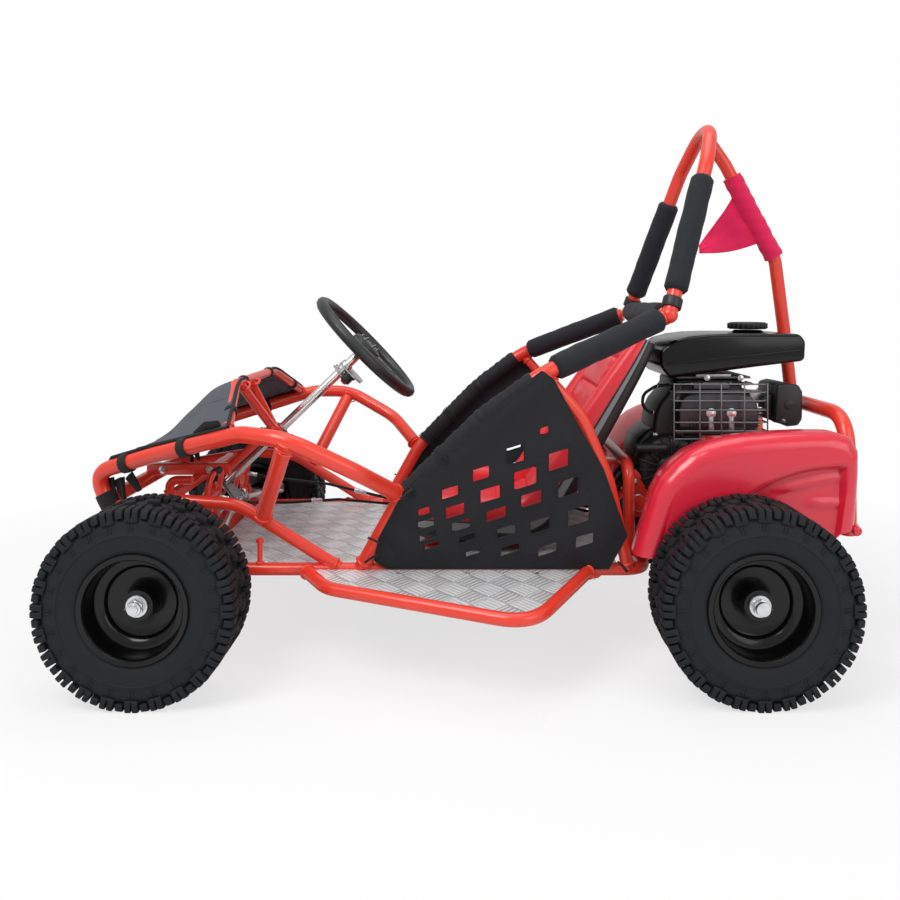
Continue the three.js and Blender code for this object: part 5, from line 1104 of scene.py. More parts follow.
@dataclass
class Fender(SubAssembly):
    """The moulded rear fenders."""

    inner: float = 187.0
    outer: float = 322.0
    wall: float = 3.2
    corner: float = 26.0
    arch: float = 127.0
    recess: float = 14.0
    deck_drop: float = 23.0
    columns: int = 120
    rows: int = 72
    outline: tuple[Pair, ...] = (
        (-318, 200), (-322, 216), (-332, 250), (-349, 305), (-362, 332), (-383, 355), (-407, 375), (-434, 388),
        (-465, 397), (-495, 402), (-556, 407), (-610, 409), (-650, 408.5), (-680, 400), (-692, 379), (-692, 340),
        (-690, 300), (-687, 262), (-685, 248),
    )

    def _top(self, share: float) -> Vector:
        """A point of the outline, at a share of its length, as X and Z."""
        points = [Vector((x, 0, z)) for x, z in self.outline]
        lengths = [(b - a).length for a, b in zip(points, points[1:], strict=False)]
        left = share * sum(lengths)
        for a, b, length in zip(points, points[1:], lengths, strict=False):
            if left <= length:
                return a.lerp(b, left / length)
            left -= length
        return points[-1]

    def _sculpt(self, x: float, z: float) -> float:
        """How far the side stands back from the outer face at a place."""

        def step(value: float, low: float, high: float) -> float:
            """Smooth step from low to high."""
            share = min(1.0, max(0.0, (value - low) / (high - low)))
            return share * share * (3 - 2 * share)

        rise = min(1.0, max(0.0, (-x - 489) / 185))
        first = 298 + 60 * (1 - (1 - rise) ** 2.4)
        second = 313 + 20 * step(-x, 530, 668)
        back = self.recess * step(first - z, -2, 9) * step(-x, 470, 530)
        for line, start in ((second, 535), (290, 590)):
            back -= 4.2 * math.exp(-((z - line) / 5.5) ** 2) * step(-x, start, start + 40) * (1 - step(-x, 655, 672))
        flank = 10 * step(-x, 345, 300) + 5 * math.exp(-((x + 345) / 16) ** 2)
        return back + flank

    def shell(self, side: Side) -> bmesh.types.BMesh:
        """The moulded shell of one side."""
        deck, corner = 0.3, 0.44

        def place(u: float, v: float) -> Vector:
            """A point of the surface."""
            top = self._top(u)
            angle = math.radians(187 - 194 * u)
            foot = Vector((-487.5 + self.arch * -math.cos(angle), 0, 156 + self.arch * math.sin(angle)))
            inward = (Vector((-505, 0, 200)) - top).normalized()
            edge = self.outer - self.corner
            if v <= deck:
                y = self.inner + (edge - self.inner) * v / deck
                point = top + inward * self.deck_drop * (1 - v / deck) ** 1.8
                return self.datum.at(point.x, y * side.value, point.z)
            if v <= corner:
                turn = (v - deck) / (corner - deck) * math.pi / 2
                point = top + inward * self.corner * (1 - math.cos(turn))
                return self.datum.at(point.x, (edge + self.corner * math.sin(turn)) * side.value, point.z)
            start = top + inward * self.corner
            point = start.lerp(foot, (v - corner) / (1 - corner))
            fade = min(1.0, (v - corner) / 0.08)
            return self.datum.at(point.x, (self.outer - self._sculpt(point.x, point.z) * fade) * side.value,
                point.z)

        return patch(self.columns, self.rows, place, self.wall / 1000)

    def build(self) -> None:
        """Builds both fenders with their rims, feet and brackets."""
        for side in Side:
            s = side.value
            form = self.form(f"fender_{side.word}_moulding")
            form.add(self.shell(side), "fender")
            form.rod("fender", (-691, 296 * s, 243), (-691, 314 * s, 243), 8.5, 24, 3)
            for x in (-418, -583):
                form.block("frame", (x - 15, 190 * s, 346), (x + 15, 300 * s, 350), 1)
                form.block("frame", (x - 15, 190 * s, 236), (x + 15, 194 * s, 348), 1)
            self.keep(form, "chassis", "fender_plastic", f"fender_{side.word}", sharp=50)


@dataclass
class Wheels(SubAssembly):
    """Four wheels with knobbly tyres on dished steel rims."""

    half_track: float = 395.0
    axle_x: float = 487.5
    axle_z: float = 156.05
    pitches: int = 24
    tread: float = 157.0
    carcass: tuple[Pair, ...] = (
        (81.2, 50), (84, 53.5), (89.5, 55.2), (91, 56.5), (99, 58.4), (108, 60), (115.4, 60.8), (116.2, 61.8),
        (117.6, 61.8), (118.4, 61.0), (128, 60.9), (135, 59.4), (141, 56.6), (145.4, 51), (147.6, 42), (148.4, 20),
        (148.6, 0),
    )

    def tyre(self, centre: Vector, out: float) -> bmesh.types.BMesh:
        """One tyre: the carcass, and blocks copied round it."""
        profile = [(r / 1000, y / 1000) for r, y in self.carcass]
        profile += [(r, -y) for r, y in reversed(profile[:-1])]
        part = lathe(profile, Vector(), Vector((0, 0, 1)), 96, closed=True)
        pitch = math.tau / self.pitches
        low_block = [(140, 34), (153.5, 34), (153.5, 48), (151, 54), (146, 58), (139, 62), (137, 61.8), (137, 56)]
        lobe = [(140, 27), (157.6, 27), (157.6, 56), (156.4, 60), (151, 62.2), (140, 62.6), (138, 62.4), (138, 56)]
        short = [(140, 31), (157.4, 31), (157.2, 54), (155.6, 58.6), (150, 61.2), (145, 62), (143.4, 61.8),
            (143.4, 54)]
        tick = [(124, 58), (124, 62.2), (132, 61.6), (134, 60.6), (134, 56)]
        shoulders = ((low_block, 10.6, 0.0, 0.0), (lobe, 4.5, -5.7, 0.0), (lobe, 4.5, 5.7, 0.0),
            (short, 5.8, 0.0, 0.5), (tick, 1.2, -2.6, 0.02), (tick, 1.2, 2.6, 0.02))
        knobs = bmesh.new()
        for outline, half, aside, share in shoulders:
            for flip in (1, -1):
                turn = pitch * (share + (0.25 if flip < 0 else 0.0))
                points = [Vector((r / 1000, (aside - half) / 1000, y * flip / 1000)) for r, y in outline]
                self._copy(plate(points, Vector((0.0, half / 500, 0.0)), min(0.0016, half / 3000)), knobs, turn,
                    0.0)
        for flip in (1, -1):
            turn = pitch * (0.1 if flip > 0 else 0.6)
            centre_knob = block(Vector((0.144, -0.0085, 0.003)), Vector((self.tread / 1000, 0.0085, 0.022)), 0.0018)
            bmesh.ops.scale(centre_knob, vec=(1, 1, flip), verts=centre_knob.verts)
            self._copy(tidy_normals(centre_knob), knobs, turn, 0.3)
            small = block(Vector((0.143, -0.006, 0.010)), Vector((0.1548, 0.006, 0.026)), 0.0016)
            bmesh.ops.scale(small, vec=(1, 1, flip), verts=small.verts)
            self._copy(tidy_normals(small), knobs, turn + pitch / 2, -0.25)
        whole = knobs.verts[:] + knobs.edges[:] + knobs.faces[:]
        bmesh.ops.spin(knobs, geom=whole, cent=(0, 0, 0), axis=(0, 0, 1), dvec=(0, 0, 0), angle=math.tau - pitch,
            steps=self.pitches - 1, use_duplicate=True)
        self._copy(knobs, part, 0.0, 0.0)
        turn = Vector((0, 0, 1)).rotation_difference(Vector((0, out, 0))).to_matrix().to_4x4()
        bmesh.ops.transform(part, matrix=Matrix.Translation(centre) @ turn, verts=part.verts)
        return part

    def _copy(self, source: bmesh.types.BMesh, target: bmesh.types.BMesh, turn: float, skew: float) -> None:
        """Moves a block into the target, skewed about the radius and turned about the axle."""
        matrix = Matrix.Rotation(turn, 4, "Z") @ Matrix.Rotation(skew, 4, "X")
        bmesh.ops.transform(source, matrix=matrix, verts=source.verts)
        pour(source, target)

    def rim(self, form: Form, centre: Vector, out: float, bore: float) -> None:
        """Adds one rim: lips, barrel, dish and hub.

        Args:
            form: The piece in the making.
            centre: The wheel's centre, in metres.
            out: The sign of the way out along Y.
            bore: The hub's inner radius.
        """
        profile = [(bore, -33), (24, -33), (24, -6), (27, 2), (40, 6), (52, 6.5), (58, 9), (60, 15), (64, 19),
            (70, 20), (73, 17), (75.5, 0), (76, -40), (76.5, -52), (79, -56.6), (86.5, -58), (88, -56), (87, -53),
            (82, -52.4), (79.8, -49), (79.8, 49), (82, 52.4), (87, 53), (88, 56), (86.5, 58), (79, 56.6),
            (76.5, 53), (75.8, 44), (75, 28), (72, 23.4), (63, 22.6), (56.5, 18), (54.6, 12), (50, 10.4), (40, 10),
            (27, 7), (25, 12), (24, 33), (bore, 33)]
        form.lathe("gloss_black", profile, centre, (0, out, 0), 72, True)

    def build(self) -> None:
        """Builds the four wheels."""
        for side in Side:
            for place, x in (("front", self.axle_x), ("rear", -self.axle_x)):
                body = "rear_axle" if place == "rear" else f"front_wheel_{side.word}"
                centre = self.datum.at(x, self.half_track * side.value, self.axle_z)
                name = f"{place}_tyre_{side.word}"
                form = self.form(f"{name}_knobbly").add(self.tyre(centre, side.value), "tyre")
                self.keep(form, body, "tyre", name, sharp=45)
                name = f"{place}_rim_{side.word}"
                form = self.form(f"{name}_dished")
                self.rim(form, centre, side.value, 12.9 if place == "rear" else 8.9)
                self.keep(form, body, "wheel_paint", name)


def hub_end(form: Form, start: Vector, out: Vector, stub: float) -> None:
    """Adds a washer, a castle nut with its pin, and the axle's threaded end.

    Args:
        form: The piece in the making.
        start: The washer's inner face on the axle's line, in metres.
        out: The way out along the axle.
        stub: The axle's radius, in millimetres.
    """
    form.lathe("zinc", [(stub, 0), (17.2, 0), (17.6, 0.8), (17.6, 3.2), (17, 4), (stub, 4)], start, out, 40, True)
    form.rod("zinc", start + out * 0.004, start + out * 0.012, 13.8, 6, 0.9)
    form.rod("zinc", start + out * 0.0115, start + out * 0.0175, 11.2, 24, 1.2)
    form.rod("zinc", start + out * 0.002, start + out * 0.0205, stub * 0.92, 24, 1.4)
    across = Vector((1, 0, 0))
    form.rod("steel", start + out * 0.0158 - across * 0.0145, start + out * 0.0158 + across * 0.0145, 1.2, 10, 0.2)


@dataclass
class Steering(SubAssembly):
    """The column, wheel, switch, tie rods and spindles."""

    wheel: Point = (177.0, 0.0, 541.0)
    tilt: float = 44.0
    radius: float = 126.0
    grip: float = 11.4
    start: float = 8.0
    end: float = 455.0
    pitman: float = 400.0
    kingpin: float = 283.0
    axle_x: float = 487.5
    axle_z: float = 156.05

    def along(self, distance: float) -> Vector:
        """A point on the column, in metres."""
        turn = math.radians(self.tilt)
        x, y, z = self.wheel
        return self.datum.at(x + distance * math.cos(turn), y, z - distance * math.sin(turn))

    def local(self, x: float, y: float, along: float) -> Vector:
        """A point across, down and along the column, in metres."""
        turn = math.radians(self.tilt)
        down = Vector((-math.sin(turn), 0, -math.cos(turn))) * (y / 1000)
        return self.along(along) + Vector((0, x / 1000, 0)) + down

    @property
    def axis(self) -> Vector:
        """The column's direction, down to the front."""
        return (self.along(100) - self.along(0)).normalized()

    def column(self) -> None:
        """The chromed column with its flange, plates, eyes, clamp and switch."""
        form = self.form("steering_column_assembly")
        form.rod("chrome", self.along(self.start), self.along(self.end), 9, 32, 1)
        form.lathe("steel", [(9, 0), (30, 0), (30, 4), (13, 5), (11, 12), (9, 12)], self.along(self.start),
            self.axis, 40, True, 0.6)
        outline = [(-12, -10), (12, -10), (31, 38), (30, 50), (-30, 50), (-31, 38)]
        form.plate("steel", [self.local(x, y, self.pitman - 3) for x, y in outline], self.axis * 0.006, 1.2)
        for x in (22, -22):
            form.rod("steel", self.local(x, 45, self.pitman - 3.2), self.local(x, 45, self.pitman + 3.2), 9.8, 28)
            form.bolt(self.local(x, 45, self.pitman - 3), -self.axis, 5)
        outline = [(-33, -12), (33, -12), (33, 30), (22, 46), (-22, 46), (-33, 30)]
        form.plate("zinc", [self.local(x, y, 56) for x, y in outline], self.axis * 0.003, 1)
        form.rod("zinc", self.local(0, 0, 50), self.local(0, 0, 78), 12.5, 32, 1.5)
        for y in (-14, 14):
            form.bolt(self.local(12, y, 70), (0, 1, 0), 3.5)
        form.rod("plastic", self.local(20, 20, 58), self.local(20, 20, 79), 11, 32, 1.8)
        form.rod("plastic", self.local(20, 20, 59), self.local(20, 20, 64), 13.5, 32, 1)
        form.rod("steel", self.local(0, 0, 236), self.local(0, 0, 237.2), 11.2, 28, 0.4)
        self.keep(form, "steering", "chrome", "steering_column")

    def handwheel(self) -> None:
        """The padded wheel with its three spokes."""
        form = self.form("steering_wheel_padded")
        form.ring("grip", self.along(0), self.axis, self.radius, self.grip, 96)
        form.lathe("grip", [(0, -10), (24, -10), (32, -6), (34, 0), (34, 7), (0, 7)], self.along(0), self.axis, 56,
            False, 1)
        for x, y in ((1, 0), (-1, 0), (0, 1)):
            outline = []
            halves = [(10, 33), (44, 24), (80, 17), (104, 16), (122, 20)]
            for reach, half in [*halves, *[(reach, -half) for reach, half in reversed(halves)]]:
                outline.append((x * reach - y * half, y * reach + x * half))
            form.plate("grip", [self.local(a, b, -3) for a, b in outline], self.axis * 0.006, 1.5)
            for reach in (52, 76, 98):
                form.lathe("plastic", [(5.2, -3.6), (7.8, -3.6), (7.8, 3.6), (5.2, 3.6)],
                    self.local(x * reach, y * reach, 0), self.axis, 24, True, 0.8)
                form.rod("plastic", self.local(x * reach, y * reach, -3.3), self.local(x * reach, y * reach, -3.0),
                    5.2, 20, 0)
        for x, y in around(6, 21, 30):
            form.bolt(self.local(x, y, -8.5), -self.axis, 3.2, "steel")
        self.keep(form, "steering", "grip", "steering_wheel", sharp=50)

    def stop(self) -> None:
        """The stop button."""
        form = self.form("kill_switch_button")
        form.rod("red_button", self.local(20, 20, 68), self.local(20, 20, 83), 6.9, 28, 1.6)
        self.keep(form, "stop_button", "stop_button", "kill_switch")

    def spindle(self, side: Side) -> None:
        """One spindle: knuckle, kingpin, arm, stub and hub nut."""
        s = side.value
        at = self.datum.at
        z = self.axle_z
        up = Vector((0, 0, 1))
        form = self.form(f"spindle_{side.word}_forged")
        y = self.kingpin * s
        form.rod("zinc", (self.axle_x, y, z - 21.7), (self.axle_x, y, z + 21.7), 13, 36, 1.5)
        form.rod("zinc", (self.axle_x, y, z - 34), (self.axle_x, y, z + 41), 6, 24)
        form.bolt((self.axle_x, y, z + 36.3), up, 8.5)
        form.bolt((self.axle_x, y, z - 28.5), -up, 8.5)
        top = z + 28.3
        arm = [(6, 9), (-20, 10), (-75.5, 9), (-82, 6), (-84.5, 0), (-82, -6), (-75.5, -9), (-20, -10), (6, -9)]
        form.plate("zinc", [(self.axle_x + dx, y + dy, top) for dx, dy in arm], up * 0.008, 1.5)
        form.bolt((self.axle_x - 75.5, y, top + 18.5), up, 5.5)
        form.rod("zinc", (self.axle_x, y, z), (self.axle_x, 434.5 * s, z), 8.5, 28)
        form.rod("zinc", (self.axle_x, 353.7 * s, z), (self.axle_x, 361.6 * s, z), 15, 32)
        hub_end(form, at(self.axle_x, 428.3 * s, z), Vector((0, s, 0)), 8.5)
        self.keep(form, f"spindle_{side.word}", "zinc", f"spindle_{side.word}")

    def tie_rod(self, side: Side) -> None:
        """One tie rod with ball ends and lock nuts."""
        s = side.value
        arm = self.datum.at(self.axle_x - 75.5, self.kingpin * s, self.axle_z + 36.3 + 5.3)
        inner = self.local(22 * s, 45, self.pitman + 8.3)
        way = (inner - arm).normalized()
        form = self.form(f"tie_rod_{side.word}_ends")
        form.rod("zinc", arm + way * 0.03, inner - way * 0.03, 5, 24)
        for end, sign, axis in ((arm, 1, Vector((0, 0, 1))), (inner, -1, self.axis)):
            form.rod("steel", end + way * sign * 0.005, end + way * sign * 0.038, 6.2, 6, 0.8)
            form.lathe("steel", [(5.5, -4.6), (9.8, -4.6), (9.8, 4.6), (5.5, 4.6)], end, axis, 28, True, 0.8)
            form.rod("zinc", end - axis * 0.0048, end + axis * 0.0048, 5.4, 20, 1.5)
            form.rod("zinc", end + way * sign * 0.038, end + way * sign * 0.043, 7.8, 6, 0.8)
        self.keep(form, f"tie_rod_{side.word}", "zinc", f"tie_rod_{side.word}")

    def build(self) -> None:
        """Builds the steering."""
        self.column()
        self.handwheel()
        self.stop()
        for side in Side:
            self.spindle(side)
            self.tie_rod(side)


@dataclass
class Pedals(SubAssembly):
    """The looped throttle and brake pedals."""

    pivot: Pair = (466.0, 214.0)
    top: Pair = (450.0, 308.0)
    inner: float = 72.0
    outer: float = 160.0

    def build(self) -> None:
        """Builds both pedals with their return springs."""
        for side, name in ((Side.LEFT, "brake_pedal"), (Side.RIGHT, "throttle_pedal")):
            s = side.value
            at = self.datum.at
            form = self.form(f"{name}_loop")
            (x0, z0), (x1, z1) = self.pivot, self.top
            loop = [(x0, self.inner, z0 + 6), (x1, self.inner, z1), (x1, self.outer, z1), (x0, self.outer, z0 + 6)]
            form.add(Run(loop, 11, 34).shape(self.datum, side), "frame")
            xm, zm = (x0 + x1) / 2, (z0 + z1) / 2
            form.rod("frame", (xm, self.inner * s, zm), (xm, self.outer * s, zm), 5.5, 24)
            for y in (self.inner, self.outer):
                form.lathe("frame", [(5.3, -6.5), (9, -6.5), (9, 6.5), (5.3, 6.5)], (x0, y * s, z0), (0, 1, 0), 28,
                    True, 0.8)
            for i in range(9):
                y = self.inner + 26 + i * 4.5
                form.ring("plastic", (x1, y * s, z1), (0, 1, 0), 5.7, 1.2, 18)
            coil = []
            for i in range(90):
                turn = i / 90 * math.tau * 6
                coil.append(at(x0 + 8.2 * math.cos(turn), (self.outer - 12 - i * 0.15) * s,
                    z0 + 8.2 * math.sin(turn)))
            form.swept("zinc", coil, 0.9, 8)
            self.keep(form, name, "frame_paint", name)


@dataclass
class Engine(SubAssembly):
    """The small air-cooled engine with its tank, muffler and filter."""

    crank: Pair = (-415.0, 315.0)
    left: float = 98.0
    right: float = -30.0
    deck: float = 239.3

    def block(self) -> None:
        """The crankcase, cylinder, head and their small parts."""
        form = self.form("engine_block_castings")
        front, rear = -352, -482
        case = [(front, self.deck), (front, 340), (front - 8, 366), (front - 30, 388), (rear, 388),
            (rear, self.deck)]
        form.side("engine", case, self.right, self.left, 9)
        form.block("engine", (rear - 8, self.right - 6, self.deck), (front + 1, self.left - 2, self.deck + 9), 3)
        for x in (-372, -398, -432, -462):
            form.block("engine", (x - 2, self.right - 5, self.deck + 6), (x + 2, self.left - 1, 350), 1.5)
        x, z = self.crank
        form.lathe("engine", [(0, 0), (52, 0), (52, 4), (46, 7), (20, 9), (14, 12), (0, 12)], (x, self.right, z),
            (0, -1, 0), 48, False, 0.8)
        for dx, dz in around(8, 46, 20):
            form.bolt((x + dx, self.right - 4, z + dz), (0, -1, 0), 3.8)
        form.rod("zinc", (x, self.right - 8, z), (x, -84.5, z), 9.4, 28, 1)
        for i in range(9):
            height = 380 + i * 13.2
            inset = 3 if i % 2 else 0
            form.block("cast", (-572 + inset, -34 + inset, height), (-430, 116, height + 4.2), 1.2)
        form.block("engine", (-560, -26, 374), (-426, 106, 486), 8, 3)
        form.block("alloy", (-535, 20, 487), (-466, 117, 496), 3, 3)
        form.block("cast", (-532, 20, 464), (-462, 117, 480), 3, 3)
        for x1 in (-552, -488):
            form.bolt((x1, 117, 487), (0, 1, 0), 4.2)
        shroud = [(-384, 330), (-388, 400), (-392, 420), (-400, 438), (-412, 452), (-424, 470), (-428, 484),
            (-446, 484), (-446, 330)]
        form.side("plastic", shroud, -20, 112, 9, 4)
        form.bolt((-434, 112, 446), (0, 1, 0), 3.8, "steel")
        form.rod("plastic", (-356, 20, 262), (-338, 20, 274), 11, 28, 2)
        form.rod("plastic", (-341, 20, 272), (-332, 20, 278), 16, 8, 2)
        hose = bent(self.datum.row([(-425, 100, 473), (-392, 104, 470), (-368, 106, 455), (-366, 106, 432),
            (-382, 104, 419), (-418, 99, 420)]), 0.02)
        form.swept("cable", hose, 3, 16)
        for end in (hose[2], hose[-3]):
            form.ring("zinc", end, (1, 0, 0.1), 4.2, 0.9, 20)
        coil = self.datum.row([(-580 + 4.6 * math.cos(i * 0.62), 128 + 4.6 * math.sin(i * 0.62), 388 + i * 0.52)
            for i in range(84)])
        form.swept("brass", coil, 0.8, 8)
        form.rod("zinc", (-580, 128, 382), (-580, 128, 440), 2.2, 12)
        form.block("zinc", (-588, 112, 430), (-572, 133, 433), 0.8)
        lead = bent(self.datum.row([(-560, -30, 452), (-585, -52, 456), (-560, -60, 410), (-486, -40, 380)]), 0.03)
        form.swept("cable", lead, 3.5, 14)
        form.rod("plastic", (-548, -30, 452), (-566, -34, 452), 9.5, 20, 3)
        form.block("alloy", (-606, 40, 414), (-576, 88, 458), 5, 3)
        form.rod("alloy", (-590, 64, 402), (-590, 64, 416), 19, 32, 4)
        form.bolt((-590, 64, 402), (0, 0, -1), 4)
        self.keep(form, "chassis", "engine_cast", "engine_block", sharp=42)

    def tank(self) -> None:
        """The fuel tank with its seam and neck."""
        form = self.form("fuel_tank_pressed")
        shares = [(0, 0.56), (0.024, 0.68), (0.09, 0.84), (0.2, 0.94), (0.32, 0.985), (0.456, 1), (0.96, 1),
            (1, 0.845), (0.993, 0.39), (0.666, 0.26), (0.07, 0), (0.01, 0.24)]
        outline = [(-392 - 276 * a, 488 + 84 * b) for a, b in shares]
        form.side("gloss_black", outline, -62, 145, 13, 5)
        slope = Vector((-265, 0, 28.5)).normalized()
        corner = 18
        outline = []
        for x, y in ((-389, -63.5), (-389, 146.5), (-669.5, 146.5), (-669.5, -63.5)):
            sx = 1 if x == -389 else -1
            sy = 1 if y > 0 else -1
            for i in range(5):
                a = math.radians(90 * i / 4)
                dx, dy = (math.sin(a), math.cos(a)) if sx * sy < 0 else (math.cos(a), math.sin(a))
                outline.append((x - sx * corner * (1 - dx), y - sy * corner * (1 - dy)))
        points = self.datum.row([(x, y, 512 - (x + 389) * 29.5 / 279) for x, y in outline])
        centre = sum(points, Vector()) / len(points)
        points.sort(key=lambda p: math.atan2(p.y - centre.y, p.x - centre.x))
        form.plate("gloss_black", points, slope.cross(Vector((0, 1, 0))).normalized() * -0.0026, 0.8)
        form.lathe("gloss_black", [(0, -3), (33, -3), (31, 1), (26, 4.5), (0, 4.5)], (-589, 40, 572), (0, 0, 1), 48)
        for x in (-440, -640):
            for y in (-40, 124):
                form.rod("steel", (x, y, 500 if x > -500 else 522), (x, y, 506 if x > -500 else 528), 8, 20)
        self.keep(form, "chassis", "tank_paint", "fuel_tank", sharp=60)

    def cap(self) -> None:
        """The ribbed fuel cap."""
        form = self.form("fuel_cap_ribbed")
        centre = self.datum.at(-589, 40, 578.3)
        up = Vector((0, 0, 1))
        form.lathe("plastic", [(0, 0), (35, 0), (36.5, 2), (36.5, 10.5), (34, 13.5), (20, 12.2), (0, 12.5)], centre,
            up, 72)
        for dx, dy in around(24):
            way = Vector((dx, dy, 0))
            form.rod("plastic", centre + way * 0.0362 + up * 0.0012, centre + way * 0.0362 + up * 0.0118, 2.6, 10,
                0.8)
        form.block("plastic", centre + Vector((-0.022, -0.004, 0.011)), centre + Vector((0.022, 0.004, 0.0138)),
            1.5)
        self.keep(form, "fuel_cap", "black_plastic", "fuel_cap")

    def muffler(self) -> None:
        """The muffler with its flange bolts and the wire guard."""
        form = self.form("muffler_with_guard")
        arch = [(-426, 392), (-426, 432), (-431, 448), (-444, 458), (-470, 461), (-540, 461), (-560, 457),
            (-572, 446), (-577, 430), (-577, 392)]
        form.side("heat_shield", arch, 118.6, 149, 11, 5)
        form.side("heat_shield", [(x * 0.985 - 7.5, z - 1.5 if z > 400 else z + 4) for x, z in arch], 146, 152, 3,
            3)
        for x in (-486, -524):
            form.lathe("zinc", [(0, 0), (9, 0), (9, 3), (0, 4.5)], (x, 151, 424), (0, 1, 0), 28)
            form.bolt((x, 153, 424), (0, 1, 0), 5.2)
            form.rod("alloy", (x, 151, 418), (x, 151, 391), 6, 20, 1)
        # Five near-black bars stand in for the cover's louvre slots: painted shade in their openings, with no slot
        # cut.
        for i in range(5):
            form.block("engine", (-448 - i * 6, 149, 398), (-445 - i * 6, 152.6, 414), 0.9)
        form.rod("heat_shield", (-560, 134, 392), (-575, 134, 374), 9, 28, 1)
        face = 163.6
        wire = 1.5
        rows = (377, 392, 408, 431, 448, 464, 479)
        for z in rows:
            start = 118.5 if z in (377, 479) else 134
            route = [(-414, start, z), (-414, face, z), (-588, face, z), (-588, start, z)]
            form.swept("steel", bent(self.datum.row(route), 0.008, 5), wire, 12)
        for x in (-414, -462, -502, -545, -588):
            y = face + 0.6
            form.rod("steel", (x, y, 374), (x, y, 481), wire, 12, 0.4)
        for x in (-448, -470, -520, -560):
            form.rod("steel", (x, 118.5, 480.5), (x, face, 480.5), wire, 12, 0.4)
        for x in (-462, -545):
            form.rod("steel", (x, 145, 410), (x, face, 410), wire, 12, 0.4)
        self.keep(form, "chassis", "muffler_steel", "muffler", sharp=45)

    def filter(self) -> None:
        """The air filter box with its lid and snout."""
        form = self.form("air_filter_box")
        body = [(-612, 404), (-616, 474), (-632, 478), (-655, 474), (-662, 462), (-661, 412), (-654, 400),
            (-634, 398)]
        form.side("plastic", body, 20, 124, 6, 4)
        lid = [(-610.5, 406), (-615, 475), (-632, 479), (-656, 475.5), (-663, 462), (-662.5, 411), (-655, 398.5),
            (-634, 396.5)]
        form.side("plastic", lid, 126, 140, 5, 4)
        form.side("engine", [(x + 1, z) for x, z in body], 120, 128, 1)
        form.rod("plastic", (-637, 139, 438), (-637, 142.5, 438), 9, 32, 1.4)
        form.bolt((-626, 139.5, 408), (0, 1, 0), 3, "steel")
        form.rod("plastic", (-576.3, 62, 436), (-616, 62, 436), 19.5, 36, 1)
        form.ring("zinc", (-608, 62, 436), (1, 0, 0), 20.2, 1.4, 40)
        form.side("plastic", [(-596, 420), (-596, 452), (-614, 458), (-614, 416)], 84, 118, 4)
        self.keep(form, "chassis", "black_plastic", "air_filter", sharp=45)

    def recoil(self) -> None:
        """The recoil starter's cover with its ribs and bolted bosses, and the grip."""
        x, z = self.crank
        centre = self.datum.at(x, self.left + 0.3, z)
        out = Vector((0, 1, 0))
        form = self.form("recoil_cover_ribbed")
        form.lathe("engine", [(0, 0), (66, 0), (66, 24), (63.5, 32), (58, 38.5), (46, 40.8), (28, 40.2), (22, 45),
            (8, 47.5), (0, 47.8)], centre, out, 72)
        for dx, dz in around(20):
            way = Vector((dx, 0, dz))
            form.swept("engine", [centre + way * 0.0292 + out * 0.0405, centre + way * 0.045 + out * 0.0416,
                centre + way * 0.0578 + out * 0.0392, centre + way * 0.0646 + out * 0.030], 2.2, 8)
        for dx, dz in around(3, 1, 70):
            way = Vector((dx, 0, dz))
            spot = centre + way * 0.0665 + out * 0.004
            form.rod("engine", spot - out * 0.004, spot + out * 0.004, 8.5, 24, 1)
            form.bolt(spot + out * 0.004, out, 4)
        self.keep(form, "chassis", "engine_cast", "recoil_cover", sharp=40)
        grip = self.form("starter_grip_handle")
        tilt = math.radians(40)
        pull = Vector((0, math.cos(tilt), math.sin(tilt)))
        start = self.datum.at(x + 54 * math.cos(tilt), 98 + 40 + 0.6 + 4 * math.sin(tilt), z + 54 * math.sin(tilt))
        bar = start + pull * 0.014
        grip.rod("plastic", start, bar, 4.5, 24, 1)
        across = Vector((0.03, 0, 0))
        stations = [bar + across * s for s in (-1, -0.93, -0.6, -0.2, 0.2, 0.6, 0.93, 1)]
        grip.swept("plastic", stations, [5, 7.8, 7.2, 8, 8, 7.2, 7.8, 5], 28)
        self.keep(grip, "starter_grip", "black_plastic", "starter_grip", sharp=50)

    def build(self) -> None:
        """Builds the engine."""
        self.block()
        self.tank()
        self.cap()
        self.muffler()
        self.filter()
        self.recoil()


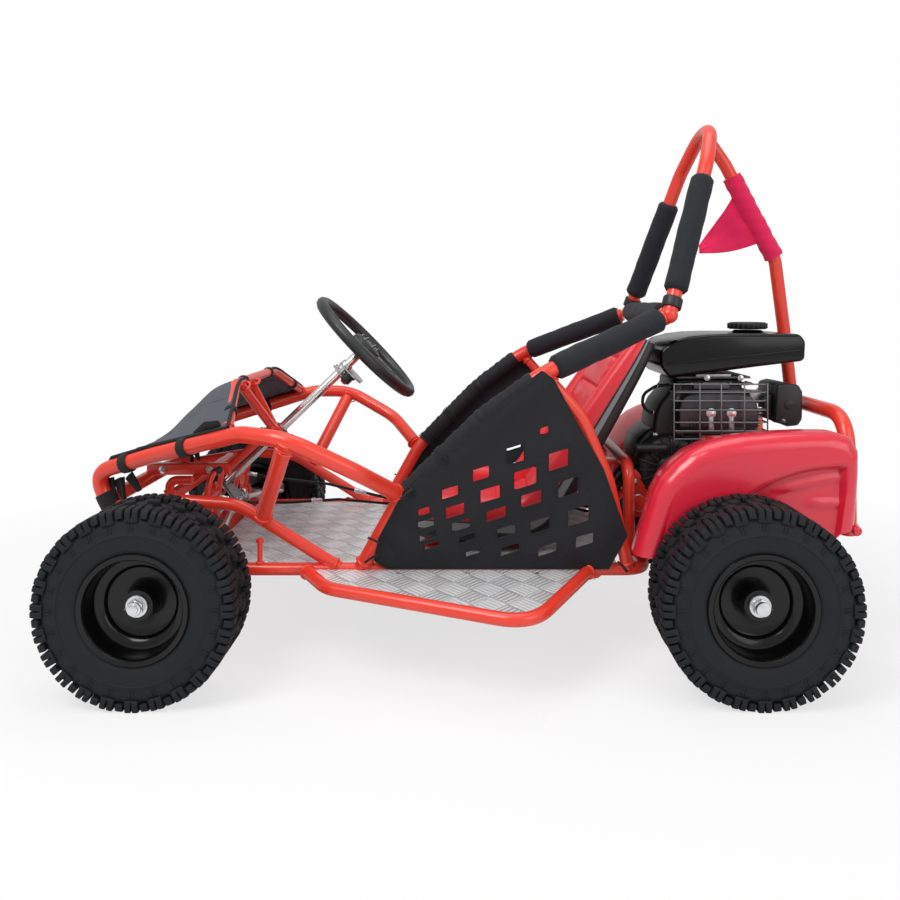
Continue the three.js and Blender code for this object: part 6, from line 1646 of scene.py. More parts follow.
@dataclass
class Drive(SubAssembly):
    """The rear axle, chain drive and brake."""

    axle: Pair = (-487.5, 156.05)
    crank: Pair = (-415.0, 315.0)
    chain_y: float = -80.0
    big: float = 75.0
    small: float = 15.0
    teeth: int = 50
    small_teeth: int = 10
    lever_x: float = -557.5
    lever_top: float = 198.05

    def toothed(self, centre: Vector, radius: float, teeth: int, thick: float) -> bmesh.types.BMesh:
        """A sprocket plate with rounded teeth.

        Args:
            centre: The sprocket's centre, in metres.
            radius: Radius over its teeth.
            teeth: How many teeth.
            thick: The plate's thickness.

        Returns:
            The plate.
        """
        outline = []
        for i in range(teeth):
            for share, drop in ((0.1, 4.6), (0.3, 1.2), (0.42, 0.0), (0.58, 0.0), (0.7, 1.2), (0.9, 4.6)):
                turn = (i + share) / teeth * math.tau
                reach = (radius - drop) / 1000
                outline.append(centre + Vector((reach * math.cos(turn), -thick / 2000, reach * math.sin(turn))))
        return plate(outline, Vector((0, thick / 1000, 0)), 0.0)

    def loop(self, offset: float) -> list[Vector]:
        """The chain's loop: points in X and Z, spaced evenly."""
        a = Vector((self.axle[0], 0, self.axle[1]))
        b = Vector((self.crank[0], 0, self.crank[1]))
        span = b - a
        heading = math.atan2(span.z, span.x)
        spread = math.acos((self.big - self.small) / span.length)
        route = []
        for centre, radius, start, end, steps in (
            (a, self.big, heading + spread, heading - spread + math.tau, 90),
            (b, self.small, heading - spread, heading + spread, 30),
        ):
            for i in range(steps + 1):
                turn = start + (end - start) * i / steps
                route.append(centre + Vector((math.cos(turn), 0, math.sin(turn))) * (radius + offset))
        return route + [route[0]]

    def chain(self) -> None:
        """The roller chain, link by link."""
        form = self.form("drive_chain_links")
        route = self.loop(5.0)
        lengths = [(q - p).length for p, q in zip(route, route[1:], strict=False)]
        count = round(sum(lengths) / 12.7 / 2) * 2
        spots = []
        for i in range(count):
            left = sum(lengths) * i / count
            for p, q, length in zip(route, route[1:], lengths, strict=False):
                if left <= length:
                    spots.append(p.lerp(q, left / length))
                    break
                left -= length
        for i, p in enumerate(spots):
            q = spots[(i + 1) % count]
            a = self.datum.at(p.x, self.chain_y, p.z)
            b = self.datum.at(q.x, self.chain_y, q.z)
            out = Vector((0, 1, 0))
            form.rod("steel", a - out * 0.0046, a + out * 0.0046, 2.1, 10, 0.4)
            form.rod("zinc", a - out * 0.0024, a + out * 0.0024, 3.8, 12, 0.3)
            gap = 0.0040 if i % 2 else 0.0028
            side = (b - a).cross(out).normalized()
            for s in (1, -1):
                points = []
                for end, sign in ((a, -1), (b, 1)):
                    way = (b - a).normalized() * sign
                    for k in range(5):
                        turn = math.radians(-80 + 40 * k) * sign
                        points.append(end + way * 0.0042 * math.cos(turn) + side * 0.0042 * math.sin(turn))
                form.plate("steel", [pt + out * (gap * s - 0.0005) for pt in points], out * 0.001, 0)
        self.keep(form, "chassis", "dark_steel", "drive_chain", sharp=30)

    def build(self) -> None:
        """Builds the drive and the brake."""
        at = self.datum.at
        x, z = self.axle
        form = self.form("rear_axle_shaft")
        form.rod("zinc", (x, -428, z), (x, 428, z), 12.5, 40, 1)
        for side in Side:
            s = side.value
            form.rod("zinc", (x, 353.7 * s, z), (x, 361.6 * s, z), 19, 36)
            form.rod("zinc", (x, 214 * s, z), (x, 224 * s, z), 19, 36)
            form.bolt((x, 219 * s, z + 19), (0, 0, 1), 3, "steel")
            hub_end(form, at(x, 428.3 * s, z), Vector((0, s, 0)), 12.2)
        self.keep(form, "rear_axle", "zinc", "rear_axle")

        form = self.form("axle_sprocket_toothed")
        form.add(self.toothed(at(x, self.chain_y, z), self.big, self.teeth, 5), "steel")
        form.lathe("zinc", [(12.8, 0), (30, 0), (30, 12), (26, 16), (12.8, 16)], (x, self.chain_y, z), (0, 1, 0),
            48, True, 0.8)
        form.lathe("zinc", [(12.8, 0), (24, 0), (22, 5), (12.8, 6)], (x, self.chain_y - 2.4, z), (0, -1, 0), 48,
            True, 0.6)
        for dx, dz in around(6):
            # Thin gloss-black discs on the sprocket's face stand in for its holes: painted shade, with no opening
            # cut.
            form.lathe("gloss_black", [(0, 0), (8.5, 0), (8.5, 0.6), (0, 0.6)],
                (x + 46 * dx, self.chain_y - 2.6, z + 46 * dz), (0, -1, 0), 28)
            form.bolt((x + 21 * dx, self.chain_y - 6, z + 21 * dz), (0, -1, 0), 3.2, "steel")
        self.keep(form, "rear_axle", "dark_steel", "axle_sprocket", sharp=30)

        form = self.form("brake_disc_drilled")
        form.lathe("zinc", [(12.8, -2), (70, -2), (70, 2), (12.8, 2)], (x, 66, z), (0, 1, 0), 72, True, 0.4)
        form.lathe("steel", [(12.8, 0), (26, 0), (26, 12), (22, 16), (12.8, 16)], (x, 66, z), (0, -1, 0), 48, True,
            0.8)
        # Each hole is a thin gloss-black disc on both faces: painted shade where the disc is drilled, with no
        # opening cut.
        for i, (dx, dz) in enumerate(around(12, 1, 8)):
            reach = 58 if i % 2 else 48
            for face in (68.05, 63.95):
                hole = (x + reach * dx, face - 0.2, z + reach * dz)
                form.rod("gloss_black", hole, (hole[0], face + 0.2, hole[2]), 3.4, 20, 0)
        self.keep(form, "rear_axle", "dark_steel", "brake_disc")

        form = self.form("brake_caliper_cast")
        form.block("alloy", (-577.5, 49, 130), (-537.5, 63.3, 182), 4, 3)
        form.block("alloy", (-577.5, 68.7, 130), (-537.5, 83, 182), 4, 3)
        form.block("alloy", (-577.5, 50, 133), (-562, 82, 179), 3, 3)
        for z1 in (140, 172):
            form.bolt((-569, 83, z1), (0, 1, 0), 4.8)
        form.lathe("alloy", [(0, 0), (15.5, 0), (15.5, 4), (12, 6), (0, 6)], (-551, 82, 156), (0, 1, 0), 36, False,
            0.6)
        form.rod("zinc", (self.lever_x, 50, z), (self.lever_x, 43, z), 4, 24)
        form.bolt((self.lever_x, 43, z), (0, -1, 0), 4.5)
        self.keep(form, "chassis", "caliper", "brake_caliper")

        form = self.form("brake_lever_arm")
        outline = []
        for centre_z, base in ((self.lever_top, 0), (z, 180)):
            for i in range(9):
                turn = math.radians(base + i * 22.5)
                outline.append((self.lever_x + 7 * math.cos(turn), 48.7, centre_z + 7 * math.sin(turn)))
        form.plate("zinc", outline, (0, -5, 0), 0.8)
        form.rod("steel", (self.lever_x, 43, self.lever_top), (self.lever_x, 49, self.lever_top), 3, 16)
        self.keep(form, "brake_lever", "dark_steel", "brake_lever")

        cx, cz = self.crank
        form = self.form("clutch_drum")
        form.add(self.toothed(at(cx, self.chain_y, cz), self.small, self.small_teeth, 5), "steel")
        form.lathe("steel", [(9.8, 0), (33, 0), (36, 3), (36, 27), (34, 30), (30, 27.5), (9.8, 27.5)],
            (cx, -38, cz), (0, -1, 0), 56, True, 0.6)
        form.rod("steel", (cx, -66, cz), (cx, -79, cz), 14, 36)
        # Three thin gloss-black squares on the drum's face stand in for its windows: painted shade, with no opening
        # cut.
        for dx, dz in around(3, 22):
            form.block("gloss_black", (cx + dx - 4, -37.4, cz + dz - 4), (cx + dx + 4, -37.8, cz + dz + 4), 0)
        self.keep(form, "clutch", "dark_steel", "clutch_sprocket", sharp=30)
        self.chain()


def inflate(piece: bpy.types.Object, voxel: float, pressure: float, cap: float, frames: int = 20) -> None:
    """Swells a piece like stuffed fabric with a cloth simulation, and keeps the result.

    Args:
        piece: The closed piece.
        voxel: Size of its new mesh's cells, in metres.
        pressure: The cloth's inner pressure.
        cap: How far a point may move, in metres.
        frames: How many frames are simulated.
    """
    scene = bpy.context.scene
    remesh = piece.modifiers.new("remesh", "REMESH")
    remesh.mode = "VOXEL"
    remesh.voxel_size = voxel
    remesh.use_smooth_shade = True
    graph = bpy.context.evaluated_depsgraph_get()
    base = bpy.data.meshes.new_from_object(piece.evaluated_get(graph))
    piece.modifiers.clear()
    piece.data = base
    start = [v.co.copy() for v in base.vertices]
    cloth = piece.modifiers.new("cloth", "CLOTH")
    cloth.settings.use_pressure = True
    cloth.settings.uniform_pressure_force = pressure
    cloth.settings.effector_weights.gravity = 0.0
    cloth.settings.quality = 6
    cloth.point_cache.frame_start = 1
    cloth.point_cache.frame_end = frames
    for frame in range(1, frames + 1):
        scene.frame_set(frame)
    graph = bpy.context.evaluated_depsgraph_get()
    swollen = bpy.data.meshes.new_from_object(piece.evaluated_get(graph))
    piece.modifiers.clear()
    piece.data = swollen
    scene.frame_set(1)
    for vert, old in zip(swollen.vertices, start, strict=True):
        move = vert.co - old
        if move.length > cap:
            vert.co = old + move * (cap / move.length)
    for polygon in piece.data.polygons:
        polygon.use_smooth = True


@dataclass
class Seat(SubAssembly):
    """The seat: a black shell with side bolsters and a red padded centre."""

    front: Point = (70.0, 0.0, 226.0)
    corner: Point = (-160.0, 0.0, 214.0)
    top: Point = (-356.0, 0.0, 566.0)
    bend: float = 90.0
    cushion: float = 280.0
    channels: tuple[float, ...] = (0.13, 0.26, 0.39, 0.58, 0.69, 0.80, 0.91)
    thin_from: float = 0.62

    def route(self, steps: int = 14) -> list[Vector]:
        """The seat's centreline, with steps along its straights."""
        stations = bent(self.datum.row([self.front, self.corner, self.top]), self.bend / 1000, 12)
        first = [stations[0].lerp(stations[1], i / steps) for i in range(steps)]
        last = [stations[-2].lerp(stations[-1], i / steps) for i in range(steps)]
        return first + stations[1:-2] + last + [stations[-1]]

    def thinned(self, depth: float, share: float) -> float:
        """A depth of the side's section, drawn in towards the seat's top.

        Args:
            depth: The depth in the full section, in metres.
            share: How far along the seat.

        Returns:
            The depth at that place.
        """
        amount = max(0.0, (share - self.thin_from) / (1 - self.thin_from)) ** 1.4
        full, slim = (-0.0343, -0.013, 0.005, 0.0495), (-0.0300, -0.016, -0.010, 0.014)
        for a, b, c, d in zip(full, full[1:], slim, slim[1:], strict=False):
            if depth <= b or b == full[-1]:
                return depth + amount * (c + (depth - a) / (b - a) * (d - c) - depth)
        return depth

    def thin(self, part: bmesh.types.BMesh, route: Sequence[Vector]) -> None:
        """Draws a strip's points in towards the seat's top."""
        count = len(route) - 1
        frames = frames_along(route)
        for vert in part.verts:
            flat = Vector((vert.co.x, 0, vert.co.z))
            near = min(range(count + 1),
                key=lambda k: abs((frames[k].inverted() @ vert.co).z) + (route[k] - flat).length)
            local = frames[near].inverted() @ vert.co
            local.x = self.thinned(local.x, near / count)
            vert.co = frames[near] @ local

    def shell(self) -> None:
        """The shell with its bolsters, piping, feet and lugs."""
        form = self.form("seat_shell_upholstered")
        section = [(-0.0343, 0.160), (-0.0300, 0.172), (-0.0235, 0.1765), (-0.013, 0.1768), (-0.013, 0.1445),
            (-0.022, 0.1443), (-0.0245, 0.138)]
        band = [(-0.013, 0.1445), (-0.013, 0.1775), (-0.004, 0.1784), (0.005, 0.1775), (0.005, 0.1445)]
        bolster = [(0.005, 0.1445), (0.005, 0.177), (0.018, 0.1784), (0.034, 0.1768), (0.045, 0.171),
            (0.0495, 0.161), (0.046, 0.150), (0.030, 0.1445)]
        outline = section + [(a, -b) for a, b in reversed(section)]
        route = self.route()
        count = len(route) - 1
        scales = [1.0 - 0.10 * abs(2 * i / count - 1) ** 12 for i in range(count + 1)]
        form.add(swept(route, scales, outline=outline), "black_vinyl")
        places = [m @ Matrix.Diagonal((s, s, 1, 1)) for m, s in zip(frames_along(route), scales, strict=True)]
        for s in (1, -1):
            for strip, finish in ((band, "grey_piping"), (bolster, "red_vinyl")):
                sides = [(a, b * s) for a, b in (strip if s > 0 else reversed(strip))]
                part = swept(route, scales, outline=sides)
                self.thin(part, route)
                form.add(part, finish)
            for a, half in ((-0.013, 0.1772), (0.005, 0.1776)):
                line = [m @ Vector((self.thinned(a, i / count), half * s, 0)) for i, m in enumerate(places)]
                form.swept("black_vinyl", line, 1.6, 10)
        for x in (-130, 30):
            for y in (120, -120):
                form.block("frame", (x - 30, y - 15, 169.3), (x + 30, y + 15, 173), 1)
                form.block("frame", (x - 22, y - 10, 171), (x + 22, y + 10, 188), 2)
                form.bolt((x - 25, y, 173), (0, 0, 1), 4.5)
        for y in (90, -90):
            form.block("frame", (-318, y - 20, 324), (-252, y + 20, 330), 1.5)
        self.keep(form, "chassis", "seat_border", "seat_shell", sharp=60)

    def padding(self) -> None:
        """The red centre: swollen by simulation, then sewn across in channels."""
        route = self.route()
        form = self.form("seat_cushion_padded")
        section = []
        for i in range(36):
            turn = math.tau * i / 36
            c, s = math.cos(turn), math.sin(turn)
            section.append((0.0185 * math.copysign(abs(c) ** 0.5, c),
                self.cushion / 2000 * math.copysign(abs(s) ** 0.42, s)))
        count = len(route) - 1
        scales = [1.0 - 0.16 * abs(2 * i / count - 1) ** 14 for i in range(count + 1)]
        form.add(swept(route, scales, outline=section), "red_vinyl")
        made = self.keep(form, "chassis", "seat_centre", "seat_cushion")
        inflate(made, 0.005, 4.0, 0.006)
        lengths = [0.0]
        for a, b in zip(route, route[1:], strict=False):
            lengths.append(lengths[-1] + (b - a).length)
        total = lengths[-1]
        fine = bmesh.new()
        fine.from_mesh(made.data)
        bmesh.ops.subdivide_edges(fine, edges=fine.edges[:], cuts=1, use_grid_fill=True, smooth=0.2)
        fine.normal_update()
        for vert in fine.verts:
            near = min(range(count), key=lambda k: (route[k] - Vector((vert.co.x, 0, vert.co.z))).length_squared)
            way = (route[near + 1] - route[near]).normalized()
            along = (lengths[near] + (Vector((vert.co.x, 0, vert.co.z)) - route[near]).dot(way)) / total
            depth = sum(math.exp(-(((along - c) * total) / 0.0045) ** 2) for c in self.channels)
            pucker = 0.0012 * math.sin(vert.co.y * 520) * sum(math.exp(-(((along - c) * total) / 0.014) ** 2)
                for c in self.channels)
            crease = 0.0018 * noise.noise(vert.co * 22)
            vert.co -= vert.normal * (0.0052 * depth + pucker * 0.6 - crease)
        fine.to_mesh(made.data)
        fine.free()
        for polygon in made.data.polygons:
            polygon.use_smooth = True

    def build(self) -> None:
        """Builds the seat."""
        self.shell()
        self.padding()


@dataclass
class Pads(SubAssembly):
    """Foam sleeves on the hoops, each slit and closed along a seam."""

    tube: float = 28.0
    foam: float = 8.0

    def sleeve(self, name: str, start: Vector, end: Vector) -> None:
        """One sleeve between two points, with its seam.

        Args:
            name: The piece's name, and its CAD node's.
            start: One end, in metres.
            end: The other end, in metres.
        """
        form = self.form(f"{name}_sleeve")
        length = (end - start).length
        steps = max(8, int(length / 0.006))
        outer = self.tube / 2000 + self.foam / 1000
        stations = [start.lerp(end, i / steps) for i in range(steps + 1)]
        part = swept(stations, outer, 48)
        way = (end - start).normalized()
        for vert in part.verts:
            along = (vert.co - start).dot(way)
            axis = start + way * along
            out = vert.co - axis
            if out.length < 1e-6:
                continue
            edge = min(along, length - along)
            droop = 0.0045 * max(0.0, 1 - edge / 0.007) ** 2
            wrinkle = 0.0011 * noise.noise(Vector((along * 26, out.x * 60, out.z * 60)) + start * 7)
            pinch = 0.0006 * math.sin(along * 190) * noise.noise(vert.co * 9)
            vert.co = axis + out * ((out.length - droop + wrinkle + pinch) / out.length)
        form.add(part, "foam")
        made = self.keep(form, "chassis", "foam", name, sharp=60)
        turn = Vector((0, 0, 1)).rotation_difference(way)
        side = turn @ Vector((0, -1, 0)) * (outer + 0.0002)
        seam = self.form(f"{name}_seam")
        seam.swept("strap", [start.lerp(end, 0.02) + side, start.lerp(end, 0.98) + side], 1.1, 8)
        self.keep(seam, "chassis", "foam")

    def build(self) -> None:
        """Builds the five sleeves."""
        row = self.datum.row
        for side in Side:
            elbow, junction, shoulder = row([(-159, lean(511), 511), (-396, 205, 609), (-490, 110, 905)], side)
            self.sleeve(f"side_pad_{side.word}", elbow.lerp(junction, 0.08), elbow.lerp(junction, 0.92))
            low, high = (0.145, 0.88) if side is Side.LEFT else (0.13, 0.8)
            self.sleeve(f"hoop_pad_{side.word}", junction.lerp(shoulder, low), junction.lerp(shoulder, high))
        left, right = row([(-396, 205, 609), (-396, -205, 609)])
        self.sleeve("cross_pad", left.lerp(right, 0.1), left.lerp(right, 0.9))


def cloth_sleeve(stations: Sequence[Vector], radius: float, swell: Callable[[Vector], float]) -> bmesh.types.BMesh:
    """A cloth sleeve round a route.

    Args:
        stations: The route.
        radius: The sleeve's radius, in metres.
        swell: How far the cloth stands out at a point, in metres.

    Returns:
        The closed sleeve.
    """
    tube = swept(stations, radius, 40)
    for vert in tube.verts:
        near = min(stations, key=lambda p: (p - vert.co).length_squared)
        out = vert.co - near
        if out.length > 1e-6:
            vert.co += out.normalized() * swell(vert.co)
    return tube


def cloth_area(part: bmesh.types.BMesh) -> float:
    """The area of all faces."""
    return sum(face.calc_area() for face in part.faces)


@dataclass
class Nets(SubAssembly):
    """The side nets: sewn panels with window gaps, on a sleeve round the hoop."""

    front: float = 132.0
    rear: float = -306.0
    low: float = 168.0
    high: float = 516.0
    cell: float = 4.0
    thickness: float = 1.8
    view_centre: Pair = (467.0, 302.0)
    view_width: float = 900.0
    rough_scale: float = 0.578
    stand_off: float = 15.0
    outline: tuple[Pair, ...] = (
        (0.655, 1), (0.42, 0.77), (0.125, 0.41), (0.02, 0.16), (0, 0.04), (0.05, 0), (0.93, 0), (1, 0.17),
        (0.9, 0.51), (0.78, 0.77), (0.7, 0.96),
    )
    gaps: tuple[tuple[float, float, float, float], ...] = (
        (424, 511, 12, 8), (426, 523, 17, 9), (428, 535, 17, 8), (432, 544, 15, 6), (450, 492, 17, 11),
        (455, 510, 19, 12), (461, 524, 19, 10), (467, 537, 17, 8), (473, 552, 15, 6), (481, 473, 17, 13),
        (490, 493, 20, 14), (496, 513, 20, 12), (506, 531, 19, 11), (510, 549, 19, 9), (515, 454, 18, 18),
        (525, 477, 23, 19), (531, 498, 21, 14), (540, 525, 20, 14), (547, 548, 19, 10), (544, 430, 9, 8),
        (558, 459, 20, 19), (568, 487, 21, 18), (578, 515, 21, 17), (584, 539, 18, 12),
    )

    def _gap(self, gap: tuple[float, float, float, float]) -> list[Pair]:
        """Turns one gap of the view from the camera into X and Z corners on the leaning plane."""
        px, py, wide, tall = gap
        eye_x, eye_y, eye_z = CAMERA
        across, down = self.view_centre
        z = eye_z - (py - down) / self.rough_scale
        scale = self.view_width / (eye_y - lean(z) - self.stand_off)
        x = (across - px) / scale + eye_x
        z = eye_z - (py - down) / scale
        half, rise = wide / scale / 2, tall / scale / 2
        slant = half * 0.32
        return [(x - half, z - rise + slant), (x + half, z - rise - slant), (x + half, z + rise - slant),
            (x - half, z + rise + slant)]

    @staticmethod
    def _inside(x: float, z: float, loop: Sequence[Pair]) -> bool:
        """Whether a place lies inside a loop."""
        found = False
        for (x0, z0), (x1, z1) in zip(loop, [*loop[1:], loop[0]], strict=True):
            if (z0 > z) != (z1 > z) and x < (x1 - x0) * (z - z0) / (z1 - z0) + x0:
                found = not found
        return found

    @staticmethod
    def _nearest(x: float, z: float, loops: Sequence[Sequence[Pair]]) -> tuple[float, float, float]:
        """The nearest place on the edges of several loops.

        Args:
            x: The place's X.
            z: The place's Z.
            loops: The loops' corners.

        Returns:
            How far the nearest place is, and its X and Z.
        """
        best = (math.inf, x, z)
        for loop in loops:
            for (x0, z0), (x1, z1) in zip(loop, [*loop[1:], loop[0]], strict=True):
                dx, dz = x1 - x0, z1 - z0
                share = max(0.0, min(1.0, ((x - x0) * dx + (z - z0) * dz) / (dx * dx + dz * dz)))
                px, pz = x0 + share * dx, z0 + share * dz
                best = min(best, (math.hypot(px - x, pz - z), px, pz))
        return best

    def _folds(self, x: float, z: float) -> float:
        """How far the panel billows outwards at a place, in millimetres."""
        pull = 3.0 * math.sin((x * 0.8 + z) * 0.034) + 2.2 * noise.noise(Vector((x, z, 0)) * 0.011)
        fine = 1.1 * noise.noise(Vector((x * 0.05, z * 0.018, 4)))
        hem = max(0.0, 1 - (z - self.low) / 60)
        ripple = 2.6 * hem * math.sin(x * 0.075 + 1)
        front = max(0.0, 1 - abs(x - 95) / 60) * max(0.0, 1 - abs(z - 215) / 80)
        return 4.5 + pull + fine + ripple + 5 * front * math.sin((x - z) * 0.08)

    def panel(self, side: Side) -> tuple[bmesh.types.BMesh, float]:
        """The panel with its gaps, and its flat area in square metres."""
        outline = [(self.front + (self.rear - self.front) * a, self.low + (self.high - self.low) * b) for a,
            b in self.outline]
        holes = [self._gap(gap) for gap in self.gaps]
        part = bmesh.new()
        columns = int((self.front - self.rear) / self.cell) + 2
        rows = int((self.high - self.low) / self.cell) + 2
        bmesh.ops.create_grid(part, x_segments=columns, y_segments=rows, size=0.5)
        for vert in part.verts:
            vert.co = Vector((self.rear - self.cell + (vert.co.x + 0.5) * columns * self.cell,
                self.low - self.cell + (vert.co.y + 0.5) * rows * self.cell, 0))
        gone = []
        for face in part.faces:
            middle = face.calc_center_median()
            if not self._inside(middle.x, middle.y, outline) or any(
                self._inside(middle.x, middle.y, hole) for hole in holes
            ):
                gone.append(face)
        bmesh.ops.delete(part, geom=gone, context="FACES")
        loops = [outline, *holes]
        for vert in part.verts:
            if vert.is_boundary:
                gap, x, z = self._nearest(vert.co.x, vert.co.y, loops)
                if gap < self.cell * 1.5:
                    vert.co = Vector((x, z, 0))
        area = cloth_area(part) * 1e-6
        bmesh.ops.remove_doubles(part, verts=part.verts, dist=0.3)
        edges = {vert: min(1.0, self._nearest(vert.co.x, vert.co.y, [outline])[0] / 26) for vert in part.verts}
        for vert in part.verts:
            x, z = vert.co.x, vert.co.y
            out = 14.6 + self._folds(x, z) * edges[vert]
            vert.co = self.datum.at(x, (lean(z) + out) * side.value, z)
        bmesh.ops.recalc_face_normals(part, faces=part.faces)
        return part, area

    def build(self) -> None:
        """Builds both nets with sleeves, bindings and ties."""
        for side in Side:
            part, area = self.panel(side)
            rim = [edge for edge in part.edges if edge.is_boundary]
            stitch = self.form(f"side_net_{side.word}_binding")
            for edge in rim:
                a, b = (vert.co.copy() for vert in edge.verts)
                if (b - a).length > 1e-5:
                    stitch.swept("strap", [a, b], 1.2, 6)
            bmesh.ops.solidify(part, geom=list(part.faces), thickness=self.thickness / 1000)
            bmesh.ops.recalc_face_normals(part, faces=part.faces)
            form = self.form(f"side_net_{side.word}_panel").add(part, "net")
            made = self.keep(form, "chassis", "net", f"side_net_{side.word}", sharp=60)
            binding = self.keep(stitch, "chassis", "net", sharp=60)

            foot, knee, elbow = self.datum.row([(x, lean(z), z) for x, z in ((84, 294), (-55, 434), (-159, 511))],
                side)
            rough = bent([foot.lerp(knee, 0.12), knee, knee.lerp(elbow, 0.85)], 0.135, 10)
            stations = []
            for a, b in zip(rough, rough[1:], strict=False):
                count = max(1, int((b - a).length / 0.006))
                stations += [a.lerp(b, i / count) for i in range(count)]
            stations.append(rough[-1])
            tube = cloth_sleeve(stations, 0.0166,
                lambda p: 0.0013 * noise.noise(p * 45) + 0.0009 * math.sin((p.x - p.z) * 260))
            hem = self.form(f"side_net_{side.word}_sleeve").add(tube, "net")
            sleeve = self.keep(hem, "chassis", "net", sharp=60)
            ties = self.form(f"side_net_{side.word}_ties")
            for x, z in ((66, 308), (10, 366)):
                centre = self.datum.at(x, lean(z) * side.value, z)
                for k in (-4, 0, 4):
                    ties.ring("strap", centre + Vector((-k, 0, k)) * 0.0007, (-0.7, 0.12 * side.value, 0.7), 19.2,
                        1.6, 32)
            for x, z, dx, dz in ((122, 196, 26, -14), (120, 214, 22, 12), (64, 312, 20, -16), (-290, 182, -16, -16)):
                a = self.datum.at(x, (lean(z) + 19) * side.value, z)
                b = a + Vector((dx, 4 * side.value, dz)) / 1000
                ties.swept("strap", [a, a.lerp(b, 0.5) + Vector((0, 0.003 * side.value, 0.002)), b], 1.7, 8, 1.6)
            tie = self.keep(ties, "chassis", "net", sharp=60)


def curve_through(points: Sequence[Vector], share: float) -> Vector:
    """A smooth curve through points.

    Args:
        points: The points that it passes.
        share: The place along the curve, from 0 to 1.

    Returns:
        The place.
    """
    last = len(points) - 1
    spot = min(share * last, last - 1e-6)
    i = int(spot)
    t = spot - i
    p0, p1, p2, p3 = (points[min(max(k, 0), last)] for k in (i - 1, i, i + 1, i + 2))
    square, cube = 2 * p0 - 5 * p1 + 4 * p2 - p3, 3 * p1 - p0 - 3 * p2 + p3
    return 0.5 * (2 * p1 + (p2 - p0) * t + square * t * t + cube * t * t * t)


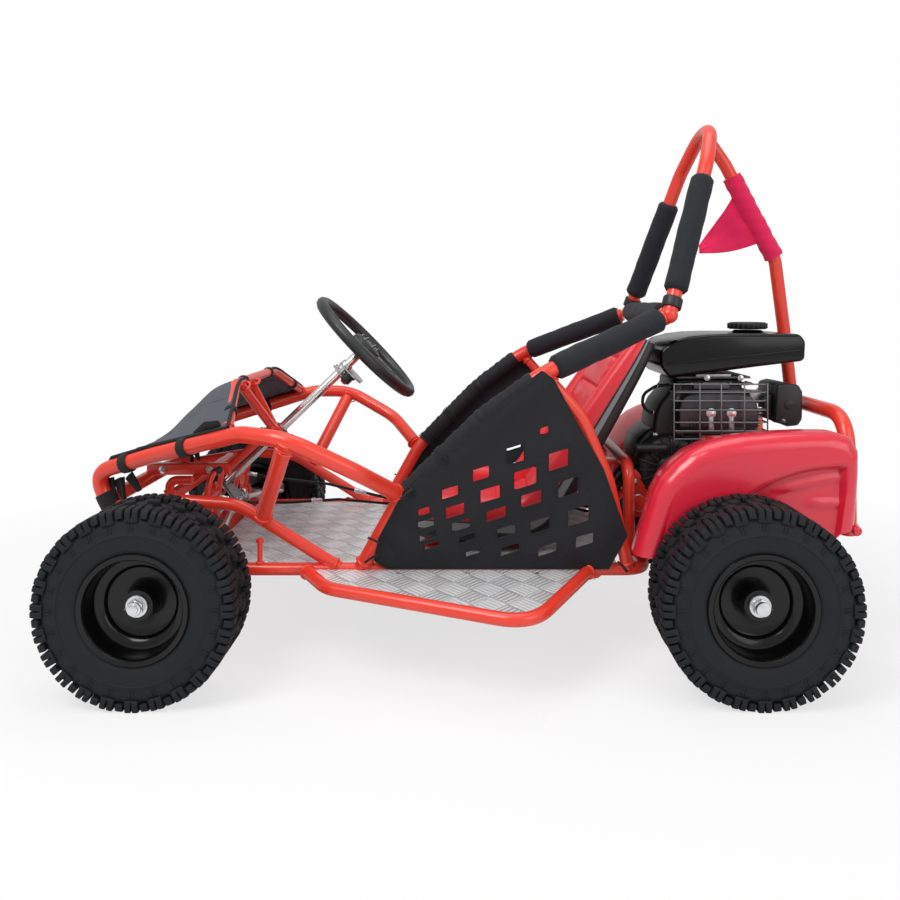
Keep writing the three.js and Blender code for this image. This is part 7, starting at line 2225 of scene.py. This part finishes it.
@dataclass
class NoseCover(SubAssembly):
    """The fabric cover from the nose over both arches to the dash hoop."""

    thickness: float = 2.0
    rise: tuple[float, ...] = (0.0, 0.15, 0.34, 0.62, 0.90, 1.0)
    forward: tuple[float, ...] = (0.0, 0.21, 0.41, 0.62, 0.8, 1.0)
    nose: Point = (640.0, 222.0, 326.0)
    shoulder: Point = (515.0, 272.0, 366.0)

    def rows(self) -> list[list[Vector]]:
        """The rows of points that the cover follows, in millimetres."""
        nose, shoulder = Vector(self.nose), Vector(self.shoulder)
        foot = Vector((368, 347, 407))
        first = shoulder.lerp(nose, 0.7)
        rows = []
        for i in range(6):
            share = i / 5
            edge = first.lerp(shoulder, share / 0.4) if share < 0.4 else shoulder.lerp(foot, (share - 0.4) / 0.6)
            edge = edge + Vector((0, 0, 17.3))
            z = 336 + (484 - 336) * self.rise[i]
            x = 628 + (401 - 628) * self.forward[i]
            side = Vector((edge.x + (x - edge.x) * 0.8, 206 + (165 - 206) * share, z))
            centre = Vector((x, 0, z))
            left = [edge, edge.lerp(side, 0.5), side, side.lerp(centre, 0.5)]
            rows.append([*left, centre, *[Vector((p.x, -p.y, p.z)) for p in reversed(left)]])
        return rows

    def build(self) -> None:
        """Builds the cover with its hem, straps and wrap."""
        rows = self.rows()
        at = self.datum.at

        def place(u: float, v: float) -> Vector:
            """A point of the cover."""
            point = curve_through([curve_through(row, u) for row in rows], v)
            inner = math.sin(math.pi * u) * math.sin(math.pi * v)
            sag = 9 * inner * (1 - abs(2 * u - 1)) + 3 * math.sin(v * 17 + u * 5) * inner
            wrinkle = 5.0 * noise.noise(Vector((u * 7, v * 5, 1))) * inner
            pull = 3.2 * math.sin(u * 46 + 6 * v) * math.exp(-((v - 0.05) / 0.18) ** 2) * inner
            side = 4.5 * math.sin(v * 34) * math.exp(-(min(u, 1 - u) / 0.16) ** 2) * min(1.0, 8 * min(u, 1 - u))
            return at(point.x, point.y, point.z - sag + wrinkle + pull + side)

        bare = patch(96, 72, place)
        area = cloth_area(bare)
        wide = sum((place(i / 40, 0.5) - place((i + 1) / 40, 0.5)).length for i in range(40))
        tall = sum((place(0.5, i / 40) - place(0.5, (i + 1) / 40)).length for i in range(40))
        bare.free()
        form = self.form("nose_cover_cloth")
        form.add(patch(96, 72, place, self.thickness / 1000), "cover")
        made = self.keep(form, "chassis", "cover", "nose_cover", sharp=60)

        hem = self.form("nose_cover_hem")
        for u in (0.0, 1.0):
            hem.swept("strap", [place(u, i / 40) for i in range(41)], 3.4, 10)
        for v in (0.0, 1.0):
            hem.swept("strap", [place(i / 60, v) for i in range(61)], 3.4, 10)
        for u in (0.16, 0.84):
            line = [place(u, i / 40) + Vector((0, 0, 0.0012)) for i in range(41)]
            hem.swept("strap", line, 1.2, 8)
        binding = self.keep(hem, "chassis", "cover", sharp=60)

        straps = self.form("nose_cover_straps")
        nose, shoulder = Vector(self.nose), Vector(self.shoulder)
        low, high = Vector((608, 222, 262)), nose
        arch = Vector((344, 360, 415))
        for side in Side:
            places = [(nose.lerp(shoulder, 0.557), shoulder - nose, 9),
                (shoulder.lerp(arch, 0.38), arch - shoulder, 9), (low.lerp(high, 0.2), high - low, 17)]
            for middle, way, half in places:
                profile = [(14.6, -half), (17.2, 1 - half), (17.6, 0), (17.2, half - 1), (14.6, half)]
                straps.lathe("strap", profile, side.flip(middle), side.flip(way), 40, True)
            for x, z, dx, dz in (
                (612, 316, -10, -50), (600, 314, -16, -44), (590, 318, -6, -46), (576, 322, -20, -28),
            ):
                y = 208 + (640 - x) * 0.3
                a = at(x, y * side.value, z)
                straps.swept("strap", [a, a + Vector((dx * 0.6, 3, dz * 0.5)) / 1000,
                    a + Vector((dx, 2, dz)) / 1000], [12, 9.5, 6], 10, 0.35)
            fold = self.datum.row([(432, 312, 408), (408, 326, 424), (384, 338, 430)], side)
            straps.swept("strap", fold, [5, 9, 6], 10, 0.4)
            foot, elbow = Vector((368, 347, 416)), Vector((401, 165, 480))
            wraps = [(foot.lerp(elbow, 0.4), elbow - foot), (Vector((401, 108, 480)), Vector((0, 1, 0)))]
            for middle, way in wraps:
                profile = [(9.4, -6), (11.2, -5.5), (11.6, 0), (11.2, 5.5), (9.4, 6)]
                straps.lathe("strap", profile, side.flip(middle), side.flip(way), 32, True)
        bands = self.keep(straps, "chassis", "cover", sharp=60)


@dataclass
class Flag(SubAssembly):
    """The pennant on its sleeve round the stay."""

    start: Point = (-556.0, 0.0, 912.0)
    knee: Point = (-662.0, -13.5, 722.0)
    top_share: float = 0.13
    tip: Pair = (-505.0, 740.0)

    def build(self) -> None:
        """Builds the sleeve and the pennant."""
        at = self.datum.at
        start, knee = self.datum.row([self.start, self.knee])
        steps = 46
        stations = [start.lerp(knee, self.top_share + (0.985 - self.top_share) * i / steps)
            for i in range(steps + 1)]
        tube = cloth_sleeve(stations, 0.0192, lambda p: 0.0016 * noise.noise(p * 30) + 0.0006 * math.sin(p.z * 300))
        sleeve_form = self.form("flag_sleeve").add(tube, "flag")
        sleeve = self.keep(sleeve_form, "chassis", "flag_cloth", sharp=60)

        def place(u: float, v: float) -> Vector:
            """A point of the pennant: u from the stay to the tip, v from its upper to its lower edge."""
            upper = Vector((-586, 0, 866)).lerp(Vector((self.tip[0], 0, self.tip[1] + 7)), u)
            lower = Vector((-645, 0, 762)).lerp(Vector((self.tip[0], 0, self.tip[1] - 7)), u)
            lower.z -= 9 * math.sin(math.pi * u)
            upper.z -= 5 * math.sin(math.pi * u)
            point = upper.lerp(lower, v)
            wave = 5.5 * math.sin(u * 6.5 + v * 2.2) * min(1.0, 2.5 * u)
            wave += 2.4 * noise.noise(Vector((u * 5, v * 4, 2)))
            return at(point.x, wave * min(1.0, u * 4) - 6.5, point.z)

        bare = patch(56, 44, place)
        area = cloth_area(bare)
        bare.free()
        form = self.form("flag_pennant").add(patch(56, 44, place, 0.0016), "flag")
        made = self.keep(form, "chassis", "flag_cloth", "flag", sharp=60)
        hem = self.form("flag_hem")
        for v in (0.0, 1.0):
            hem.swept("flag", [place(i / 40, v) for i in range(41)], 1.7, 8)
        hem.swept("flag", [place(1.0, i / 8) for i in range(9)], 1.7, 8)
        edge = self.keep(hem, "chassis", "flag_cloth", sharp=60)


@dataclass
class Cables(SubAssembly):
    """The throttle and brake cables, with their ferrules and adjusters."""

    throttle: tuple[Point, ...] = (
        (447, -116, 261), (400, -122, 250), (279, -152, 230), (157, -200, 190), (90, -232, 173), (-240, -232, 173),
        (-300, -140, 182), (-350, -136, 188), (-366, -132, 243), (-440, -112, 252), (-520, -104, 350),
        (-580, -50, 420), (-594, 0, 436), (-594, 40, 436),
    )
    brake: tuple[Point, ...] = (
        (447, 116, 261), (400, 108, 247), (330, 60, 236), (240, -60, 216), (150, -190, 178), (90, -222, 173),
        (-230, -222, 173), (-285, -120, 178), (-345, -60, 186), (-400, -20, 190), (-460, 36, 196),
        (-530.5, 49, 198),
    )

    def build(self) -> None:
        """Builds both cables."""
        for name, route, y in (("throttle_cable", self.throttle, -232), ("brake_cable", self.brake, -222)):
            form = self.form(f"{name}_sheath")
            stations = bent(self.datum.row(route), 0.04, 6)
            form.swept("cable", stations, 3, 14)
            for end, following in ((stations[0], stations[1]), (stations[-1], stations[-2])):
                way = (following - end).normalized()
                form.rod("zinc", end, end + way * 0.016, 4.2, 16, 0.6)
                form.rod("zinc", end + way * 0.016, end + way * 0.020, 5.2, 6, 0.6)
            middle = self.datum.row(route[2:4])
            way = (middle[1] - middle[0]).normalized()
            start = middle[0].lerp(middle[1], 0.45)
            form.rod("zinc", start, start + way * 0.03, 4.6, 16, 0.6)
            form.rod("zinc", start + way * 0.006, start + way * 0.012, 6.8, 6, 0.6)
            for share in (0.25, 0.75):
                spot = self.datum.at(90 + (-240 - 90) * share, y, 173)
                form.lathe("plastic", [(3, -3), (4.2, -3), (4.2, 3), (3, 3)], spot, (1, 0, 0), 20, True)
            self.keep(form, "chassis", "cable", name, sharp=50)
        form = self.form("brake_inner_wire")
        form.rod("zinc", (-530.5, 49, 198), (-549.5, 47, 198), 0.8, 8, 0)
        self.keep(form, "chassis", "cable")


@dataclass
class Brackets(SubAssembly):
    """Small frame fittings: the engine's bracket with its damper, the hoops' clamps and the floor's bolts."""

    def build(self) -> None:
        """Builds the fittings."""
        form = self.form("frame_fittings")
        outline = [(-324, 226), (-378, 226), (-378, 262), (-362, 300), (-348, 316), (-338, 306), (-332, 262)]
        form.side("frame", outline, 132, 136, 1.2, 2)
        form.rod("frame", (-352, 120, 254), (-352, 150, 254), 14, 32, 2)
        for dy in (124, 141, 146):
            form.ring("zinc", (-352, dy, 254), (0, 1, 0), 14.8, 1.2, 36)
        form.bolt((-346, 136, 292), (0, 1, 0), 4.8)
        form.rod("zinc", (-351, 176, 206), (-376, 182, 270), 3.8, 16, 0.6)
        form.rod("zinc", (-351, 176, 206), (-354, 176.7, 213.6), 6.6, 6, 0.6)
        form.rod("zinc", (-352, 176.2, 208), (-350, 175.7, 200), 3.6, 14)
        for side in Side:
            s = side.value
            form.ring("frame", (262, 388 * s, 395), (0.44, -0.88 * s, -1), 15.2, 1.4, 28)
            for x in (256, -256):
                form.bolt((x, 230 * s, 145.6), (0, 0, -1), 5)
        self.keep(form, "chassis", "frame_paint")


@dataclass
class Studio:
    """The pale studio, its lights and the camera that matches the photograph."""

    datum: Datum
    aim_shift: Pair = (-0.0189, -0.1644)
    key_power: float = 62.0
    fill_power: float = 26.0
    ambient: float = 0.4
    mirrored: float = 0.62
    floor_glow: float = 0.7
    fade_start: float = 0.9
    fade_end: float = 1.7

    def world(self) -> None:
        """White behind the kart, and softer light on it and in its reflections."""
        world = bpy.data.worlds.new("studio")
        world.use_nodes = True
        graph = Graph.of(world)
        path = graph.node("ShaderNodeLightPath")
        seen = Value(graph, path.outputs["Is Camera Ray"]).larger(Value(graph, path.outputs["Is Transmission Ray"]))
        gloss = Value(graph, path.outputs["Is Glossy Ray"])
        strength = (seen * (1.0 - self.ambient) + gloss * (self.mirrored - self.ambient)) + self.ambient
        back = graph.node("ShaderNodeBackground", {}, {"Color": (1, 1, 1, 1), "Strength": strength})
        graph.node("ShaderNodeOutputWorld", {}, {0: back.outputs[0]})
        bpy.context.scene.world = world

    def floor(self) -> None:
        """A pale floor that keeps the kart's shadow."""
        graph = Graph("studio_floor")
        shader = graph.node("ShaderNodeBsdfPrincipled", {}, {"Base Color": (0.9, 0.9, 0.9, 1), "Roughness": 0.9})
        glow = graph.node("ShaderNodeEmission", {}, {"Color": (1, 1, 1, 1), "Strength": 1.0})
        path = graph.node("ShaderNodeLightPath")
        x, y, _ = graph.axes()
        far = ((x * x + y * y) ** 0.5).ramp(self.fade_start, self.fade_end)
        share = Value(graph, path.outputs["Is Camera Ray"]) * (far * (1.0 - self.floor_glow) + self.floor_glow)
        mixed = graph.node("ShaderNodeMixShader", {}, {0: share, 1: shader.outputs[0], 2: glow.outputs[0]})
        graph.node("ShaderNodeOutputMaterial", {}, {0: mixed.outputs[0]})
        part = bmesh.new()
        bmesh.ops.create_grid(part, x_segments=1, y_segments=1, size=9.0)
        form = Form("studio_floor").add(part, graph.material)
        form.make()

    def light(self, name: str, place: Point, aim: Point, size: float, power: float) -> None:
        """One soft area light.

        Args:
            name: Its name.
            place: Where it stands, in metres.
            aim: What it points at, in metres.
            size: Its width, in metres.
            power: Its power, in watts.
        """
        lamp = bpy.data.lights.new(name, "AREA")
        lamp.shape = "SQUARE"
        lamp.size = size
        lamp.energy = power
        made = bpy.data.objects.new(name, lamp)
        made.location = place
        made.rotation_euler = (Vector(aim) - Vector(place)).to_track_quat("-Z", "Y").to_euler()
        bpy.context.scene.collection.objects.link(made)

    def build(self) -> None:
        """Sets up the whole studio."""
        self.world()
        self.floor()
        self.light("key", (1.4, 2.0, 2.9), (0, 0, 0.4), 1.6, self.key_power)
        self.light("fill", (-2.2, 2.4, 1.6), (-0.2, 0, 0.4), 2.2, self.fill_power)
        self.light("top", (-0.2, 0.1, 3.2), (0, 0, 0.3), 2.0, self.fill_power)
        data = bpy.data.cameras.new("camera")
        data.sensor_width = 36.0
        data.lens = 36.0
        data.shift_x, data.shift_y = self.aim_shift
        data.clip_end = 60.0
        camera = bpy.data.objects.new("camera", data)
        camera.location = self.datum.at(*CAMERA)
        camera.rotation_euler = (math.radians(90), 0, math.radians(180))
        bpy.context.scene.collection.objects.link(camera)
        bpy.context.scene.camera = camera
        bpy.context.scene.view_settings.view_transform = "Standard"


def main() -> None:
    """Builds the kart and the studio, in order."""
    logging.basicConfig(level=logging.INFO, format="%(message)s")
    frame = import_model()
    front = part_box("front_tyre_left")
    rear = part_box("rear_tyre_left")
    datum = Datum(sum(point.x for point in (*front, *rear)) / 4)
    finishes = Finishes()
    parts = (Chassis, Plates, Fender, Wheels, Steering, Pedals, Engine, Drive, Seat, Pads, Nets, NoseCover, Flag,
        Cables, Brackets)
    for part in parts:
        part(datum, finishes, frame["nodes"]).build()
    Studio(datum).build()


if __name__ == "__main__":
    main()
